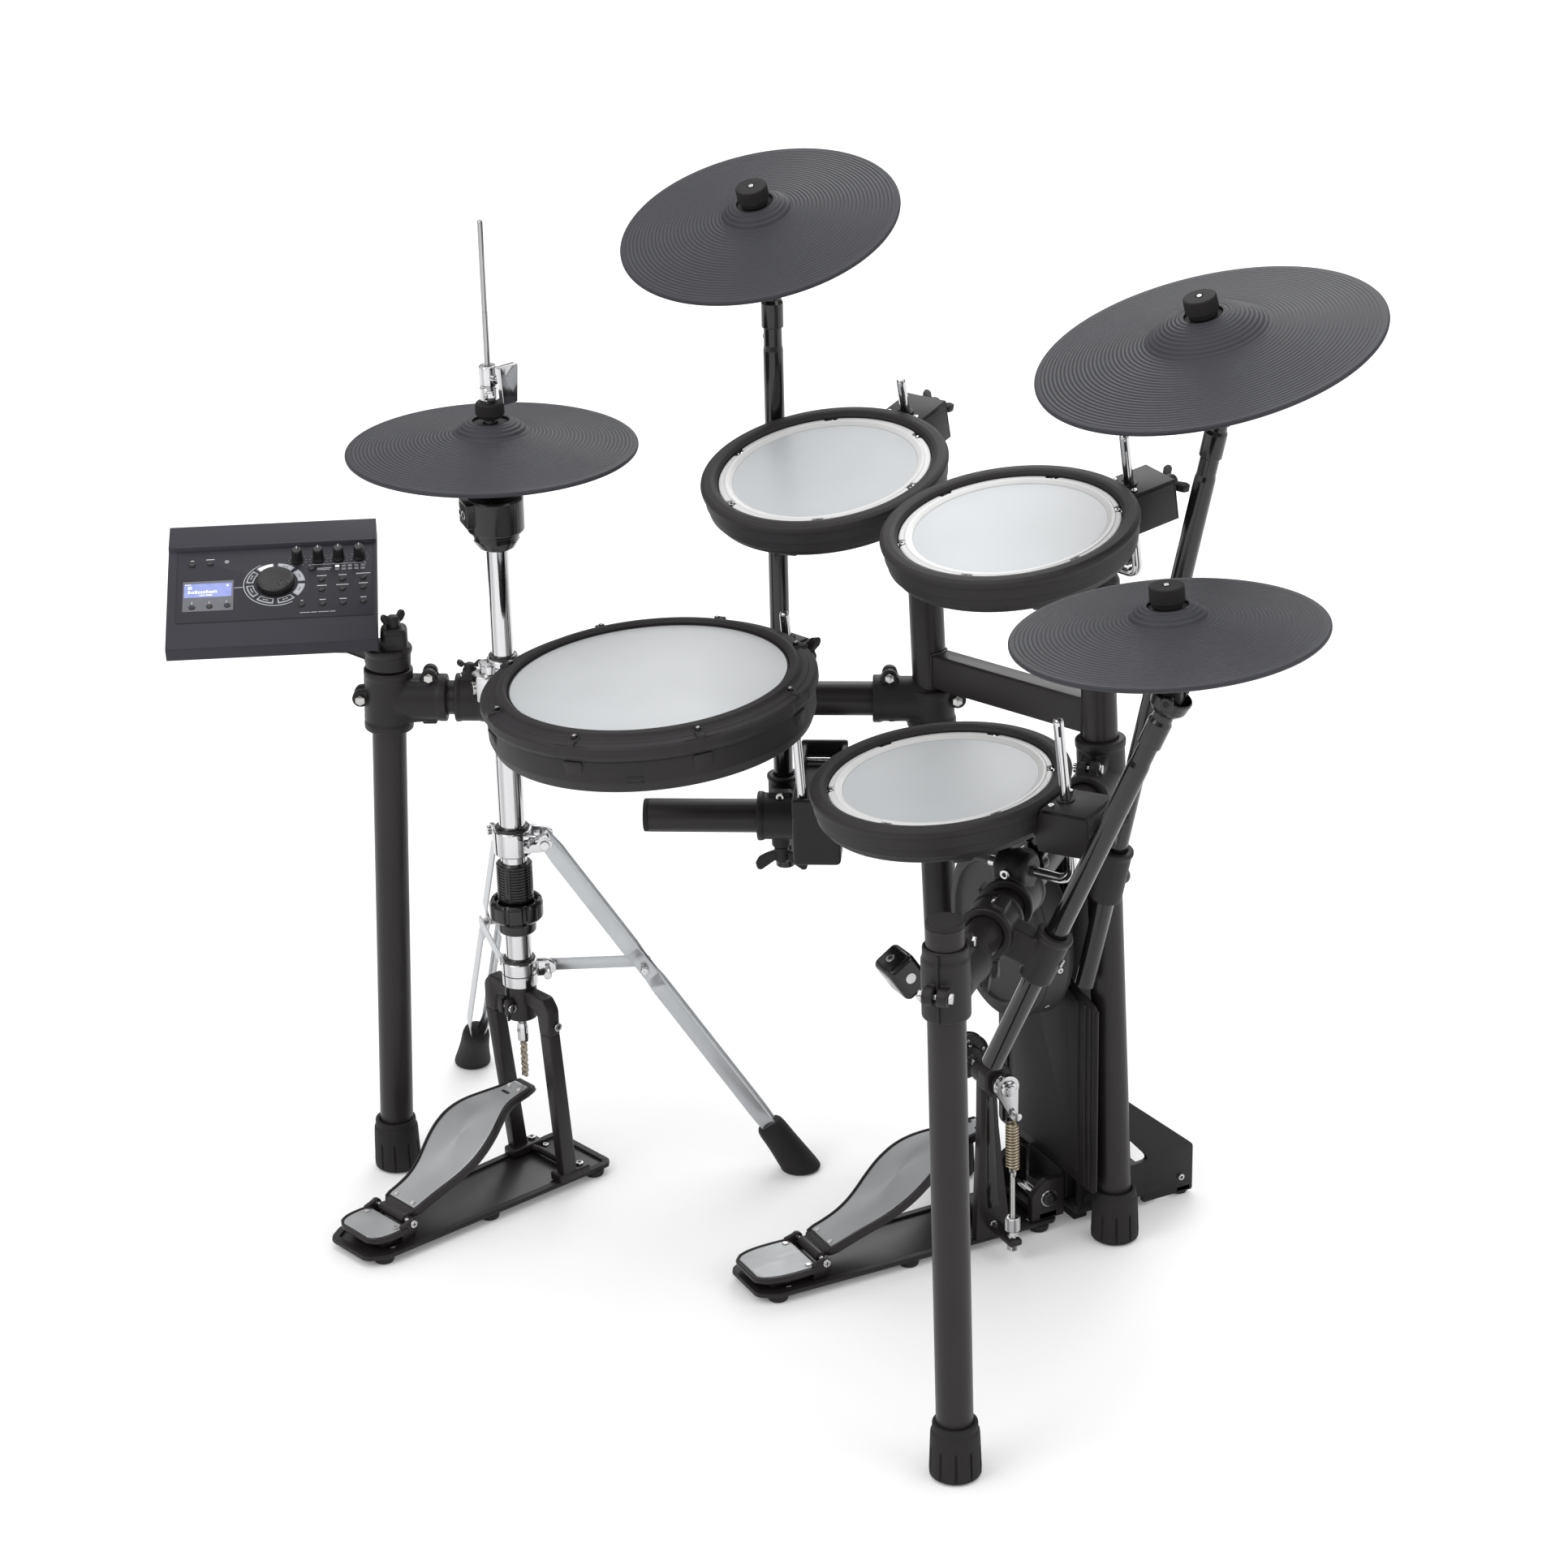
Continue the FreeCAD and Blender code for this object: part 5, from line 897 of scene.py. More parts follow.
# poles with a swaged neck, sleeve, tilter cup and cross bolt
def pole(name, a, piv, M, knob, rep=()):
    d = unit(piv - a)
    L = float(np.linalg.norm(piv - a)) - 22.0
    x = M[:3, 0]
    F = frm(a, d, x)
    p = Piece(name, "rack", "gloss_black", rep)
    p.lathe(fillet([(0, 0), (9.2, 0), (11.0, 1.2), (11.0, L - 62), (10.1, L - 56), (10.1, L - 40), (10.1, L - 34)], [0, 0.5, 1, 5, 4, 0, 0], 4), gloss, F, 64)
    p.lathe(fillet([(9.0, L - 36), (11.9, L - 36), (12.1, L - 35), (12.1, L - 9), (10.4, L - 5), (10.4, L + 3.5), (0, L + 3.5)], [0, 0.8, 0.6, 2.4, 2, 0, 0], 4), gloss, F, 64)
    p.bolt(mv(F, (9.6, 0, L - 48)), x, 3.0, 2.2, steel, dark, "cross", 20)
    f = frm(piv, d, x)
    cup = fillet([(0, -21.0), (12.0, -20.5), (18.5, -13.0), (20.4, -1.2), (19.4, 0.6), (18.0, -0.4), (16.0, -10), (11.5, -14.5), (0, -14.5)], [0, 3, 5, 1.0, 0.8, 0.8, 4, 3, 0], 5)
    p.lathe(cup, gloss_plastic, f, 72, lambda t, r, z: r if abs(math.cos(t)) < 0.86 else r * 0.93)
    for sx in (-12.4, 6.4):
        p.lathe(fillet([(0, 0), (11, 0), (11, 6), (0, 6)], 1.2, 3), cast_plastic, f @ tr(sx, 0, 0) @ rot((0, 1, 0), 90), 48)
        p.box(sx, sx + 6, -10.5, 10.5, -18, 0, cast_plastic, f, 1.2, 2)
    p.rod(mv(f, (-22, 0, 0)), mv(f, (24, 0, 0)), 4.0, steel, 24)
    p.bolt(mv(f, (-20.5, 0, 0)), -x, 7.0, 4.5, gloss_plastic, dark, "hex", 32)
    p.lathe(fillet([(0, 0), (10.2, 0), (10.6, 2), (9.4, 6), (0, 6)], 1, 3), cast_plastic, frm(mv(f, (18.6, 0, 0)), x, d), 40)
    p.done()
    w = Piece(name + "_tilt_knob", "rack", "clamp_plastic")
    wing_knob(w, frm(mv(f, (22.0, 0, 0)), x, d * cos(rad(knob)) + M[:3, 1] * sin(rad(knob))), cast_plastic, 23.0, 15.5, 6.5, 8.0)
    w.done()


pole("left_crash_pole", vec(piv_1[0], piv_1[1], 356.0), piv_1, crash_1, 15, "cymbal_poles")
pole("ride_pole", ride_end, piv_2, ride, 15)
pole("right_crash_boom", boom_end, piv_3, crash_2, 20)

# ------------------------------------------------------------------ rack tubes, posts and feet
def leg(p0, lean):
    return lambda z: vec(p0) + vec(lean[0], lean[1], 1.0) * z


A = leg((-401, -315, 0), (0.0203, 0.0385))
D = leg((489, -73, 0), (-0.0065, -0.0098))
B = leg((-59.4, 236.8, 0), (-0.0613, -0.0065))
C = leg((160, 322, 0), (-0.0613, -0.0065))
up_a, up_d, up_p = unit((0.0203, 0.0385, 1)), unit((-0.0065, -0.0098, 1)), unit((-0.0613, -0.0065, 1))
ab0, ab1, cd0, cd1 = A(588), B(580), C(548), D(548)
arm0, arm_end = B(440), vec(-254.7, -41.3, 440)
d_ab, d_cd, d_arm = unit(ab1 - ab0), unit(cd1 - cd0), unit(arm_end - arm0)
RT = 19.05
UP = vec(0, 0, 1)


def tubing(p, a, b, r=RT, mat=satin):
    """Drawn tube with eased, open ends."""
    M, L = ax(a, b)
    p.lathe(fillet([(r - 2, 24), (r - 2, 0), (r, 0), (r, L * 0.25), (r, L * 0.5), (r, L * 0.75), (r, L), (r - 2, L), (r - 2, L - 24)], 0.6, 3), mat, M, 72)


p = Piece("rack_tubing", "rack", "satin_black", "rack_tubes")
tubing(p, A(12), A(636))
tubing(p, D(12), D(612))
tubing(p, ab0 + d_ab * 23, ab1 - d_ab * 23)
tubing(p, cd0 + d_cd * 23, cd1 - d_cd * 23)
tubing(p, arm0 + d_arm * 23, arm_end)
p.done()

p = Piece("center_posts", "rack", "satin_black", "center_frame")
tubing(p, B(12), B(768))
tubing(p, C(12), C(768))
bx = unit(C(618) - B(618))
bl = float(np.linalg.norm(C(618) - B(618)))
Fb = frm(B(618), UP, bx)
p.box(13.0, bl - 13.0, -13, 13, -20, 20, satin, Fb, 3.2, 4)
# weld beads where the crossbar meets the posts
for q, sgn in ((B, 1), (C, -1)):
    c = q(618)
    path = []
    for t in np.linspace(0, 2 * pi, 40, endpoint=False):
        y, z = 13.2 * max(-1, min(1, 1.5 * sin(t))), 20.2 * max(-1, min(1, 1.5 * cos(t)))
        x = math.sqrt(max(0.0, (RT + 0.2) ** 2 - y * y)) * sgn
        path.append(tuple(c + bx * x + np.cross(UP, bx) * y + UP * z))
    p.sweep(path, 1.5, satin, 8, closed=True)
p.done()


def ribbed(a0, n, half, z0, z1, depth, ease=0.35):
    """Radius change for n grooves round a turned shape between heights z0 and z1."""
    def f(t, r, z):
        if r < 20 or z < z0 or z > z1:
            return r
        d = abs(((t - a0) * n / (2 * pi) + 0.5) % 1.0 - 0.5) * 2 * pi / n
        k = max(0.0, min(1.0, (half - d) / (half * ease)))
        e = min(1.0, (z - z0) / 4.0, (z1 - z) / 4.0)
        return r - depth * k * max(0.0, e)
    return f


p = Piece("rubber_feet", "rack", "foot_rubber", "rack_feet")
for q in (A, B, C, D):
    c = q(30) - vec(0, 0, 30)
    prof = fillet([(0, 0.2), (23.2, 0.2), (26.6, 2.8), (26.8, 10), (26.3, 22), (25.7, 40), (25.3, 49), (24.9, 52), (23.4, 54.4), (23.4, 60.2), (22.2, 61.8), (19.2, 62), (19.15, 40)], [0, 1.5, 2, 4, 4, 4, 2, 1.6, 1, 1, 0.8, 0.6, 0], 4)
    dense = []
    for u, w in zip(prof, prof[1:]):
        k = max(1, int(abs(u[1] - w[1]) / 2.5))
        dense += [(u[0] + (w[0] - u[0]) * i / k, u[1] + (w[1] - u[1]) * i / k) for i in range(k)]
    dense.append(prof[-1])
    sh = (q(60) - q(0)) / 60.0
    p.lathe(dense, rubber, tr(*c), 288, ribbed(rad(8), 10, 0.055, 2.0, 38.0, 1.9))
    # painted shade: a near-black ring round the tube where it enters the foot
    p.lathe([(19.3, 61.9), (23.0, 61.9), (23.3, 60.8)], dark, tr(*c), 72)
for c, d in ((D(612), up_d), (arm_end, d_arm)):
    p.lathe(fillet([(RT - 2.2, -10), (RT - 2.2, 0.2), (18.85, 0.2), (18.85, 4.6), (17.6, 5.9), (0, 5.9)], [0, 0, 0.3, 1.2, 1.2, 0], 4), rubber, frm(c, d, anyx(d)), 72)
p.done(42)


# ------------------------------------------------------------------ rack joints
def joint(name, q, leg_d, arm_d, up, down, reach, flip=1, slim=False):
    """Moulded T joint: sleeve round the upright, side socket, split ears with a bolt each."""
    leg_d, arm_d = unit(leg_d), unit(arm_d)
    side = unit(np.cross(leg_d, arm_d)) * flip
    back = -arm_d
    p = Piece(name, "rack", "joint_plastic")
    FL = frm(q, leg_d, arm_d)
    if slim:
        p.lathe(fillet([(19.2, -down), (23.4, -down), (24.2, -down + 1.2), (24.2, up - 14), (22.6, up - 10), (22.6, up - 1.0), (21.8, up), (19.2, up), (19.2, -down)], 0.8, 2), cast_plastic, FL, 72)
    else:
        p.lathe(fillet([(19.2, -down), (26.4, -down), (27.5, -down + 1.4), (27.5, -down + 8), (26.2, -down + 10.5), (26.2, up - 10.5), (27.5, up - 8), (27.5, up - 1.4), (26.4, up), (19.2, up), (19.2, -down)], 1.0, 2), cast_plastic, FL, 72)
    FS = frm(q, arm_d, leg_d)
    p.lathe(fillet([(0, 0), (25.3, 4), (25.3, reach - 11), (26.7, reach - 8.5), (26.7, reach - 1.2), (25.8, reach), (19.2, reach), (19.2, 30), (0, 30)], 1.0, 2), cast_plastic, FS, 72)
    # gusset blending sleeve and socket
    for sg in (-1, 1):
        p.prism([(22, up - 12), (46, 23.5), (46, -23.5), (22, -(down - 10))], -6 + sg * 9, 6 + sg * 9, cast_plastic, _plane(q, arm_d, leg_d), 2.0, 2)
    e = q + back * 30 + leg_d * 2
    f = q + arm_d * (reach - 20) + leg_d * 28
    for c, r, w in ((e, 9.6, 12.8), (f, 8.6, 11.8)):
        for sg in (-1, 1):
            p.rod(c + side * sg * 1.9, c + side * sg * w, r, cast_plastic, 40, 1.2)
    # necks from ears into the body, kept apart by the split
    for sg in (-1, 1):
        p.box(-8.8, 8.8, -30, -18, 2.0 if sg > 0 else -12.6, 12.6 if sg > 0 else -2.0, cast_plastic, _plane(q + leg_d * 2, leg_d, arm_d, side), 1.2, 2)
        p.box(-8.0, 8.0, 16, 28, 2.0 if sg > 0 else -11.6, 11.6 if sg > 0 else -2.0, cast_plastic, _plane(q + arm_d * (reach - 20), arm_d, leg_d, side), 1.2, 2)
    p.done(cast=1.15, smooth=5)
    # split lines and bolts are crisp parts laid over the moulding; the split line is painted shade, a near-black strip
    # in its gap
    b = Piece(name + "_bolts", "rack", "bolt_steel")
    for c, r in ((e, 5.7), (f, 5.2)):
        w = 12.8 if c is e else 11.8
        b.rod(c - side * (w + 3.6), c + side * (w + 3.0), 3.1, steel, 24)
        b.lathe(fillet([(0, 0), (r + 1.6, 0), (r + 1.6, 0.9), (0, 0.9)], 0.3, 2), steel, frm(c + side * w, side, leg_d), 32)
        b.bolt(c + side * (w + 0.8), side, r, 4.0, chrome, dark, "hex", 32)
        b.prism([(r * 1.06 * cos(t), r * 1.06 * sin(t)) for t in np.arange(6) * pi / 3], 0, 4.2, steel, frm(c - side * w, -side, leg_d), 0.5, 2)
    # painted shade in the split: a near-black strip down the sleeve
    b.box(-1.2, 1.2, 0.0, 2.6, -down + 1.0, up - 1.0, dark, frm(q + back * 24.6, leg_d, side), 0.2, 1)
    b.done()


def _plane(o, x, y, z=None):
    """Frame with x and y near the given directions."""
    x = unit(x)
    z = unit(np.cross(x, unit(y))) if z is None else unit(z)
    y = np.cross(z, x)
    m = np.eye(4)
    m[:3, 0], m[:3, 1], m[:3, 2], m[:3, 3] = x, y, z, vec(o)
    return m


joint("joint_left_leg", A(588), up_a, d_ab, 36, 36, 66)
joint("joint_left_post", B(580), up_p, -d_ab, 14.5, 30, 64, -1)
joint("joint_right_post", C(548), up_p, d_cd, 46, 46, 66, -1)
joint("joint_right_leg", D(548), up_d, -d_cd, 44, 31, 66, 1, True)
joint("joint_snare_arm", B(440), up_p, d_arm, 30, 30, 64)

# module mount on the left leg's top
mod_yaw, mod_tilt = 67.0, 22.5
mod_x = vec(cos(rad(mod_yaw)), sin(rad(mod_yaw)), 0)
mod_b = vec(-mod_x[1], mod_x[0], 0)
mod_y = mod_b * cos(rad(mod_tilt)) + UP * sin(rad(mod_tilt))
mod_z = np.cross(mod_x, mod_y)
module = frm((-490.6, -382.4, 709.4), mod_z, mod_x)
hinge_p = mv(module, (20.0, -28.0, -46.0))
top_a = A(636)
p = Piece("module_mount_casting", "rack", "joint_plastic", "rack_joints")
p.lathe(fillet([(19.2, -11), (25.2, -11), (25.4, 5.5), (26.9, 7.5), (26.9, 12.6), (25.2, 13.9), (0, 13.9)], [0, 1.2, 1, 1, 1.4, 1.4, 0], 3), cast_plastic, frm(top_a, up_a, mod_x), 72)
p.box(-15, 15, -16, 16, -4, 36, cast_plastic, frm(top_a + mod_x * 8, UP, mod_x), 7.0, 4)
arm_a = top_a + up_a * 4
arm_b = vec(hinge_p[0], hinge_p[1], arm_a[2])
bd = unit(arm_b - arm_a)
bs = np.cross(UP, bd)
ao = arm_a + bd * 10
ptsb = [ao - bs * 15, arm_b - mod_x * 25 - mod_b * 13, arm_b - mod_x * 25 + mod_b * 13, arm_b + mod_x * 25 + mod_b * 13, ao + bs * 15]
p.prism([(q[0], q[1]) for q in ptsb], arm_a[2] - 6.8, arm_a[2] + 7.8, cast_plastic, None, 2.0, 2)
for s in (-20, 20):
    q = hinge_p + mod_x * s
    p.rod(q - mod_x * 4.9, q + mod_x * 4.9, 12.8, cast_plastic, 48, 1.0)
    p.box(-4.9, 4.9, -12.8, 12.8, arm_a[2] - 6.8 - q[2], 0, cast_plastic, frm(q, UP, mod_x), 1.0, 2)
p.done(cast=1.15, smooth=4)
p = Piece("module_mount_wing", "rack", "bolt_steel", "joint_bolts")
mw = top_a + mod_x * 8 + UP * 35.0
p.lathe(fillet([(0, 0), (8.0, 0), (7.2, 9), (5.8, 13), (0, 14)], 1.2, 3), cast_plastic, frm(mw, UP, mod_b), 36)
for sg in (-1, 1):
    w = fillet([(0, 3), (7.5, 4.0), (12, 6), (15.6, 11.5), (14.6, 17), (10, 17.4), (6, 12.5), (0, 12)], [0, 2, 4, 4, 3, 3, 4, 0], 4)
    p.prism(w, -3.0, 3.0, cast_plastic, _plane(mw, (mod_x * 0.8 + mod_b * 0.6) * sg, UP), 1.3, 2)
for sg in (-1, 1):
    p.bolt(hinge_p + mod_x * 25.1 * sg, mod_x * sg, 7.9, 5.6, steel, dark, "hex", 32)
p.rod(hinge_p - mod_x * 25.5, hinge_p + mod_x * 25.5, 3.8, steel, 24)
p.done()

# ------------------------------------------------------------------ bent rods
B_POST, C_POST = B(768), C(768)
ball_1, ball_2 = B(792), C(792)
cd_k = cd0 + d_cd * (float(np.linalg.norm(cd1 - cd0)) * 0.60)
ball_3 = cd_k + vec(2, 3, 33)


def closest(p_, u, q_, v):
    w = p_ - q_
    a, b, c, d, e = u @ u, u @ v, v @ v, u @ w, v @ w
    den = a * c - b * b
    return p_ + u * ((b * e - c * d) / den), q_ + v * ((a * e - b * d) / den)


d_boom, d_ride = unit(piv_3 - boom_end), unit(piv_2 - ride_end)
p1t, p1p = closest(arm0, d_arm, vec(piv_1[0], piv_1[1], 356.0), UP)
p3t, p3p = closest(cd0, d_cd, boom_end, d_boom)
s_base = p1t - d_arm * 50
ball_4 = s_base + UP * 50


def bent(M, reach, top, corner, ball, over):
    a, k = mv(M, (reach, 0, top)), mv(M, (reach, 0, corner))
    d1, d2 = unit(k - a), unit(ball - k)
    ang = math.acos(max(-1, min(1, float(d1 @ d2))))
    rb = 16.0
    t = rb * math.tan(ang / 2)
    e1, e2 = k - d1 * t, k + d2 * t
    n = unit(np.cross(d1, d2))
    cen = e1 + np.cross(n, d1) * rb
    arc = []
    for i in range(13):
        w = ang * i / 12
        v0 = e1 - cen
        arc.append(cen + v0 * cos(w) + np.cross(n, v0) * sin(w))
    L1 = float(np.linalg.norm(e1 - a))
    path, rr = [a - d1 * 3.0, a - d1 * 2.2, a, a + d1 * 2], [3.4, 4.4, 5.1, 5.25]
    m = 10
    path += [a + d1 * (2 + (L1 - 2) * i / m) for i in range(1, m)]
    rr += [5.25] * (m - 1)
    path += arc
    rr += [5.25] * len(arc)
    end = ball + d2 * over
    for i in range(1, 7):
        path.append(e2 + (end - e2) * i / 6)
        rr.append(5.25)
    path += [end + d2 * 0.0001]
    rr += [4.6]
    return path, rr, d1, d2, a


p = Piece("chromed_rods", "rack", "chrome_rod", "pad_rods")
rods = {}
for key, M, reach, top, corner, ball, over in (("tom_1", tom_1, 147, 26, -122, ball_1, 28), ("tom_2", tom_2, 147, 42, -117, ball_2, 28), ("floor", floor_t, 147, 80, ball_3[2] - 665 - 11, ball_3, 30), ("snare", snare, 190, 2, ball_4[2] - 722 - 10, ball_4, 30)):
    path, rr, d1, d2, a = bent(M, reach, top, corner, ball, over)
    p.sweep(path, rr, chrome, 32)
    rods[key] = (d1, d2, a)
    # flat key slot near the rod's top, with painted shade inside as a near-black sheet
    x = unit(vec(0.891, -0.454, 0) - d1 * (vec(0.891, -0.454, 0) @ d1))
    if key != "snare":
        p.prism(fillet([(-5.5, -1.0), (5.5, -1.0), (5.5, 1.0), (-5.5, 1.0)], 0.9, 3, True), -1.6, 1.6, dark, _plane(a + d1 * 9 + x * 4.35, d1, np.cross(x, d1)), 0)
p.done()


# ------------------------------------------------------------------ clamps
def ring_clamp(p, c, d, half, r=26.4, lip=28.0, lw=6.0):
    p.lathe(fillet([(19.2, -half), (lip - 0.8, -half), (lip, -half + 1), (lip, -half + lw), (r, -half + lw + 2), (r, half - lw - 2), (lip, half - lw), (lip, half - 1), (lip - 0.8, half), (19.2, half), (19.2, -half)], 0.9, 2), cast_plastic, frm(c, d, anyx(d)), 72)


def pole_clamp(name, pt, d_tube, pp, d_pole, lt, lp, screw):
    d_tube, d_pole = unit(d_tube), unit(d_pole)
    off = pp - pt
    o = unit(off)
    p = Piece(name, "rack", "clamp_plastic")
    ring_clamp(p, pt, d_tube, lt / 2)
    h = lp / 2
    p.lathe(fillet([(11.1, -h), (16.4, -h), (17.5, -h + 1.4), (17.5, h - 7), (18.9, h - 5), (18.9, h - 1.2), (17.8, h), (11.1, h), (11.1, -h)], 0.9, 2), cast_plastic, frm(pp, d_pole, o), 56)
    n = float(np.linalg.norm(off))
    F = _plane(pt, o, d_tube)
    p.prism([(6, -15), (n - 4, -12.5), (n - 4, 12.5), (6, 15)], -16.5, 16.5, cast_plastic, F, 3.0, 3)
    p.rod(pt + screw * 18, pt + screw * 35.8, 11.0, cast_plastic, 40, 1.2)
    # squeeze ear with its bolt boss beside the tube
    s1 = unit(np.cross(d_tube, o))
    sg = 1 if s1[2] > 0 else -1
    p.box(-13, 13, 17, 31, -7, 7, cast_plastic, _plane(pt, d_tube, s1 * sg), 2.2, 3)
    p.done(cast=1.15, smooth=5)
    b = Piece(name + "_screws", "rack", "bolt_steel")
    b.bolt(pt + s1 * sg * 26 + o * 6.6 * -1, -o, 4.8, 3.0, steel, dark, "hex", 28)
    b.bolt(pp + o * 17.2, o, 4.2, 2.6, steel, dark, "hex", 28)
    b.done()


pole_clamp("left_crash_clamp", p1t, d_arm, p1p, UP, 52, 60, -UP)
pole_clamp("right_crash_clamp", p3t, d_cd, p3p, d_boom, 44, 56, -UP)
# ride clamp on the right-hand centre post
ride_q = ride_end + d_ride * ((462 - ride_end[2]) / d_ride[2])
c462 = C(462)
o2 = unit(vec(ride_q[0] - c462[0], ride_q[1] - c462[1], 0))
n2 = float(np.linalg.norm(ride_q[:2] - c462[:2]))
p = Piece("ride_clamp", "rack", "clamp_plastic", "rack_clamps")
ring_clamp(p, C(462.5), up_p, 32.3)
p.lathe(fillet([(11.1, -32), (16.4, -32), (17.5, -30.5), (17.5, 25), (18.9, 27), (18.9, 30.8), (17.8, 32), (11.1, 32), (11.1, -32)], 0.9, 2), cast_plastic, frm(ride_q, d_ride, o2), 56)
p.box(8, n2, -12.8, 12.8, -27, 27, cast_plastic, frm(c462, UP, o2), 3.0, 3)
p.rod(c462 - o2 * 18, c462 - o2 * 36.8, 11.0, cast_plastic, 40, 1.2)
for sg in (-1, 1):
    p.box(-24, -6, 12, 24, sg * 14 - 7, sg * 14 + 7, cast_plastic, frm(c462, UP, o2), 2.0, 2)
p.done(cast=1.15, smooth=5)

# wing bolts
for name, body, c, d, across, w in (("left_crash_wing_bolt", "left_crash_wing", p1t - UP * 36.5, -UP, d_arm, 30.0), ("ride_wing_bolt", "ride_wing", c462 - o2 * 37.5, -o2, UP, 30.0), ("right_crash_wing_bolt", "right_crash_wing", p3t - UP * 36.5, -UP, d_cd, 21.5)):
    p = Piece(name, body, "clamp_plastic", body)
    a = unit(across - d * (across @ d))
    F = frm(c, d, a)
    p.lathe(fillet([(0, 0.1), (8.3, 0.1), (8.3, 6), (7.6, 15), (6.4, 19.6), (0, 20.4)], 1.4, 3), cast_plastic, F, 40)
    for s in (0, 180):
        w0 = [(0, 4.5), (7.6, 5.2), (w * 0.55, 8.6), (w * 0.86, 13.5), (w * 1.0, 21), (w * 0.93, 28.4), (w * 0.78, 29.6), (w * 0.62, 26.0), (7.2, 17.5), (0, 17)]
        p.prism(fillet(w0, [0, 2, 6, 5, 4, 3, 3, 5, 4, 0], 4), -3.1, 3.1, cast_plastic, F @ rot((0, 0, 1), s) @ rot((1, 0, 0), 90), 1.7, 3)
    p.done(cast=0.8, smooth=3)


def ball_mount(name, ball, rod_d, base, base_d, ring=None, star=True, flip=1):
    """Housing round the bent rod's end, with a cap and a knob."""
    rod_d, base_d = unit(rod_d), unit(base_d)
    cap = unit(np.cross(rod_d, base_d)) * flip
    p = Piece(name, "rack", "clamp_plastic")
    F = frm(ball, rod_d, base_d)
    p.lathe(fillet([(5.4, -18.8), (15.5, -18.8), (18.2, -15.5), (18.3, -6), (20.3, 0), (18.3, 6), (18.2, 15.5), (15.5, 18.8), (5.4, 18.8), (5.4, -18.8)], 2.0, 3), cast_plastic, F, 56)
    p.lathe(fillet([(0, 0), (12.9, 0), (12.9, 22.5), (10.6, 26.6), (0, 26.8)], 1.6, 3), cast_plastic, frm(ball, cap, rod_d), 44)
    if ring is None:
        p.lathe(fillet([(19.2, -30), (26.4, -30), (27.3, -28.6), (27.3, -22.5), (25.8, -20), (25.8, 1.5), (24.4, 5), (18.0, 23), (0, 24)], 1.4, 3), cast_plastic, frm(base, base_d, rod_d), 72)
        for sg in (-1, 1):
            p.box(22, 33, sg * 5.2 - 3.4, sg * 5.2 + 3.4, -26, -6, cast_plastic, frm(base, base_d, -rod_d), 1.2, 2)
    else:
        ring_clamp(p, base, ring, 24)
        p.rod(base + base_d * 12, ball, 17.0, cast_plastic, 48, 1.0)
        for sg in (-1, 1):
            p.box(-12, 12, 18, 33, sg * 5.4 - 3.6, sg * 5.4 + 3.6, cast_plastic, _plane(base, ring, np.cross(ring, base_d)), 1.6, 2)
    p.done(cast=1.15, smooth=5)
    b = Piece(name + "_knob", "rack", "clamp_plastic")
    # slotted face on the housing and a five-lobed knob on the cap
    K = frm(ball + cap * 26.6, cap, rod_d)
    if star:
        def lobes(t, r, z):
            return r * (0.86 + 0.14 * cos(5 * t)) if r > 9 else r
        b.lathe(fillet([(0, 0), (8.5, 0), (8.5, 3), (17.5, 4.0), (17.9, 13.0), (15.5, 16.0), (7.0, 16.8), (0, 16.0)], [0, 0.8, 1, 2, 3, 2.4, 1.5, 0], 4), gloss_plastic, K, 160, lobes)
    else:
        wing_knob(b, K, cast_plastic, 21.0, 19.0, 7.0, 8.0)
    b.bolt(ball - cap * 20.2, -cap, 5.4, 3.2, chrome, dark, "hex", 30)
    if ring is None:
        c = base - rod_d * 28 - base_d * 16
        sd = unit(np.cross(base_d, rod_d))
        b.rod(c - sd * 12, c + sd * 12, 3.0, steel, 20)
        b.bolt(c + sd * 8.4, sd, 4.8, 3.6, chrome, dark, "hex", 28)
        b.bolt(c - sd * 8.4, -sd, 4.8, 3.6, steel, dark, "hex", 28)
    b.done()


ball_mount("tom_1_ball_clamp", ball_1, rods["tom_1"][1], B_POST, up_p)
ball_mount("tom_2_ball_clamp", ball_2, rods["tom_2"][1], C_POST, up_p)
ball_mount("floor_tom_ball_clamp", ball_3, rods["floor"][1], cd_k, UP, d_cd, True)

# snare clamp: open-topped block on a ring, with the rod's ball inside
p = Piece("snare_ball_clamp", "rack", "clamp_plastic")
ring_clamp(p, s_base, d_arm, 23.4, 26.3, 27.2)
Fs = frm(s_base, UP, -d_arm)
rc = mv(np.linalg.inv(Fs), mv(snare, (190, 0, ball_4[2] - 722 - 10)))
bx0, bx1 = min(-26.0, rc[0] - 13.0), max(26.0, rc[0] + 13.0)
by0, by1 = min(-24.0, rc[1] - 13.0), max(24.0, rc[1] + 13.0)
p.box(bx0, bx1, by0, by1, 6, 66, cast_plastic, Fs, 5.0, 4)
for sg in (-1, 1):
    yw, xw = (by1 - 3.6, bx1 - 3.6) if sg > 0 else (by0 + 3.6, bx0 + 3.6)
    p.box(bx0, bx1, yw - 3.6, yw + 3.6, 60, 84.0, cast_plastic, Fs, 2.4, 3)
    p.box(xw - 3.6, xw + 3.6, by0, by1, 60, 80.5, cast_plastic, Fs, 2.0, 3)
cap4 = unit(np.cross(rods["snare"][1], UP))
p.rod(ball_4, ball_4 + cap4 * 29.6, 11.9, cast_plastic, 44, 1.6)
p.done(cast=1.1, smooth=4)
b = Piece("snare_clamp_knob", "rack", "clamp_plastic")
wing_knob(b, frm(ball_4 + cap4 * 29.0, cap4, UP * 0.9 + d_arm * 0.3), cast_plastic, 23.0, 20.0, 7.5, 8.5)
# painted shade: a near-black sheet inside the block's open top
b.box(bx0 + 7, bx1 - 7, by0 + 7, by1 - 7, 65.2, 66.6, dark, Fs, 0.2, 1)
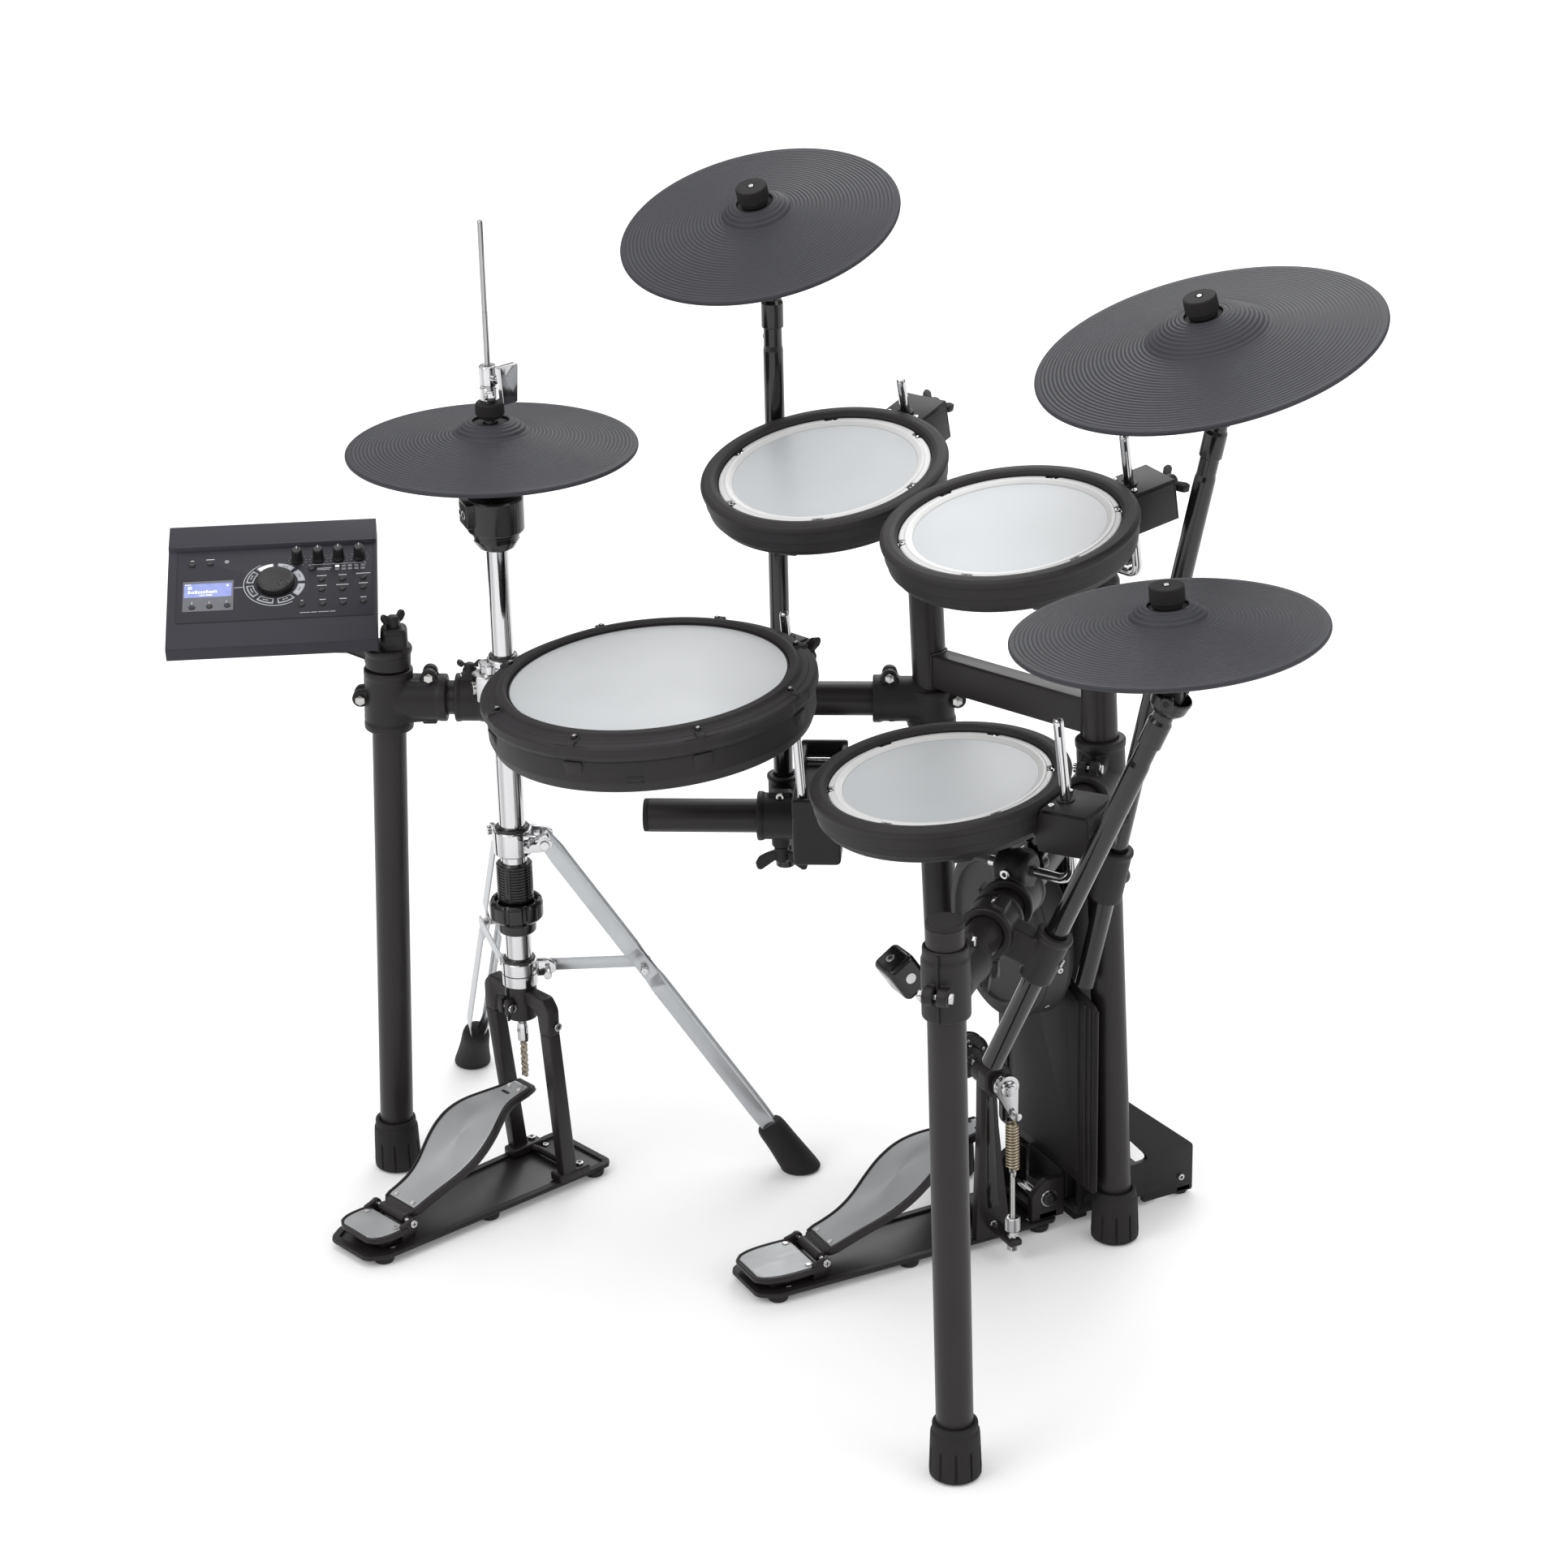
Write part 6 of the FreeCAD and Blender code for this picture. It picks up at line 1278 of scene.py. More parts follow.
b.rod(mv(Fs, (-21, -9, 72)), mv(Fs, (21, -9, 72)), 3.0, chrome, 24)
b.bolt(mv(Fs, (12, 9, 66.4)), UP, 5.0, 3.0, chrome, dark, "hex", 28)
b.done()

# locking collar beside the left leg joint
lk = ab0 + d_ab * 92
p = Piece("locking_collar", "rack", "clamp_plastic")
ring_clamp(p, lk, d_ab, 16.9, 26.3, 27.2, 4.5)
p.rod(lk - d_ab * 8 + UP * 26, lk + d_ab * 8 + UP * 26, 9.0, cast_plastic, 40, 1.4)
p.rod(lk + UP * 18, lk + UP * 36, 7.4, cast_plastic, 36, 1.0)
p.done(cast=1.1, smooth=4)
p = Piece("locking_collar_knob", "rack", "clamp_plastic")
wing_knob(p, frm(lk + UP * 33, UP, d_ab), cast_plastic, 14.0, 11.0, 6.5, 6.5)
p.bolt(lk + UP * 26 + d_ab * 7.8, d_ab, 4.4, 2.6, chrome, dark, "hex", 26)
p.bolt(lk + UP * 26 - d_ab * 7.8, -d_ab, 4.4, 2.6, chrome, dark, "hex", 26)
p.done()

# ------------------------------------------------------------------ hi-hat stand
HX, HY = -290.0, -194.0
Hp = lambda z: vec(HX, HY, z)
ha = rad(104.6)
hf, hs = vec(cos(ha), sin(ha), 0), vec(sin(ha), -cos(ha), 0)
hat_pl = frm(Hp(0), UP, hs)
zc = 889.0 + 32.5

c, zt = cymbal("hihat_rubber_cymbal", "hihat_cymbal", frm(Hp(889), UP, hs), 157.5, 40, 12, 18, hat_rubber, "hihat_cymbal")
c.done(50)

p = Piece("hihat_clutch_set", "hihat_clutch", "chrome_rod", "hihat_clutch", frm(Hp(zc), UP, hs))
p.lathe(fillet([(3.3, -22), (12.9, -22), (12.9, -10), (11.5, -9.1), (6.6, -9.1)], 0.8, 3), rubber, None, 56)
p.lathe([(6.6, -10), (6.6, 24)], chrome, None, 40)
rib2 = lambda a, rr, z: rr * (1 - (0.022 if (a * 60 / (2 * pi)) % 1.0 < 0.42 else 0.0)) if rr > 13 else rr
p.lathe(fillet([(6.0, 3.0), (12.2, 3.0), (13.0, 6.0), (15.8, 7.0), (15.4, 18.6), (13.4, 20.9), (6.0, 20.9)], [0, 0.8, 0.6, 1.0, 1.6, 1.4, 0], 4), rubber, None, 240, rib2)
p.lathe(fillet([(7.6, 20.9), (7.6, 22.4), (9.3, 22.4), (9.5, 23.4), (9.5, 36.2), (9.0, 37.0), (7.9, 37.2), (7.9, 39.0), (9.2, 39.2), (9.7, 40.0), (9.7, 59.6), (8.8, 60.9), (3.4, 60.9), (3.4, 52)], 0.35, 2), chrome, None, 64)
p.box(8.4, 14.2, -4.4, 4.4, 24.0, 35.6, chrome, rot((0, 0, 1), -28), 1.6, 3)
p.bolt(mv(rot((0, 0, 1), -28), (11.2, -4.2, 29.6)), mdir(rot((0, 0, 1), -28), (0, -1, 0)), 4.0, 2.6, steel, dark, "cross", 28)
p.lathe(fillet([(0, 0), (5.2, 0), (5.2, 5.5), (3.2, 6.2), (3.2, 16), (4.6, 16.6), (4.6, 21.0), (3.4, 22), (0, 22)], 0.5, 2), chrome, frm((9.0, 0, 48), (1, 0, 0), (0, 1, 0)), 32)
w = fillet([(-9.6, -21.5), (9.6, -21.5), (12.4, 20.6), (-12.4, 20.6)], [2.0, 2.0, 2.6, 2.6], 4, True)
p.prism(w, 0, 7.2, chrome, tr(30.0, 0, 48) @ rot((0, 0, 1), 90) @ rot((1, 0, 0), 90), 1.4, 3)
p.done()

# ground rod: its colour carries painted reflection bands, like the chrome
rod_steel = plating_with_painted_reflections("ground_rod", (0.42, 0.42, 0.425), (0.14, 0.24), 0.1)
p = Piece("hihat_pull_rod", "hihat_rod", "chrome_rod", "hihat_rod", frm(Hp(0), UP, hs))
p.lathe(fillet([(0, 186), (3.2, 186), (3.2, 500), (3.2, 840), (3.2, 1040.8), (3.0, 1041.2), (3.0, 1138.6), (1.8, 1140.8), (0, 1141)], [0, 0, 0, 0, 0.1, 0.1, 1.0, 0.8, 0], 3), rod_steel, None, 40)
p.lathe(fillet([(0, 180.2), (5.2, 180.2), (6.4, 182), (6.4, 198), (5.4, 203), (4.4, 205.8), (0, 206)], 0.8, 3), chrome, None, 48)
# painted shade: a near-black sheet for the slot through the fitting
p.box(-6.6, 6.6, -1.5, 1.5, 180.0, 190.5, dark, None, 0.2, 1)
p.bolt((0, -6.0, 194.5), (0, -1, 0), 2.4, 1.2, steel, dark, "cross", 20)
p.done()


def chain(p, x0, y0, z0, z1, w, rows, mat, pitch=6.35):
    """Roller chain hanging along z: rollers with alternate inner and outer side plates."""
    n = max(2, int(round((z1 - z0) / pitch)))
    pt = (z1 - z0) / n
    for i in range(n + 1):
        z = z0 + pt * i
        p.rod((x0 - w / 2 - 0.5, y0, z), (x0 + w / 2 + 0.5, y0, z), 1.15, mat, 14, 0.2)
        p.rod((x0 - w / 2 + 0.9, y0, z), (x0 + w / 2 - 0.9, y0, z), 1.85, mat, 16, 0.3)
    for i in range(n):
        za, zb = z0 + pt * i, z0 + pt * (i + 1)
        xs = [x0 + (k / rows - 0.5) * w for k in range(rows + 1)]
        for k, x in enumerate(xs):
            o = 0.55 if (i + k) % 2 else -0.55
            pts = [(y0 + 2.35 * cos(t) * (1.0), zb + 2.35 * sin(t)) for t in np.linspace(0, pi, 9)] + [(y0 - 1.6, (za + zb) / 2)] + [(y0 + 2.35 * cos(t), za + 2.35 * sin(t)) for t in np.linspace(pi, 2 * pi, 9)] + [(y0 + 1.6, (za + zb) / 2)]
            p.prism(pts, x + o - 0.42, x + o + 0.42, mat, np.array([[0, 0, 1, 0], [1, 0, 0, 0], [0, 1, 0, 0], [0, 0, 0, 1.0]]), 0.15, 1)


p = Piece("hihat_roller_chain", "hihat_rod", "bolt_steel", "hihat_chain", frm(Hp(0), UP, hs))
chain(p, 0, 0, 136.0, 181.0, 6.4, 2, nickel)
p.done()

p = Piece("hihat_controller", "hihat_height", "clamp_gloss", "hihat_control_unit", frm(Hp(0), UP, hs))
p.lathe(fillet([(12.5, 776.2), (15.5, 776.2), (19.8, 778.5), (24.6, 787.5), (25.0, 793.0), (26.8, 793.6), (27.0, 796.6), (30.2, 797.2), (31.2, 799.2), (31.4, 833.6), (30.2, 836.6), (25, 838.0), (23.6, 839.0), (15.2, 841.4), (5.2, 841.8), (5.2, 820)], [0, 1, 3, 3, 1, 0.6, 0.6, 0.8, 0.8, 1.5, 1.5, 1.0, 0.8, 1, 0.6, 0], 4), gloss_plastic, None, 112)
camd = unit((0.891, -0.454, 0))
lx = unit(-vec(0.454, 0.891, 0) + camd * 0.35)
F = frm(Hp(0), UP, lx)
Fl = np.linalg.inv(frm(Hp(0), UP, hs)) @ F
p.box(20, 36.6, -15, 15, 806, 834.5, gloss_plastic, Fl, 2.0, 3)
p.box(36.2, 36.9, -12, 12, 808.5, 832, dark, Fl, 0.3, 1)
p.lathe(fillet([(3.0, 0), (5.0, 0), (5.0, 1.2), (3.0, 1.2)], 0.3, 2), steel, Fl @ tr(36.6, 6, 820.5) @ rot((0, 1, 0), 90), 28)
p.lathe(fillet([(3.0, 0), (5.0, 0), (5.0, 1.2), (3.0, 1.2)], 0.3, 2), steel, Fl @ tr(36.6, -6, 820.5) @ rot((0, 1, 0), 90), 28)
for i in range(8):
    q = rot((0, 0, 1), i * 45.0 + 12)
    p.hexa([(20.0, -1.6, 780), (21.0, -1.6, 780), (21.0, 1.6, 780), (20.0, 1.6, 780), (23.6, -1.6, 787), (25.4, -1.6, 787), (25.4, 1.6, 787), (23.6, 1.6, 787)], gloss_plastic, q, 0.5, 2)
p.done(46)

p = Piece("hihat_upper_chrome_tube", "hihat_height", "chrome_rod", "hihat_upper_tube", frm(Hp(0), UP, hs))
p.lathe(fillet([(10.8, 471), (10.8, 470), (12.35, 470), (12.35, 560), (12.35, 650), (12.35, 720), (12.35, 799)], 0.3, 2), chrome, None, 72)
p.done()

p = Piece("hihat_lower_chrome_tube", "rack", "chrome_rod", "hihat_lower_tube", hat_pl)
p.lathe(fillet([(13, 213), (15, 213), (15, 300), (15, 400), (15, 520), (15, 609), (13, 609)], 0.3, 2), chrome, None, 72)
# height clamp: split collar, hinged lug and a wing screw
p.lathe(fillet([(12.6, 607.5), (17.2, 607.5), (18.4, 609), (18.4, 614), (17.4, 616), (17.4, 641), (18.4, 643), (18.4, 648.6), (17.2, 650), (12.6, 650)], 0.7, 3), chrome, None, 72)
p.lathe(fillet([(12.5, 650), (16.2, 650), (15.8, 653.2), (12.5, 653.8)], 0.6, 3), gloss_plastic, None, 56)
p.box(14, 36, -9, -1.2, 612, 645, chrome, None, 2.4, 3)
p.box(14, 36, 1.2, 9, 612, 645, chrome, None, 2.4, 3)
p.rod((30, -13, 629), (30, 16, 629), 3.6, chrome, 28)
p.bolt((30, -9.2, 629), (0, -1, 0), 6.0, 4.2, chrome, dark, "hex", 32)
for sg in (-1, 1):
    w = fillet([(0, 0), (5, 0), (12, 7), (17, 16), (13, 20), (6, 12), (0, 9)], [0, 2, 3, 3, 3, 3, 0], 4)
    p.prism(w, -2.6, 2.6, chrome, _plane((30, 13.0, 629), (sg * 0.82, 0, 0.57 * sg), (0, 1, 0)), 1.1, 2)
lug = np.linalg.inv(hat_pl) @ F
p.prism(fillet([(12, -16), (26, -16), (34, -9), (34, 9), (26, 16), (12, 16)], [0, 3, 3, 3, 3, 0], 3, True), 604, 634, chrome, lug, 2.0, 3)
p.prism(fillet([(10, -12), (22, -12), (27, -6), (27, 6), (22, 12), (10, 12)], [0, 2, 2, 2, 2, 0], 3, True), 632, 646, chrome, lug, 2.0, 3)
p.bolt(mv(lug, (33.8, 0, 618)), mdir(lug, (1, 0, 0)), 7.0, 3.4, steel, dark, "hex", 32)
p.bolt(mv(lug, (22, -15.8, 620)), mdir(lug, (0, -1, 0)), 4.6, 2.4, steel, dark, "hex", 28)
p.done()

p = Piece("hihat_threaded_sleeve", "rack", "clamp_plastic", (), hat_pl)
prof = [(15.2, 404), (18.6, 404), (19.2, 403)]
z = 402.4
while z > 360.5:
    prof += [(20.4, z), (20.4, z - 1.5), (19.3, z - 2.1), (19.3, z - 3.0)]
    z -= 3.4
prof += [(19.4, 358)]
p.lathe(prof, gloss_plastic, None, 72)
for a in (-62, 28, 118, 208):
    p.box(19.4, 20.9, -3.2, 3.2, 364, 401, gloss_plastic, rot((0, 0, 1), a), 0.5, 2)
    # painted shade: a near-black strip down each groove
    p.box(20.3, 21.0, -0.9, 0.9, 372, 395, dark, rot((0, 0, 1), a), 0.1, 1)


def grip(t, r, z):
    if r < 26.5:
        return r
    q = abs(((t * 9 / (2 * pi)) % 1.0) - 0.5) * 2
    return r - 2.6 * max(0.0, min(1.0, (0.34 - q) / 0.14))


p.lathe(fillet([(20, 334.2), (26, 334.2), (27.0, 335.0), (30.2, 338.5), (30.4, 354.5), (28.6, 358.0), (27.6, 359.0), (24.6, 359.0), (22.4, 353), (20.6, 353)], [0, 0.8, 0.8, 2, 2, 1, 0.6, 0.8, 1, 0], 4), gloss_plastic, None, 216, grip)
p.lathe(fillet([(15.2, 319.6), (20.4, 319.6), (21.5, 321.2), (21.5, 331), (20.0, 334.4), (15.2, 334.4)], 1.0, 3), gloss_plastic, None, 64)
p.done(40)

# lower collar with brace lugs
p = Piece("hihat_lower_collar", "rack", "chrome_rod", (), hat_pl)
p.lathe(fillet([(15.1, 253), (19.4, 253), (20.5, 254.2), (20.5, 281.8), (19.4, 283), (15.1, 283)], 0.8, 3), chrome, None, 72)
p.lathe(fillet([(15.1, 283), (18.4, 283), (18.6, 285.6), (17.2, 287), (15.1, 287)], 0.6, 3), gloss_plastic, None, 64)
# painted shade: a near-black line in the collar's groove
p.lathe([(20.55, 267), (20.75, 267.6), (20.55, 268.2)], dark, None, 64)
LEGS = (("right", 65.0), ("left", 169.0))
for nm, a in LEGS:
    q = np.linalg.inv(hat_pl) @ frm(Hp(268), UP, (cos(rad(a)), sin(rad(a)), 0))
    p.prism(fillet([(16, -9), (32, -9), (41, -4), (41, 4), (32, 9), (16, 9)], [0, 4, 4, 4, 4, 0], 4), 2.8, 5.6, chrome, q @ rot((1, 0, 0), 90) @ tr(0, 0, -8.4), 0.6, 2)
    p.prism(fillet([(16, -9), (32, -9), (41, -4), (41, 4), (32, 9), (16, 9)], [0, 4, 4, 4, 4, 0], 4), 2.8, 5.6, chrome, q @ rot((1, 0, 0), 90) @ tr(0, 0, -15.8), 0.6, 2)
    p.rod(mv(q, (32, 1.0, 0)), mv(q, (32, 11.6, 0)), 3.0, steel, 24)
p.done()

# sliding hub with fork ears and wing bolt
p = Piece("tripod_hub_casting", "tripod_hub", "zinc_steel", "tripod_hub", hat_pl)
p.lathe(fillet([(15.1, 415.2), (20.6, 415.2), (21.9, 416.6), (21.9, 443.4), (20.6, 444.8), (15.1, 444.8)], 1.0, 3), chrome, None, 80)
p.lathe(fillet([(15.1, 444.8), (19.4, 444.8), (19.6, 447.4), (17.6, 449), (15.1, 449)], 0.6, 3), gloss_plastic, None, 64)
for nm, a in LEGS:
    q = np.linalg.inv(hat_pl) @ frm(Hp(430), UP, (cos(rad(a)), sin(rad(a)), 0))
    for y0 in (13.2, -18.3):
        p.prism(fillet([(12, -9.5), (34, -9), (44.6, -4), (44.6, 4), (36, 9), (12, 12.5)], [0, 5, 5, 5, 5, 0], 4), -(y0 + 5.1), -y0, chrome, q @ rot((1, 0, 0), 90), 0.9, 2)
    p.rod(mv(q, (36, -19.6, 0)), mv(q, (36, 19.6, 0)), 3.4, steel, 24)
    p.bolt(mv(q, (36, -18.3, 0)), mdir(q, (0, -1, 0)), 5.6, 3.4, chrome, None, "hex", 32)
    p.bolt(mv(q, (36, 18.3, 0)), mdir(q, (0, 1, 0)), 5.6, 3.4, chrome, None, "hex", 32)
q = np.linalg.inv(hat_pl) @ frm(Hp(430), UP, (cos(rad(20)), sin(rad(20)), 0))
p.rod(mv(q, (20, 0, 3)), mv(q, (36, 0, 9)), 4.6, chrome, 32)
for sg in (-1, 1):
    w = fillet([(0, -4), (6, -4.4), (13, 1), (17.5, 10), (13, 14.5), (6, 6), (0, 5)], [0, 2, 4, 4, 3, 3, 0], 4)
    p.prism(w, -2.4, 2.4, chrome, q @ _plane((33.5, 0, 8.2), (0.25 * sg, 0.9 * sg, 0.3 * sg), (0.9, 0, 0.42)), 1.0, 2)
p.done()

foot_reach, hub_reach = 316.0, 36.0
for nm, a in LEGS:
    f = frm(Hp(430), UP, (cos(rad(a)), sin(rad(a)), 0))
    p0, tip = vec(36, 0, 0), vec(302, 0, -408)
    ld = unit(tip - p0)
    nn = vec(-ld[2], 0, ld[0])
    L = float(np.linalg.norm(tip - p0))
    lb = float((268 - 430) / ld[2])
    p = Piece("tripod_leg_%s_strip" % nm, "tripod_leg_" + nm, "zinc_steel", "tripod_leg_" + nm, f)
    ss = sorted(set(list(np.linspace(-7, L - 8, 60)) + [lb - 26, lb - 15, lb - 11, lb + 11, lb + 15, lb + 26, 22, 34, 40]))
    # two flat strips with a folded upper lip, drawn together at the brace pivot and into the boot
    def ease(u):
        u = min(1.0, max(0.0, u))
        return u * u * (3 - 2 * u)
    def spread(s):
        k = ease((abs(s - lb) - 12) / 17.0)
        e = ease((L - 24 - s) / 46.0)
        return (6.4 + 5.4 * k) * e + 5.2 * (1 - e), k * ease((s - 16) / 18.0)
    for sg in (1, -1):
        bm = bmesh.new()
        vv = []
        for s in ss:
            yo, lip = spread(s)
            c = p0 + ld * s
            hu, hl = 9.0, -8.0
            if s < 26:
                g = ease((s + 7) / 33.0)
                hu, hl = 6.4 + 2.6 * g, -6.4 - 1.6 * g
            if s < 0:
                g = math.sqrt(max(0.03, 1 - (s / 7.3) ** 2))
                hu, hl = hu * g, hl * g
            dp = 1.7 + 2.8 * lip
            sec = [(hl, yo), (hu, yo), (hu, yo - dp), (hu - 1.6, yo - dp), (hu - 1.6, yo - 1.65), (hl, yo - 1.65)]
            vv.append([bm.verts.new(tuple(c + nn * u + vec(0, sg, 0) * v)) for u, v in sec])
        for r0, r1 in zip(vv, vv[1:]):
            for j in range(6):
                bm.faces.new([r0[j], r0[(j + 1) % 6], r1[(j + 1) % 6], r1[j]])
        bm.faces.new(vv[0])
        bm.faces.new(vv[-1])
        bmesh.ops.recalc_face_normals(bm, faces=bm.faces[:])
        es = [e for e in bm.edges if len(e.link_faces) == 2 and e.calc_face_angle(0) > 0.9]
        bmesh.ops.bevel(bm, geom=es, offset=0.4, segments=2, affect="EDGES", profile=0.5, clamp_overlap=True)
        p.addbm(bm, zinc)
    p.rod((36, -12, 0), (36, 12, 0), 6.2, zinc, 32, 0.5)
    xb = 36 + 162 * 266 / 408.0
    p.rod((xb, -12.4, -162), (xb, 12.6, -162), 4.4, steel, 28, 0.6)
    p.bolt((xb, -12.0, -162), (0, -1, 0), 5.0, 2.6, chrome, None, "hex", 28)
    q0, q1 = tip - ld * 44, tip + ld * 18
    Fb = frm(q0, ld, (0, 1, 0))
    # rubber boot: round collar easing into a broad level sole
    bm = bmesh.new()
    ca, cb, cc = tip - ld * 46, tip - ld * 6, vec(tip[0] + 11.0, 0, -426.0)
    rows = [(-0.02, 0.0), (0.0, 11.6), (0.012, 14.2), (0.05, 15.9), (0.12, 16.7), (0.2, 16.9), (0.3, 17.2), (0.4, 17.6), (0.5, 18.2), (0.6, 18.9), (0.7, 19.7), (0.8, 20.6), (0.88, 21.3), (0.95, 21.8), (1.0, 22.0)]
    rows += [(1.0, 21.8, -427.6), (1.0, 21.1, -428.9), (1.0, 19.8, -429.6), (1.0, 0.0, -429.7)]
    th = np.linspace(0, 2 * pi, 48, endpoint=False)
    prev = None
    for row_ in rows:
        t_, r_ = max(row_[0], 0.0), row_[1]
        c = ca * (1 - t_) ** 2 + cb * 2 * t_ * (1 - t_) + cc * t_ * t_
        axd = unit(ld * (1 - t_) + vec(0, 0, -1) * t_)
        ux = unit(np.cross(vec(0, 1, 0), axd))
        if len(row_) > 2:
            c = vec(c[0], 0, row_[2])
        row = []
        for tt in th if r_ > 1e-6 else [0.0]:
            x = c + ux * (r_ * (1 + 0.06 * t_) * cos(tt)) + vec(0, 1, 0) * (r_ * sin(tt))
            x[2] = max(x[2], -429.7)
            row.append(bm.verts.new(tuple(x)))
        if prev is not None:
            for i in range(48):
                j = (i + 1) % 48
                q4 = [prev[i % len(prev)], prev[j % len(prev)], row[j % len(row)], row[i % len(row)]]
                q4 = [v for k, v in enumerate(q4) if v not in q4[:k]]
                if len(q4) > 2:
                    bm.faces.new(q4)
        prev = row
    bmesh.ops.remove_doubles(bm, verts=bm.verts[:], dist=1e-4)
    p.addbm(bm, rubber)
    p.done(34)
    fb = frm(Hp(268), UP, (cos(rad(a)), sin(rad(a)), 0))
    p = Piece("tripod_brace_%s_strip" % nm, "tripod_brace_" + nm, "zinc_steel", "tripod_brace_" + nm, fb)
    xe = 36 + 162 * 266 / 408.0
    o = [(32 - 7.8, 0)] + [(32 + 7.8 * cos(t), 7.8 * sin(t)) for t in np.linspace(pi, pi * 1.5, 7)][1:] + [(46, -7.4), (xe - 14, -7.4)] + [(xe + 7.8 * cos(t), 7.8 * sin(t)) for t in np.linspace(-pi / 2, pi / 2, 13)] + [(xe - 14, 7.4), (46, 7.4)] + [(32 + 7.8 * cos(t), 7.8 * sin(t)) for t in np.linspace(pi / 2, pi, 7)][:-1]
    for sg in (1,):
        p.prism(o, -14.6 if sg > 0 else 12.8, -12.8 if sg > 0 else 14.6, zinc, rot((1, 0, 0), 90), 0.5, 2)
    p.rod((32, -14.9, 0), (32, 14.9, 0), 3.0, steel, 20)
    p.bolt((32, 14.4, 0), (0, 1, 0), 4.6, 2.2, chrome, None, "hex", 26)
    p.bolt((32, -14.4, 0), (0, -1, 0), 4.6, 2.2, chrome, None, "hex", 26)
    p.bolt((xe, -14.4, 0), (0, -1, 0), 4.6, 2.2, chrome, None, "hex", 26)
    p.done()

# ------------------------------------------------------------------ pedals
kick_pl = tr(62.0, 0, 0)
axle = vec(0, 186.0, 219.0)
board_half = [29, 28.5, 28.5, 30, 33.5, 38.5, 43, 46, 46.2, 44, 38.5, 31, 24, 20, 18.5, 18]
rise = [0, -0.12, -0.17, -0.06, 0.26, 0.63, 0.92, 1.0, 0.80, 0.38, 0]


def arch(t):
    u = min(max(t, 0.0), 1.0) * 10
    i = min(int(u), 9)
    f = u - i
    a, b = rise[i], rise[i + 1]
    ma = (b - rise[i - 1]) / 2 if i > 0 else b - a
    mb = (rise[i + 2] - a) / 2 if i < 9 else b - a
    return 17.0 * ((2 * f ** 3 - 3 * f * f + 1) * a + (f ** 3 - 2 * f * f + f) * ma + (3 * f * f - 2 * f ** 3) * b + (f ** 3 - f * f) * mb)


def strip_mesh(p, ys, half, top, bot, mat, M, inset=0.0, crown=0.0, cols=17, bev=0.7):
    """Solid blade: plan half-widths and top and bottom height along y."""
    bm = bmesh.new()
    T, B = [], []
    for y, h, zt_, zb_ in zip(ys, half, top, bot):
        h = h - inset
        rt_, rb_ = [], []
        for j in range(cols):
            u = -1 + 2.0 * j / (cols - 1)
            rt_.append(bm.verts.new((u * h, y, zt_ + crown * (1 - u * u))))
            rb_.append(bm.verts.new((u * h, y, zb_)))
        T.append(rt_)
        B.append(rb_)
    n = len(T)
    for i in range(n - 1):
        for j in range(cols - 1):
            bm.faces.new([T[i][j], T[i][j + 1], T[i + 1][j + 1], T[i + 1][j]])
            bm.faces.new([B[i][j], B[i + 1][j], B[i + 1][j + 1], B[i][j + 1]])
        bm.faces.new([T[i][0], T[i + 1][0], B[i + 1][0], B[i][0]])
        bm.faces.new([T[i][-1], B[i][-1], B[i + 1][-1], T[i + 1][-1]])
    for i in (0, n - 1):
        for j in range(cols - 1):
            bm.faces.new([T[i][j], T[i][j + 1], B[i][j + 1], B[i][j]])
    bmesh.ops.recalc_face_normals(bm, faces=bm.faces[:])
    if bev:
        es = [e for e in bm.edges if len(e.link_faces) == 2 and e.calc_face_angle(0) > 0.8]
        bmesh.ops.bevel(bm, geom=es, offset=bev, segments=2, affect="EDGES", profile=0.5, clamp_overlap=True)
    p.addbm(bm, mat, M)


def smooth_half(t, ctrl):
    x = np.linspace(0, 1, len(ctrl))
    a = np.interp(t, x, ctrl)
    k = np.ones(5) / 5
    pad_ = np.concatenate([[a[0]] * 2, a, [a[-1]] * 2])
    return np.convolve(pad_, k, "valid")


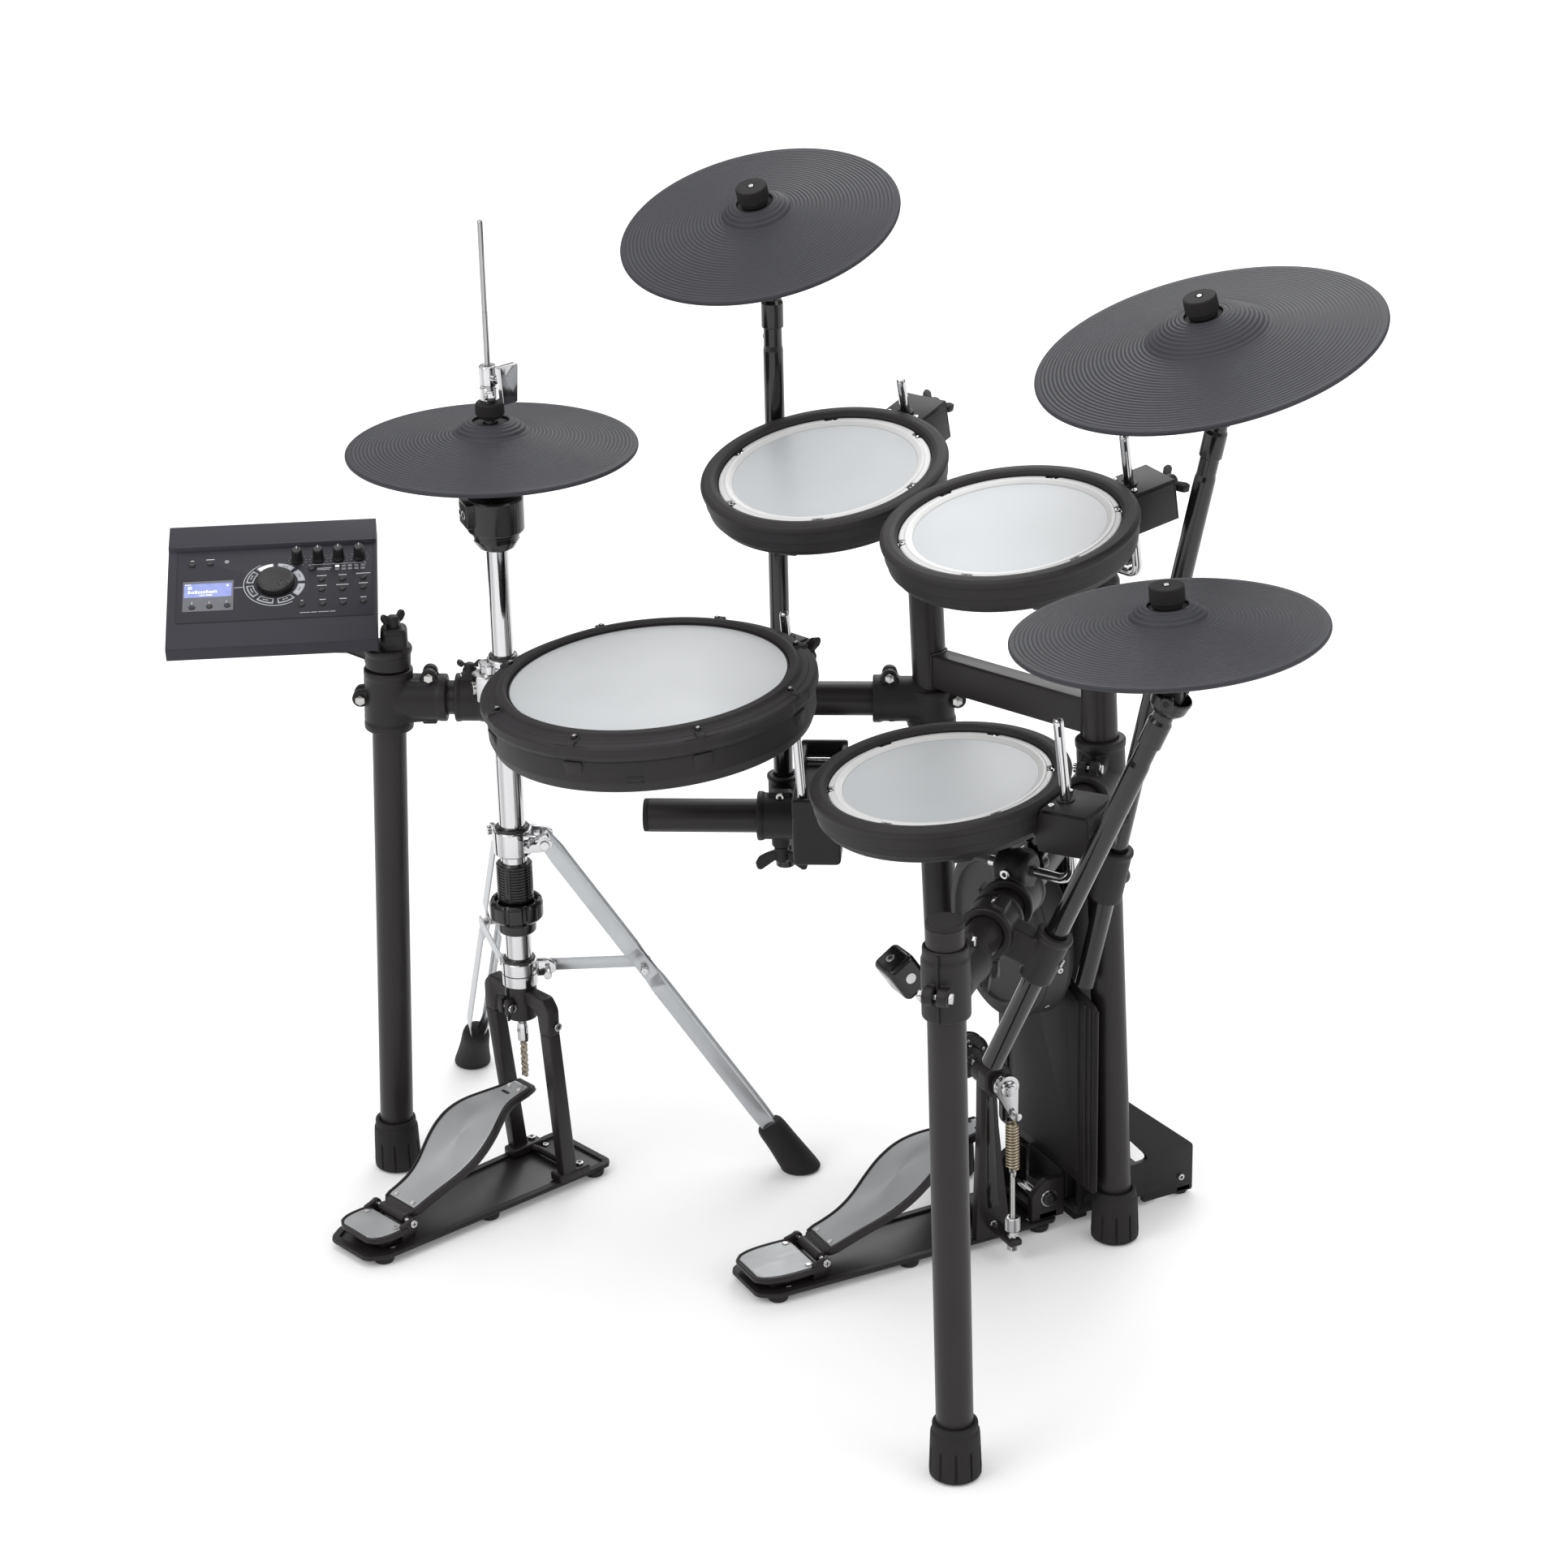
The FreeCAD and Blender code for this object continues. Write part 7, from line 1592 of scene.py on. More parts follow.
def footboard(name, body, node, at, hy, hz, toe):
    L = math.hypot(toe[1] - hy, toe[2] - hz)
    ang = math.degrees(math.atan2(toe[2] - hz, toe[1] - hy))
    M = tr(0, hy, hz) @ rot((1, 0, 0), ang)
    p = Piece(name, body, "board_metal", node, at)
    t = np.linspace(0, 1, 56)
    ys = 7 + (L - 7) * t
    hw_ = smooth_half(t, board_half)
    ends = np.array([min(1.0, 0.80 + 0.20 * math.sqrt(max(0.0, min(1.0, (i) / 3.0)))) * min(1.0, 0.72 + 0.28 * math.sqrt(max(0.0, (55 - i) / 4.0))) for i in range(56)])
    hw_ = hw_ * ends
    h = np.array([arch(q) for q in t])
    strip_mesh(p, ys, hw_, h + 4.6, h - 3.0, satin, M, 0.0, 0.0, 13, 1.2)
    # brushed tread laid in the frame, with a raised lip round it
    k0, k1 = 2, 54
    strip_mesh(p, ys[k0:k1], hw_[k0:k1], (h + 6.0)[k0:k1], (h + 3.6)[k0:k1], alu, M, 5.6, 0.4, 25, 0.5)
    for sg in (-1, 1):
        p.sweep([mv(M, (sg * (w_ - 1.9), y_, z_ + 4.8)) for y_, w_, z_ in zip(ys[1:54], hw_[1:54], h[1:54])], 1.7, satin, 10)
    # toe stop rail and chain eye
    def on(y, x, dz):
        q = (y - 7) / (L - 7)
        return mv(M, (x, y, arch(q) + dz))
    p.prism(fillet([(-6.5, -2.2), (6.5, -2.2), (6.5, 2.2), (-6.5, 2.2)], 2.0, 4, True), 0, 0.35, dark, M @ tr(0, L - 30, arch((L - 37) / (L - 7)) + 6.25) @ rot((1, 0, 0), -18), 0.1, 1)
    p.rod(on(L - 12, -9, 3.5), on(L - 12, 9, 3.5), 2.6, steel, 20)
    for x, yy in ((-15, 19), (15, 19), (-8.5, L - 18), (8.5, L - 18)):
        p.bolt(on(yy, x, 6.1), mdir(M, (0, 0, 1)), 3.0, 1.3, steel, None, "cross", 24)
    p.rod(mv(M, (-22, 0, 0)), mv(M, (22, 0, 0)), 5.9, satin, 32, 0.8)
    p.box(-21.5, 21.5, 0, 14, -2.4, 4.2, satin, M, 1.0, 2)
    p.done(40)


def heelplate(name, at, hy, hz, y0, rep=()):
    p = Piece(name, "rack", "board_metal", rep, at)
    t = np.linspace(0, 1, 40)
    ys = y0 + (hy - 7.5 - y0) * t
    hw_ = smooth_half(t, [27, 33, 36.5, 38, 38.5, 38.5, 38, 37.5])
    hw_ = hw_ * np.array([min(1.0, 0.74 + 0.26 * math.sqrt(min(1.0, i / 5.0))) for i in range(40)])
    zz = np.full(40, hz - 2.0)
    strip_mesh(p, ys, hw_, zz - 1.2, zz - 7.0, satin, None, 0.0, 0.0, 13, 1.4)
    strip_mesh(p, ys[2:38], hw_[2:38], zz[2:38] + 0.4, zz[2:38] - 2.0, alu, None, 5.0, 0.3, 25, 0.5)
    rim = [(w_ - 1.5, y_, hz - 2.9) for w_, y_ in zip(hw_[:39], ys[:39])]
    p.sweep([(-x, y, z) for x, y, z in reversed(rim)] + rim, 1.5, satin, 10)
    p.box(-29, 29, y0 + 16, hy - 12, 12.8, hz - 8, satin, None, 2.0, 2)
    for sg in (-1, 1):
        a, b = sorted((sg * 30.2, sg * 36))
        o = [(hy - 16, hz - 17), (hy + 1, hz - 17), (hy + 5.2, hz - 8)] + [(hy + 5.6 * cos(q), hz + 5.6 * sin(q)) for q in np.linspace(-0.6, 2.2, 8)] + [(hy - 16, hz + 1)]
        p.prism(o, a, b, satin, np.array([[0, 0, 1, 0], [1, 0, 0, 0], [0, 1, 0, 0], [0, 0, 0, 1.0]]), 0.9, 2)
        p.bolt((sg * 36, hy, hz), (sg, 0, 0), 4.6, 2.2, steel, dark, "cross", 28)
        p.bolt((sg * 27, hy - 18, hz - 1.4), (0, 0, 1), 3.2, 1.2, steel, None, "cross", 24)
    p.rod((-36, hy, hz), (36, hy, hz), 3.0, steel, 24)
    p.done(40)


def baseplate(name, at, w0, w1, y0, y1, rep=()):
    p = Piece(name, "rack", "frame_black", rep, at)
    o = [(-w0 * 0.72, y0), (w0 * 0.72, y0), (w0, y0 + 22), (w1, y1 - 8), (w1 - 8, y1), (-w1 + 8, y1), (-w1, y1 - 8), (-w0, y0 + 22)]
    oc = fillet(o, [14, 14, 14, 6, 6, 6, 6, 14], 5, True)
    p.prism(oc, 8.2, 10.4, satin, None, 0.5, 2)
    # raised matt border round the recessed floor
    Q = [vec(x, y, 0) for x, y in oc]
    mid = vec(0, 0.5 * (y0 + y1), 0)
    ring = []
    for i, q in enumerate(Q):
        d = unit(Q[(i + 1) % len(Q)] - Q[i - 1])
        nrm = vec(-d[1], d[0], 0)
        if nrm @ (mid - q) < 0:
            nrm = -nrm
        ring.append(tuple(q + nrm * 4.6 + vec(0, 0, 11.2)))
    p.sweep(ring, 1.0, frame_paint, closed=True, sec=fillet([(-1.6, -4.4), (1.7, -4.0), (1.9, -3.4), (1.9, 3.4), (1.7, 4.0), (-1.6, 4.4)], 0.3, 2, True), up=(0, 0, 1))
    L = y1 - y0
    for x, y in ((-0.7 * w0, y0 + 26), (0.7 * w0, y0 + 26), (-0.8 * w0, y0 + 0.5 * L), (0.8 * w0, y0 + 0.5 * L), (-0.8 * w1, y1 - 22), (0.8 * w1, y1 - 22)):
        p.lathe(fillet([(0, 0.2), (10.2, 0.2), (11.2, 1.6), (12.4, 8.6), (0, 8.6)], [0, 1, 1, 0, 0], 3), rubber, tr(x, y, 0), 40)
    for sx in (-1, 1):
        p.bolt((sx * (w1 - 16), y1 - 30, 10.4), (0, 0, 1), 4.0, 1.8, steel, dark, "cross", 26)
        p.bolt((sx * (w0 - 16), y0 + 40, 10.4), (0, 0, 1), 4.0, 1.8, steel, dark, "cross", 26)
    p.done(40)


baseplate("hihat_base_plate", hat_pl, 46, 53, -262, 82, "pedal_frames")
baseplate("kick_base_plate", kick_pl, 45, 50, -96, 278)
heelplate("hihat_heel_plate", hat_pl, -196.0, 32.0, -252, "pedal_heel_plates")
heelplate("kick_heel_plate", kick_pl, -12.0, 30.0, -94)
footboard("hihat_tread", "hihat_board", "hihat_footboard", hat_pl, -196.0, 32.0, (0, 4, 122))
footboard("kick_tread", "kick_board", "kick_footboard", kick_pl, -12.0, 30.0, (0, 216, 126))

# cast yoke carrying the hi-hat tube
p = Piece("hihat_yoke", "rack", "frame_black", (), hat_pl)
p.lathe(fillet([(15.1, 211.6), (16.8, 211.6), (18.2, 213), (18.2, 252), (17.0, 254), (15.1, 254)], 1.0, 3), satin, None, 64)
p.prism(fillet([(-58.4, 205), (-58.4, 238), (-48, 250), (48, 250), (58.4, 238), (58.4, 205), (40.5, 205), (37.0, 229), (20, 233.5), (-20, 233.5), (-37.0, 229), (-40.5, 205)], [0, 14, 8, 8, 14, 0, 0, 8, 6, 6, 8, 0], 6, True), -8.0, 8.0, satin, np.array([[1, 0, 0, 0], [0, 0, 1, 0], [0, 1, 0, 0], [0, 0, 0, 1.0]]), 1.8, 3)
for sg in (-1, 1):
    a, b, c, d = (40.5, 58.4, 38.4, 51.6) if sg > 0 else (-58.4, -40.5, -51.6, -38.4)
    p.hexa([(a, -8, 206), (b, -8, 206), (b, 8, 206), (a, 8, 206), (c, 9, 14), (d, 9, 14), (d, 29, 14), (c, 29, 14)], satin, None, 1.8, 3)
    u, w = sorted((sg * 33, sg * 53))
    p.box(u, w, 3, 47, 11, 22, satin, None, 2.4, 3)
p.done(40)
p = Piece("hihat_yoke_fittings", "rack", "bolt_steel", (), hat_pl)
for sg in (-1, 1):
    p.bolt((sg * 44, 38, 22), (0, 0, 1), 4.6, 3.0, chrome, dark, "hex", 28)
    p.bolt((sg * 58.6, 4, 216), (sg, 0, 0), 5.0, 2.6, steel, dark, "hex", 28)
# painted shade: a near-black strip for the yoke's split
p.box(-0.8, 0.8, -20.6, -17.5, 211, 251, dark, None, 0.1, 1)
p.rod((-9, -21.5, 231), (9, -21.5, 231), 3.2, steel, 24)
p.bolt((9, -21.5, 231), (1, 0, 0), 5.2, 3.4, chrome, dark, "hex", 28)
p.box(-9, -2, -27, -17, 222, 241, satin, None, 2.0, 2)
p.box(2, 9, -27, -17, 222, 241, satin, None, 2.0, 2)
p.sweep(fillet([(-40, 30, 16.0), (-24, 34, 16.0), (24, 34, 16.0), (40, 30, 16.0)], 14, 6), 4.2, satin, 16)
p.done()

# kick pedal posts, bearings, hoop clamp and spring anchor
p = Piece("kick_posts", "rack", "frame_black", (), kick_pl)
for sg in (-1, 1):
    a, b = sorted((sg * 38.2, sg * 49.8))
    YZ = np.array([[0, 0, 1, 0], [1, 0, 0, 0], [0, 1, 0, 0], [0, 0, 0, 1.0]])
    o = fillet([(177, 224), (195, 224), (199, 150), (211, 40), (212, 13), (170, 13), (171, 40), (176, 150)], [4, 4, 40, 20, 2, 2, 20, 40], 4, True)
    p.prism(o, a, b, satin, YZ, 1.4, 3)
    p.prism(fillet([(183, 190), (191, 190), (196, 100), (199, 50), (183, 50), (181, 100)], [3, 3, 20, 4, 4, 20], 3, True), a - 0.6, b + 0.6, gloss, YZ, 0.6, 2)
    p.lathe(fillet([(5.7, 0), (13.8, 0), (15, 1.4), (15, 16.6), (13.8, 18), (5.7, 18)], 0.8, 3), satin, frm((a - 3.2, 186, 219), (1, 0, 0), (0, 1, 0)), 56)
    p.lathe(fillet([(5.7, 0), (11.0, 0), (10.0, 1.2), (5.7, 1.2)], 0.4, 2), chrome, frm((sg * 53.0, 186, 219), (sg, 0, 0), (0, 1, 0)), 48)
    p.bolt((sg * 44, 186, 233.6), (0, 0, 1), 3.4, 2.0, steel, dark, "hex", 24)
    p.bolt((sg * 50.2, 191, 30), (sg, 0, 0), 4.4, 2.4, steel, dark, "hex", 26)
p.box(-38, 38, 192.4, 207.6, 13, 25.6, satin, None, 2.0, 2)
square = lambda t, r, z: r if r < 8 else r * min(1.14, 1 / max(abs(cos(t)), abs(sin(t))))
p.lathe(fillet([(5.8, 53.6), (13.6, 53.6), (16.4, 55), (16.4, 70), (13.6, 71.6), (5.8, 71.6)], 0.8, 3), satin, frm((0, 186, 219), (1, 0, 0), (0, 1, 0)), 64, square)
# hoop clamp
p.box(-46, 46, 252, 278, 12.8, 23.6, satin, None, 2.4, 3)
for sg in (-1, 1):
    a, b = sorted((sg * 36, sg * 46))
    p.prism(fillet([(244, 13), (286, 13), (286, 62), (262, 62), (244, 46)], [2, 2, 5, 10, 10], 5, True), a, b, satin, YZ, 1.4, 3)
    p.bolt((sg * 46, 266, 39), (sg, 0, 0), 8.4, 4.0, gloss_plastic, dark, "hex", 36)
    p.lathe(fillet([(8.4, 0), (10.6, 0), (10.0, 0.9), (8.4, 0.9)], 0.3, 2), chrome, frm((sg * 46, 266, 39), (sg, 0, 0), (0, 1, 0)), 40)
p.rod((-20, 265, 30), (20, 265, 30), 5.0, chrome, 28)
# spring anchor with tension rod, nuts and barrel
p.box(44, 97, 186.4, 201.6, 22, 29.8, satin, None, 2.2, 3)
p.box(38.2, 50, 186.4, 209, 13, 29.8, satin, None, 2.0, 2)
p.done(40)
p = Piece("kick_tension_rod", "rack", "chrome_rod", (), kick_pl)
pr, z = [(0, 18)], 18.0
while z < 111:
    pr += [(3.1, z), (2.7, z + 0.7)]
    z += 1.4
pr += [(2.9, 112), (0, 112)]
p.lathe(pr, steel, tr(88, 194, 0), 28)
hx6 = [(6.6 * cos(q), 6.6 * sin(q)) for q in np.linspace(0, 2 * pi, 7)[:-1]]
p.prism(hx6, 30.2, 38.5, chrome, tr(88, 194, 0), 0.6, 2)
p.prism(hx6, 15.2, 21.6, chrome, tr(88, 194, 0) @ rot((0, 0, 1), 20), 0.6, 2)
knurl = lambda t, r, z: r - (0.5 if (t * 36 / (2 * pi)) % 1 < 0.4 and r > 6.0 else 0)
p.lathe(fillet([(3.0, 39), (7.4, 39), (8.6, 40.4), (8.6, 54), (7.4, 56), (3.0, 56)], 0.5, 3), chrome, tr(88, 194, 0), 144, knurl)
p.torus(5.2, 1.4, steel, tr(88, 194, 112.4) @ rot((1, 0, 0), 90), 32, 10)
p.done()

# shaft with cam, rocker and beater
p = Piece("kick_cam_shaft", "kick_shaft", "chrome_rod", "kick_shaft", kick_pl)
hx = [(5.9 * cos(q), 5.9 * sin(q)) for q in np.linspace(0, 2 * pi, 7)[:-1]]
p.prism(hx, -36, 36, chrome, frm(axle, (1, 0, 0), (0, 1, 0)), 0.5, 2)
p.rod(axle + vec(-58, 0, 0), axle + vec(-34, 0, 0), 5.45, chrome, 36)
p.rod(axle + vec(34, 0, 0), axle + vec(100, 0, 0), 5.45, chrome, 36)
p.lathe(fillet([(5.0, -6), (22, -6), (27, -5), (25.4, -1.6), (25.4, 1.6), (27, 5), (22, 6), (5.0, 6)], [0, 1.2, 0.8, 0.8, 0.8, 0.8, 1.2, 0], 3), satin, frm(axle, (1, 0, 0), (0, 1, 0)), 80)
p.lathe(fillet([(5.0, -13), (14, -13), (15, -11.6), (15, 11.6), (14, 13), (5.0, 13)], 0.8, 3), satin, frm(axle, (1, 0, 0), (0, 1, 0)), 56)
for q in range(5):
    a = rad(72 * q + 20)
    p.bolt(axle + vec(6.0, 20 * cos(a), 20 * sin(a)), (1, 0, 0), 2.0, 1.2, steel, dark, "hex", 18)
    p.bolt(axle + vec(-6.0, 20 * cos(a), 20 * sin(a)), (-1, 0, 0), 2.0, 1.2, steel, dark, "hex", 18)
p.bolt(axle + vec(9.6, 0, 15), (0, 0, 1), 2.6, 2.0, steel, dark, "hex", 20)
YZ = np.array([[0, 0, 1, 0], [1, 0, 0, 0], [0, 1, 0, 0], [0, 0, 0, 1.0]])
tear = [(186 + 14 * cos(q), 219 + 14 * sin(q)) for q in np.linspace(-0.35, pi + 0.5, 22)] + [(190.0, 181.5)] + [(194 + 4.6 * cos(q), 183 + 4.6 * sin(q)) for q in np.linspace(pi, 2 * pi, 9)]
p.prism(tear, 84.2, 91.8, chrome, YZ, 1.6, 3)
p.lathe(fillet([(0, 0), (10, 0), (9, 3.2), (6, 4.4), (0, 4.8)], 1.0, 3), chrome, frm((91.6, 186, 219), (1, 0, 0), (0, 1, 0)), 48)
p.lathe(fillet([(3, 0), (9.4, 0), (10.4, 1.4), (10.4, 8.6), (9.4, 10), (3, 10)], 0.8, 3), satin, frm((72.5, 186, 219), (1, 0, 0), (0, 1, 0)), 48)
p.rod((77.5, 194, 185), (99, 194, 185), 3.0, chrome, 28)
p.lathe(fillet([(0, 0), (4.6, 0), (4.6, 2.6), (0, 3)], 0.6, 2), chrome, frm((98, 194, 185), (1, 0, 0), (0, 1, 0)), 28)
p.done(40)

lean = rad(33.5)
bd_ = vec(0, -sin(lean), cos(lean))
p = Piece("kick_beater_set", "kick_shaft", "clamp_gloss", "kick_beater", kick_pl @ frm(axle, bd_, (1, 0, 0)))
p.rod((0, 0, 28), (0, 0, 164.6), 4.0, chrome, 40)
p.box(-11, 11, -9, 9, 27.6, 48, satin, None, 2.6, 3)
p.bolt((0, -9, 38), (0, -1, 0), 4.4, 5.0, chrome, dark, "hex", 28)
p.lathe(fillet([(4.0, 48), (7.6, 48), (7.2, 52), (4.0, 53)], 0.8, 3), chrome, None, 36)
bm = bmesh.new()
r = bmesh.ops.create_cube(bm, size=1.0)
for v in bm.verts:
    v.co = ((v.co.x) * 41.6, 1.0 + v.co.y * 35.4, 145.0 + v.co.z * 47.4)
bmesh.ops.bevel(bm, geom=bm.edges[:], offset=7.4, segments=6, affect="EDGES", profile=0.5, clamp_overlap=True)
p.addbm(bm, gloss_plastic)
p.lathe(fillet([(0, 0), (6.2, 0), (6.0, 0.7), (0, 0.9)], 0.3, 2), hoop_white, frm((20.6, 1, 146), (1, 0, 0), (0, 1, 0)), 40)
p.lathe(fillet([(0, 0), (6.2, 0), (6.0, 0.7), (0, 0.9)], 0.3, 2), hoop_white, frm((0, -16.5, 150), (0, -1, 0), (1, 0, 0)), 40)
p.bolt((0, 0, 168.6), (0, 0, 1), 5.0, 2.0, steel, dark, "hex", 28)
p.done(40)

# chain and spring, baked into place without a body
p = Piece("kick_roller_chain", None, "bolt_steel", "kick_chain", kick_pl)
chain(p, 0, 216.0, 134.0, 217.0, 7.6, 2, nickel)
ob = p.done()
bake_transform(ob)

p = Piece("kick_coil_spring", None, "bolt_steel", "kick_spring", kick_pl)
turns, zz0, zz1 = 15, 118.0, 172.0
coil = [(88 + 6.8 * cos(q), 194 + 6.8 * sin(q), zz0 + (zz1 - zz0) * q / (2 * pi * turns)) for q in np.linspace(0, 2 * pi * turns, turns * 26)]
lo = [(88, 194 + 3.5 * cos(q), 113.4 + 3.2 * sin(q)) for q in np.linspace(-2.4, 1.2, 9)]
hi = [(88, 194 + 3.6 * cos(q), 181.5 + 4.2 * sin(q)) for q in np.linspace(-1.5, 2.8, 12)]
p.sweep(lo + [(90, 196.5, 117)] + coil + [(89, 196, 174.5)] + hi, 1.35, brass, 10)
ob = p.done(60)
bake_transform(ob)

# ------------------------------------------------------------------ kick tower and pad
p = Piece("kick_tower_plate", "rack", "frame_black", "kick_tower", kick_pl)
XZ = np.array([[1, 0, 0, 0], [0, 0, 1, 0], [0, 1, 0, 0], [0, 0, 0, 1.0]])
o = fillet([(-105, 64), (105, 64), (105, 294), (52, 309), (48, 428), (42, 548), (-42, 548), (-48, 428), (-52, 309), (-105, 294)], [8, 8, 10, 10, 60, 12, 12, 60, 10, 10], 6, True)
p.prism(o, 289.2, 292.4, frame_paint, XZ, 0.8, 2)
# pressed centre field and two upright folds at each side
o2 = fillet([(-70, 76), (70, 76), (70, 290), (40, 304), (36, 428), (30, 536), (-30, 536), (-36, 428), (-40, 304), (-70, 290)], [8, 8, 10, 10, 60, 10, 10, 60, 10, 10], 6, True)
p.prism(o2, 287.4, 290.0, frame_paint, XZ, 1.0, 3)
for sg in (-1, 1):
    for x in (84, 94):
        p.sweep([(sg * x, 289.0, 67), (sg * x, 289.0, 180), (sg * x, 289.0, 292)], 1.3, frame_paint, 10)
    p.sweep([(sg * 103.4, 291.4, 68), (sg * 103.4, 291.4, 180), (sg * 103.4, 291.4, 291)], 2.2, frame_paint, 12)
    p.bolt((sg * 20, 287.4, 520), (0, -1, 0), 4.2, 2.2, steel, dark, "cross", 26)
p.box(-34, 34, 294, 330, 24, 400, frame_paint, None, 3.0, 3)
p.box(-34, 34, 286.4, 296, 24, 66, frame_paint, None, 2.0, 2)
p.box(-104.8, 53.8, 296, 412, 13.2, 23.8, frame_paint, None, 2.4, 3)
p.box(-90, 44, 300, 318, 0.3, 14, rubber, None, 2.0, 2)
for x in (-105, 48):
    oo = fillet([(300, 13), (300, 172), (326, 172), (452, 62), (452, 4), (386, 4), (386, 13)], [3, 5, 8, 8, 3, 2, 2], 5, True)
    hh = fillet([(322, 56), (322, 140), (396, 56)], [6, 6, 6], 4, True)
    # plate with a triangular window: strips round the window
    ring = []
    bm = bmesh.new()
    ov = [bm.verts.new((x, y, z)) for y, z in oo]
    hv = [bm.verts.new((x, y, z)) for y, z in hh]
    oe = [bm.edges.new((ov[i], ov[(i + 1) % len(ov)])) for i in range(len(ov))]
    he = [bm.edges.new((hv[i], hv[(i + 1) % len(hv)])) for i in range(len(hv))]
    bmesh.ops.triangle_fill(bm, use_beauty=True, use_dissolve=False, edges=oe + he)
    bmesh.ops.recalc_face_normals(bm, faces=bm.faces[:])
    r = bmesh.ops.extrude_face_region(bm, geom=bm.faces[:])
    for v in [q for q in r["geom"] if isinstance(q, bmesh.types.BMVert)]:
        v.co.x += 6.0
    bmesh.ops.recalc_face_normals(bm, faces=bm.faces[:])
    es = [e for e in bm.edges if len(e.link_faces) == 2 and e.calc_face_angle(0) > 0.8]
    bmesh.ops.bevel(bm, geom=es, offset=0.8, segments=2, affect="EDGES", profile=0.5, clamp_overlap=True)
    p.addbm(bm, frame_paint)
    sx = 1 if x > 0 else -1
    xo = x + 6 if x > 0 else x
    p.bolt((xo, 312, 30), (sx, 0, 0), 5.6, 4.0, rubber, dark, "hex", 30)
    p.bolt((xo, 312, 152), (sx, 0, 0), 5.6, 4.0, rubber, dark, "hex", 30)
    p.bolt((xo, 436, 24), (sx, 0, 0), 4.0, 2.6, chrome, dark, "hex", 26)
    xf = 44 if x > 0 else -96
    p.box(xf - 10, xf + 10, 430, 450, 4, 12, frame_paint, None, 1.6, 2)
    p.lathe(fillet([(0, 0.2), (8.8, 0.2), (9.8, 1.4), (9.8, 4.6), (0, 4.6)], [0, 0.8, 0.8, 0, 0], 3), rubber, tr(xf, 440, 0), 40)
p.box(-40, 40, 268.4, 290, 322.4, 401.6, frame_paint, None, 3.0, 3)
p.done(40)

p = Piece("kick_rubber_pad", "rack", "pad_rubber", "kick_pad", kick_pl @ tr(0, 222.0, 362.0) @ rot((1, 0, 0), -90))
prof = fillet([(0, 0), (60, 0), (77, 0.2), (79, -3.4), (83, -3.4), (87, -1.5), (96, 0.6), (98.8, 6), (98.8, 38), (94, 45.6), (0, 45.6)], [0, 0, 3, 1.2, 1.2, 2, 3, 4, 4, 3, 0], 5)
dense = [prof[0]]
for u, w in zip(prof, prof[1:]):
    k = max(1, int(math.hypot(u[0] - w[0], u[1] - w[1]) / 6))
    dense += [(u[0] + (w[0] - u[0]) * i / k, u[1] + (w[1] - u[1]) * i / k) for i in range(1, k + 1)]
p.lathe(dense, kick_rubber, None, 160)
for i in range(10):
    a = rad(36 * i + 8)
    p.bolt((98.2 * cos(a), 98.2 * sin(a), 26), (cos(a), sin(a), 0), 3.4, 1.2, steel, dark, "cross", 24)
p.torus(98.9, 0.7, soft_rubber, tr(0, 0, 38), 160, 8)
p.torus(98.9, 0.7, soft_rubber, tr(0, 0, 12), 160, 8)
p.done(50)

# ------------------------------------------------------------------ sound module
YZm = np.array([[0, 0, 1, 0], [1, 0, 0, 0], [0, 1, 0, 0], [0, 0, 0, 1.0]])
HWm = 116.0


def rrect(x0, x1, y0, y1, r, k=4):
    return fillet([(x0, y0), (x1, y0), (x1, y1), (x0, y1)], r, k, True)


p = Piece("module_shell", "module", "case_plastic", ("module_case", "module_base"), module)
# upper shell: wedge with a sloping rear hood and a chamfered front edge
side_o = fillet([(-102, -0.2), (56, -0.2), (59.5, 3.6), (101.6, -2.2), (101.6, -29.6), (-52, -21.0), (-98.6, -19.8), (-101.8, -17.0)], [2.2, 1.0, 1.6, 2.4, 0.5, 0.5, 1.5, 1.5], 4, True)
p.prism(side_o, -HWm + 0.2, HWm - 0.2, case_mat, YZm, 1.3, 3)
# lower shell, set in by a shadow line
low = fillet([(-50, -20.6), (99.5, -29.0), (99.5, -47.4), (-50, -21.9)], [0.2, 0.5, 3, 0.2], 4, True)
p.prism(low, -HWm + 2.6, HWm - 2.6, case_mat, YZm, 1.2, 3)
# painted shadow: a near-black strip in the gap between upper and lower shell
p.prism(fillet([(-48, -20.2), (100.6, -28.4), (100.6, -30.4), (-48, -21.7)], 0.2, 2, True), -HWm + 1.8, HWm - 1.8, dark, YZm, 0.2, 1)
# panel sheet in its groove, with painted shade in the groove as a near-black outline
p.prism(rrect(-106, 112, -61.6, 55.0, 1.5), -0.6, 0.12, dark, None, 0.05, 1)
p.prism(rrect(-105.3, 111.4, -61.0, 54.6, 1.2), -0.6, 0.5, panel_mat, None, 0.25, 2)
# rear hood lip above the knobs
p.prism(fillet([(54.8, -0.4), (57.0, -0.4), (60.5, 3.9), (58.6, 4.3)], 0.4, 2, True), -108, 112.4, case_mat, YZm, 0.3, 2)
# sockets along the back edge
for i in range(7):
    x = -88 + i * 27
    p.lathe(fillet([(2.8, 0), (5.4, 0), (5.4, 1.6), (4.6, 2.0), (2.8, 2.0)], 0.3, 2), steel if i % 3 else key_mat, frm((x, 99.4, -33), (0, 1, 0), (1, 0, 0)), 32)
    # painted shade: a near-black disc in each socket's hole
    p.lathe([(0, 0.6), (2.9, 0.6)], dark, frm((x, 99.4, -33), (0, 1, 0), (1, 0, 0)), 24)
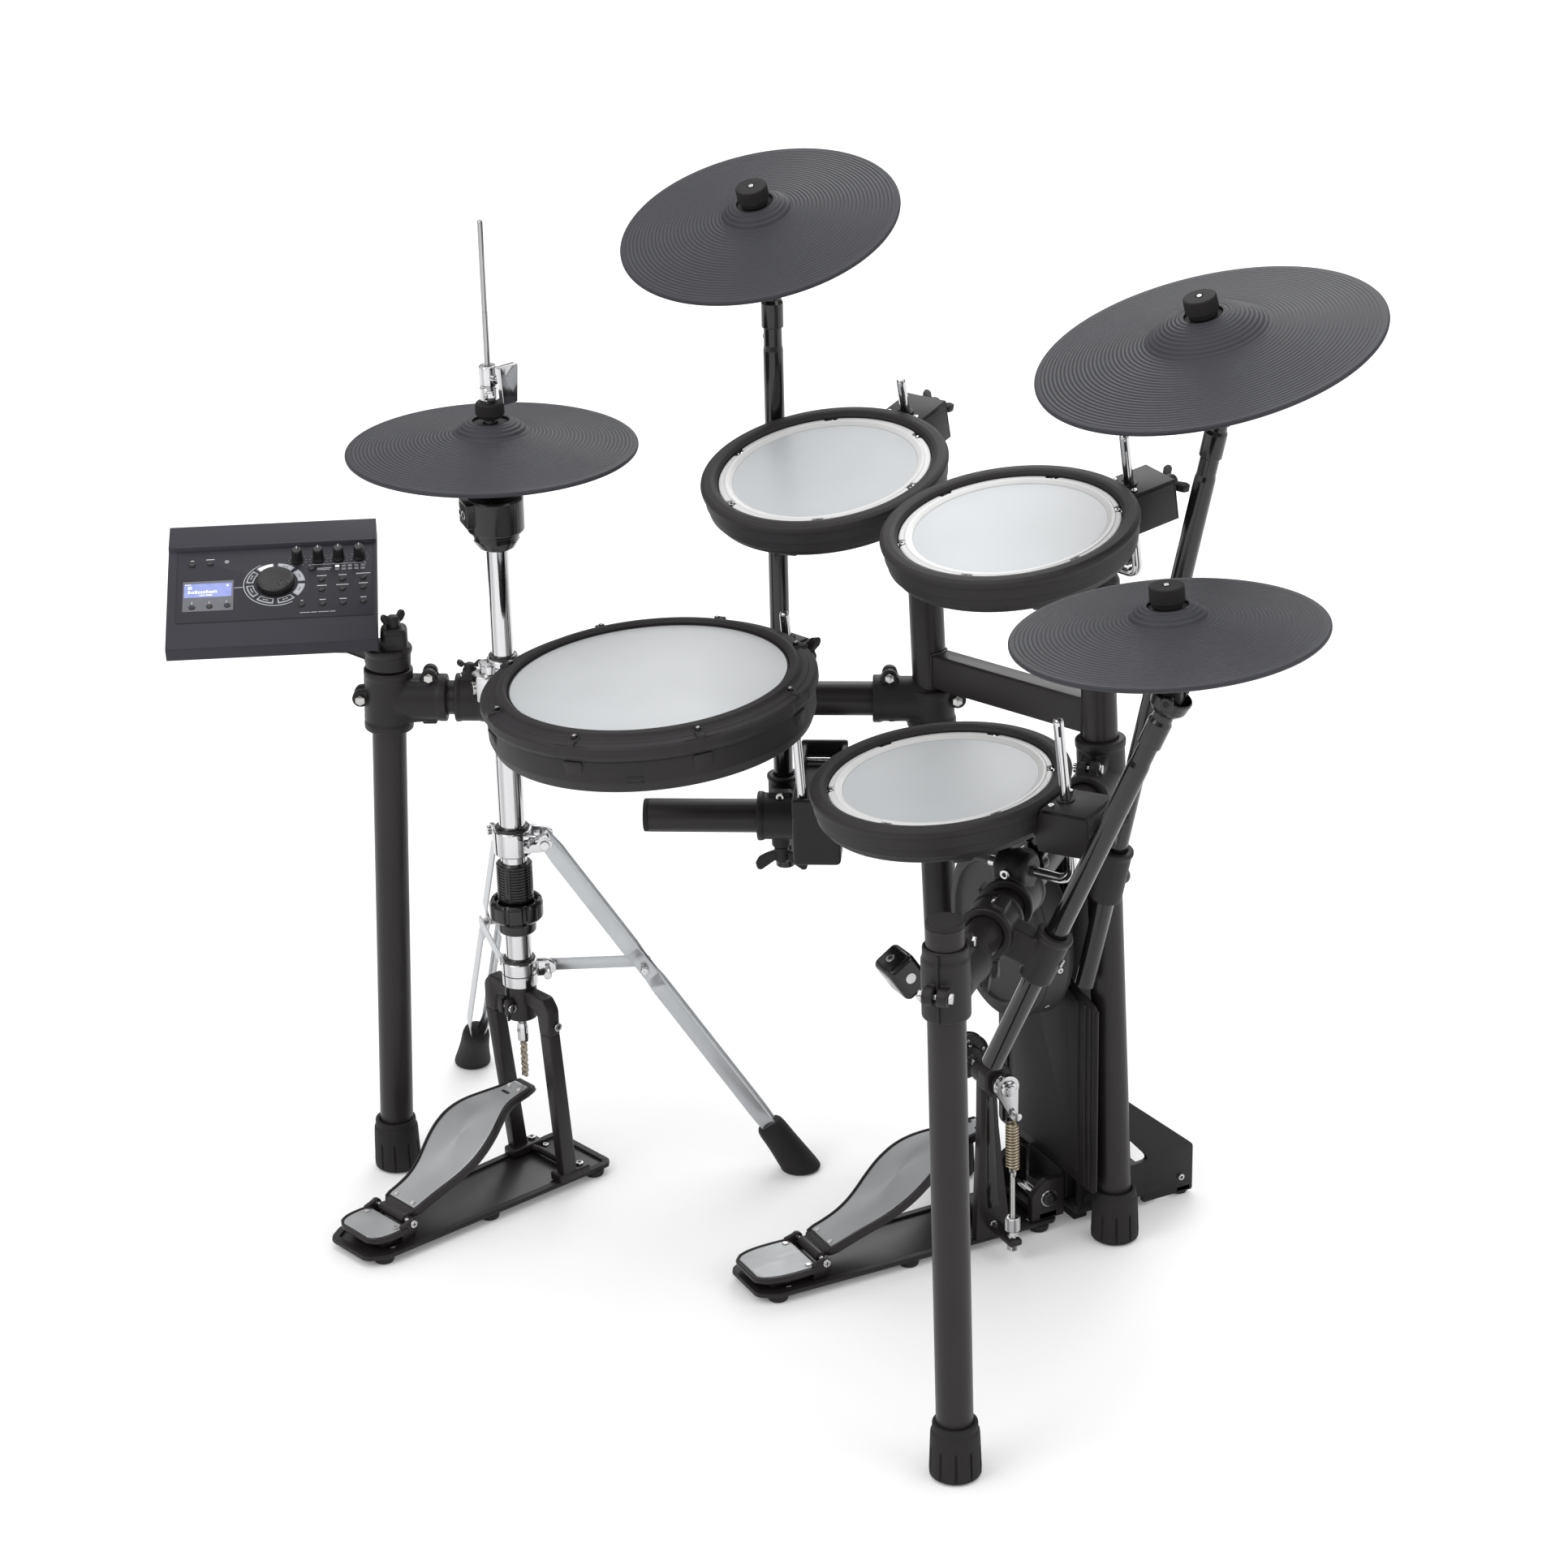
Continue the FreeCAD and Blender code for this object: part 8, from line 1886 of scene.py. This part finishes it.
# screws and ribs underneath, tilt knuckle
nb = unit((0, -0.1735, -0.985))
for x in (-98, 98):
    for y in (-80, 0, 86):
        z = -20.3 if y < -52 else -22.0 - (y + 50) * 0.17
        p.bolt((x, y, z + 0.3), nb, 3.6, 1.2, steel, dark, "cross", 24)
hxm, hym, hzm = 20.0, -28.0, -46.0
p.lathe(fillet([(3.9, -14), (12.0, -14), (13, -13), (13, 13), (12.0, 14), (3.9, 14)], 0.6, 2), cast_plastic, frm((hxm, hym, hzm), (1, 0, 0), (0, 1, 0)), 48)
p.box(hxm - 13.8, hxm + 13.8, hym - 12, hym + 12, hzm, -25.4, cast_plastic, None, 1.4, 2)
p.hexa([(hxm - 40, hym - 24, -31), (hxm + 40, hym - 24, -31), (hxm + 40, hym + 26, -39.5), (hxm - 40, hym + 26, -39.5), (hxm - 40, hym - 24, -24), (hxm + 40, hym - 24, -24), (hxm + 40, hym + 26, -32), (hxm - 40, hym + 26, -32)], cast_plastic, None, 1.6, 2)
p.done(36)

# display window and printed marks
p = Piece("module_display", "module", "case_plastic", (), module)
bez = surface("display_surround", (0.115, 0.117, 0.135), 0.06, (0.34, 0.44), grain=2400, bump=0.15, dist=0.0001)
p.prism(rrect(-98.5, -42.5, -43.5, 5.2, 1.2), 0.3, 0.95, bez, None, 0.25, 2)
p.prism(rrect(-97.0, -44.6, -21.0, 1.2, 0.8), 0.5, 1.15, lcd_mat, None, 0.1, 1)
# generic bars in place of the display's lettering
def bar(x0, x1, y0, y1, m=lcd_dark, z=1.15):
    p.prism(rrect(x0, x1, y0, y1, 0.3, 2), z - 0.05, z + 0.12, m, None, 0.03, 1)
for x0, x1 in ((-96, -94.6), (-93.6, -92.0), (-91.2, -89.8)):
    bar(x0, x1, -0.9, 0.3)
bar(-92.6, -90.6, -7.6, -3.0)
bar(-89.8, -88.6, -7.6, -3.0)
bar(-50.4, -48.0, -4.6, -2.0)
wd = [2.0, 1.0, 1.9, 2.4, 2.0, 2.0, 2.2, 2.0, 2.2, 2.0, 1.0, 1.0]
x = -92.6
for i, w_ in enumerate(wd):
    bar(x, x + w_, -14.6, -10.2 if i in (0, 3, 7, 10, 11) else -11.4)
    x += w_ + 0.9
bar(-80, -74.5, -18.4, -17.2)
bar(-73.4, -66.0, -18.4, -17.2)
bar(-97.0, -44.6, 1.25, 1.75, bez, 1.1)
mk = lambda x0, x1, y0, y1: bar(x0, x1, y0, y1, mark_mat, 0.5)
for x in (-88, -69, -50):
    bar(x - 0.35, x + 0.35, -33.4, -27.6, mark_mat, 0.95)
# short strokes in place of the key legends
for kx, ky, w_ in ((-89, 33, 4), (-69, 34, 9), (44, 18, 0), (55, -1, 11), (78, -1, 9), (101, 0, 16), (55, -17, 11), (78, -17, 14), (101, -16, 10), (33, -40, 3), (56, -40, 7), (78.5, -40, 8), (101, -39, 7)):
    if w_:
        mk(kx - w_ / 2, kx + w_ / 2, ky + 6.2, ky + 7.3)
mk(50, 66, 17.6, 18.5)
mk(50, 64, 15.4, 16.2)
p.torus(2.1, 0.35, mark_mat, tr(-50.5, 36, 0.5), 28, 8)
p.box(-50.9, -50.1, 34.4, 37.6, 0.45, 0.7, mark_mat, None, 0.1, 1)
# long rule above the indicator grid
mk(41, 104, 24.2, 24.7)
for q in (41.0, 104.0):
    mk(q - 0.25, q + 0.25, 22.2, 24.7)
grey_led = surface("indicator_window", (0.20, 0.205, 0.22), 0.08, (0.3, 0.4), grain=1800, bump=0.1, dist=0.0001)
for i in range(5):
    for j in range(2):
        p.prism(rrect(69.8 + i * 7.1, 74.6 + i * 7.1, 18.9 - j * 5.0, 22.2 - j * 5.0, 0.4, 2), 0.3, 0.85, led_mat if i == 0 and j == 0 else grey_led, None, 0.15, 1)
# arc round the selector and its leader line to the display
dx_, dy_ = 4.0, -4.0
arc = [(dx_ + 35.4 * cos(q), dy_ + 35.4 * sin(q), 0.5) for q in np.linspace(rad(118), rad(302), 60)]
p.sweep(arc, 0.45, mark_mat, 8)
p.sweep([(-42.0, -7.8, 0.5), (-36, -7.4, 0.5), (dx_ - 35.3, -7.0, 0.5)], 0.4, mark_mat, 8)
# stroke row in the lower right corner
for a, b in ((31, 42), (43, 50), (51, 63), (64, 70)):
    mk(a, b, -53.4, -52.6)
for kx, ky in ((28.0, 33.0), (51.5, 33.0), (74.0, 33.5), (97.0, 34.0)):
    for q in np.linspace(-2.5, 2.5, 11):
        r0 = vec(kx + 9.2 * sin(q), ky + 9.2 * cos(q), 0.5)
        r1 = vec(kx + 10.4 * sin(q), ky + 10.4 * cos(q), 0.5)
        p.sweep([r0, r1], 0.28, mark_mat, 6)
p.done(40)

# press keys: round caps and the ring of eight segment keys about the selector
p = Piece("module_key_caps", "module_keys", "control_plastic", "module_keys", module)
for kx, ky in ((-88, -37), (-68.5, -36.5), (-49, -36), (-89, 33), (-69, 34), (44, 18), (55, -1), (78, -1), (101, 0), (55, -17), (78, -17), (101, -16), (33, -40), (56, -40), (78.5, -40), (101, -39)):
    p.lathe(fillet([(0, 2.2), (1.6, 2.0), (2.6, 2.35), (3.6, 1.7), (3.75, 0.2), (3.6, -3)], [0, 1, 0.6, 0.6, 0.4, 0], 3), key_mat, tr(kx, ky, 0), 32)
seg_grey = surface("segment_key_face", (0.42, 0.44, 0.47), 0.06, (0.3, 0.42), grain=2000, bump=0.1, dist=0.0001)
for i in range(8):
    a0, a1 = 45 * i + 4.5, 45 * i + 40.5
    ro, ri = 32.6, 24.6
    ring = [(dx_ + ro * cos(rad(q)), dy_ + ro * sin(rad(q))) for q in np.linspace(a0, a1, 12)] + [(dx_ + ri * cos(rad(q)), dy_ + ri * sin(rad(q))) for q in np.linspace(a1, a0, 12)]
    m_edge = seg_grey
    p.prism(ring, -0.2, 1.5, m_edge, None, 0.35, 2)
    b0, b1 = a0 + 2.6, a1 - 2.6
    inn = [(dx_ + (ro - 1.3) * cos(rad(q)), dy_ + (ro - 1.3) * sin(rad(q))) for q in np.linspace(b0, b1, 12)] + [(dx_ + (ri + 1.3) * cos(rad(q)), dy_ + (ri + 1.3) * sin(rad(q))) for q in np.linspace(b1, b0, 12)]
    face = {0: seg_grey, 1: seg_grey, 2: led_mat, 7: seg_grey}.get(i, key_mat)
    if i == 2:
        p.prism(inn, 1.2, 1.75, led_mat, None, 0.15, 1)
    else:
        p.prism(inn, 1.2, 1.72, face, None, 0.15, 1)
    c_ = rad((a0 + a1) / 2)
    cc = vec(dx_ + 28.6 * cos(c_), dy_ + 28.6 * sin(c_), 1.6)
    if i != 2:
        for s_ in (-3.2, 0.4):
            p.box(s_, s_ + 2.6, -0.5, 0.5, 0, 0.25, dark if i in (0, 1, 7) else mark_mat, frm(cc, (0, 0, 1), (-sin(c_), cos(c_), 0)), 0.05, 1)
p.done(40)

p = Piece("module_selector", "module_dial", "control_plastic", "module_dial", module @ tr(dx_, dy_, 0))
dial_mat = brushed("selector_turned_black", (0.016, 0.016, 0.017), (0.26, 0.42), (1.0, 1.0, 1.0), 900.0, 0.35, 0.35)
rib3 = lambda t, r, z: r - (0.28 if (t * 72 / (2 * pi)) % 1 < 0.5 and r > 20.0 else 0)
p.lathe(fillet([(0, 8.6), (6, 8.7), (15.5, 9.6), (18.6, 9.6), (20.8, 8.2), (21, 1.4), (20, 0.7), (0, 0.7)], [0, 2, 2, 2, 1.2, 0.6, 0.4, 0], 4), dial_mat, None, 288, rib3)
p.lathe(fillet([(0, 0.4), (3.2, 0.5), (4.4, 1.3), (5.0, 1.4), (5.6, 0.9), (5.7, 0)], 0.5, 3), knob_mat, tr(9.2, -7.6, 8.8), 40)
p.done(44)

for i, (kx, ky) in enumerate(((28.0, 33.0), (51.5, 33.0), (74.0, 33.5), (97.0, 34.0))):
    p = Piece("module_knob_cap_%d" % (i + 1), "module_knob_%d" % (i + 1), "control_plastic", "module_knob_%d" % (i + 1), module @ tr(kx, ky, 0))
    kr = lambda t, r, z: r * (1.0 - (0.05 if (t * 18 / (2 * pi)) % 1 < 0.34 and 3.0 < z < 15.8 else 0.0))
    p.lathe(fillet([(0, 0.7), (6.7, 0.7), (6.7, 2.4), (6.2, 3.0), (5.9, 8), (5.5, 15.6), (4.7, 17.4), (2.4, 17.0), (0, 16.8)], [0, 0.4, 0.5, 0.5, 4, 1.0, 0.8, 1, 0], 3), knob_mat, None, 108, kr)
    p.box(-0.45, 0.45, 1.0, 5.0, 16.7, 17.55, mark_mat, None, 0.15, 1)
    p.box(-0.45, 0.45, 5.2, 6.1, 6.0, 15.2, mark_mat, None, 0.15, 1)
    p.done(40)

# ------------------------------------------------------------------ stage
def stage_floor():
    bm = bmesh.new()
    n = 24
    for i in range(n + 1):
        for j in range(n + 1):
            bm.verts.new(((i / n - 0.5) * 60.0, (j / n - 0.5) * 60.0, -0.0006))
    bm.verts.ensure_lookup_table()
    for i in range(n):
        for j in range(n):
            a = i * (n + 1) + j
            bm.faces.new([bm.verts[a], bm.verts[a + n + 1], bm.verts[a + n + 2], bm.verts[a + 1]])
    me = bpy.data.meshes.new("studio_floor")
    bm.to_mesh(me)
    bm.free()
    ob = bpy.data.objects.new("studio_floor", me)
    bpy.context.scene.collection.objects.link(ob)
    m = surface("studio_floor_paper", (0.88, 0.88, 0.88), 0.006, (0.8, 0.9), grain=300, bump=0.02, dist=0.0002, patch=0.6, bevel=0)
    # the paper is lit up again towards the far sweep, so that it stays even to the top of the picture
    nt = m.node_tree
    b = [q for q in nt.nodes if q.type == "BSDF_PRINCIPLED"][0]
    tc = nt.nodes.new("ShaderNodeTexCoord")
    ln = nt.nodes.new("ShaderNodeVectorMath")
    ln.operation = "LENGTH"
    nt.links.new(tc.outputs["Object"], ln.inputs[0])
    nt.links.new(_range(nt, ln.outputs["Value"], 0.10, 0.34, 1.2, 6.0), b.inputs["Emission Strength"])
    b.inputs["Emission Color"].default_value = (1, 1, 1, 1)
    b.inputs["Specular IOR Level"].default_value = 0.1
    me.materials.append(m)


stage_floor()


def area(name, loc, target, size, power, color=(1, 1, 1), size_y=None):
    L = bpy.data.lights.new(name, "AREA")
    L.energy, L.color, L.size = power, color, size
    if size_y:
        L.shape, L.size_y = "RECTANGLE", size_y
    o = bpy.data.objects.new(name, L)
    bpy.context.scene.collection.objects.link(o)
    d = Vector(target) - Vector(loc)
    o.rotation_euler = d.to_track_quat("-Z", "Y").to_euler()
    o.location = loc
    return o


W = bpy.data.worlds.new("studio")
bpy.context.scene.world = W
W.use_nodes = True
wn = W.node_tree
wn.nodes.clear()
wo = wn.nodes.new("ShaderNodeOutputWorld")
wb = wn.nodes.new("ShaderNodeBackground")
wt = wn.nodes.new("ShaderNodeTexCoord")
ws = wn.nodes.new("ShaderNodeSeparateXYZ")
wr = wn.nodes.new("ShaderNodeValToRGB")
wn.links.new(wt.outputs["Generated"], ws.inputs[0])
wm = wn.nodes.new("ShaderNodeMapRange")
wm.inputs["From Min"].default_value, wm.inputs["From Max"].default_value = -1.0, 1.0
wn.links.new(ws.outputs[2], wm.inputs["Value"])
wn.links.new(wm.outputs[0], wr.inputs[0])
er = wr.color_ramp.elements
er[0].position, er[0].color = 0.40, (0.22, 0.22, 0.225, 1)
er[1].position, er[1].color = 0.97, (1.30, 1.30, 1.31, 1)
for q, w in ((0.52, 0.16), (0.60, 0.34), (0.70, 0.85), (0.84, 1.16)):
    e = er.new(q)
    e.color = (w, w, w * 1.005, 1)
wn.links.new(wr.outputs[0], wb.inputs[0])
wb.inputs[1].default_value = 0.92
wn.links.new(wb.outputs[0], wo.inputs[0])

# camera at the photograph's viewing angle
fw, rt = vec(-0.891, 0.454, 0), vec(0.454, 0.891, 0)
fw, rt = unit(fw), unit(rt)
pitch, roll = 0.4033, -0.0242
look = fw * cos(pitch) + vec(0, 0, -sin(pitch))
upv = np.cross(rt, look)
xr = rt * cos(roll) + upv * sin(roll)
yr = -rt * sin(roll) + upv * cos(roll)
cm = np.eye(4)
cm[:3, 0], cm[:3, 1], cm[:3, 2] = xr, yr, -look
cm[:3, 3] = (vec(3474.9, -1770.6, 2226.7) - vec(SX, SY, 0)) / 1000.0
cam = bpy.data.cameras.new("photo_camera")
cam.sensor_fit, cam.sensor_width, cam.sensor_height = "AUTO", 36.0, 36.0
cam.lens = 4904.0 / 1932.0 * 36.0
cam.clip_end = 200
co = bpy.data.objects.new("photo_camera", cam)
bpy.context.scene.collection.objects.link(co)
co.matrix_world = Matrix(cm.tolist())
bpy.context.scene.camera = co

# soft boxes
cl = cm[:3, 3]
area("key_left", (0.8, -4.2, 3.6), (0, 0, 0.6), 2.6, 66, (1.0, 0.99, 0.97))
area("top_soft", (-0.2, 0.4, 4.4), (0, 0, 0.5), 4.2, 40)
area("fill_right", (4.0, 2.2, 2.6), (0.1, 0.1, 0.6), 2.4, 34, (0.97, 0.985, 1.0))
area("back_rim", (-3.2, 2.6, 3.0), (0, 0, 0.6), 2.4, 46)
sc = bpy.context.scene
sc.view_settings.view_transform = "Standard"
sc.view_settings.look = "None"
sc.view_settings.exposure = 0.0
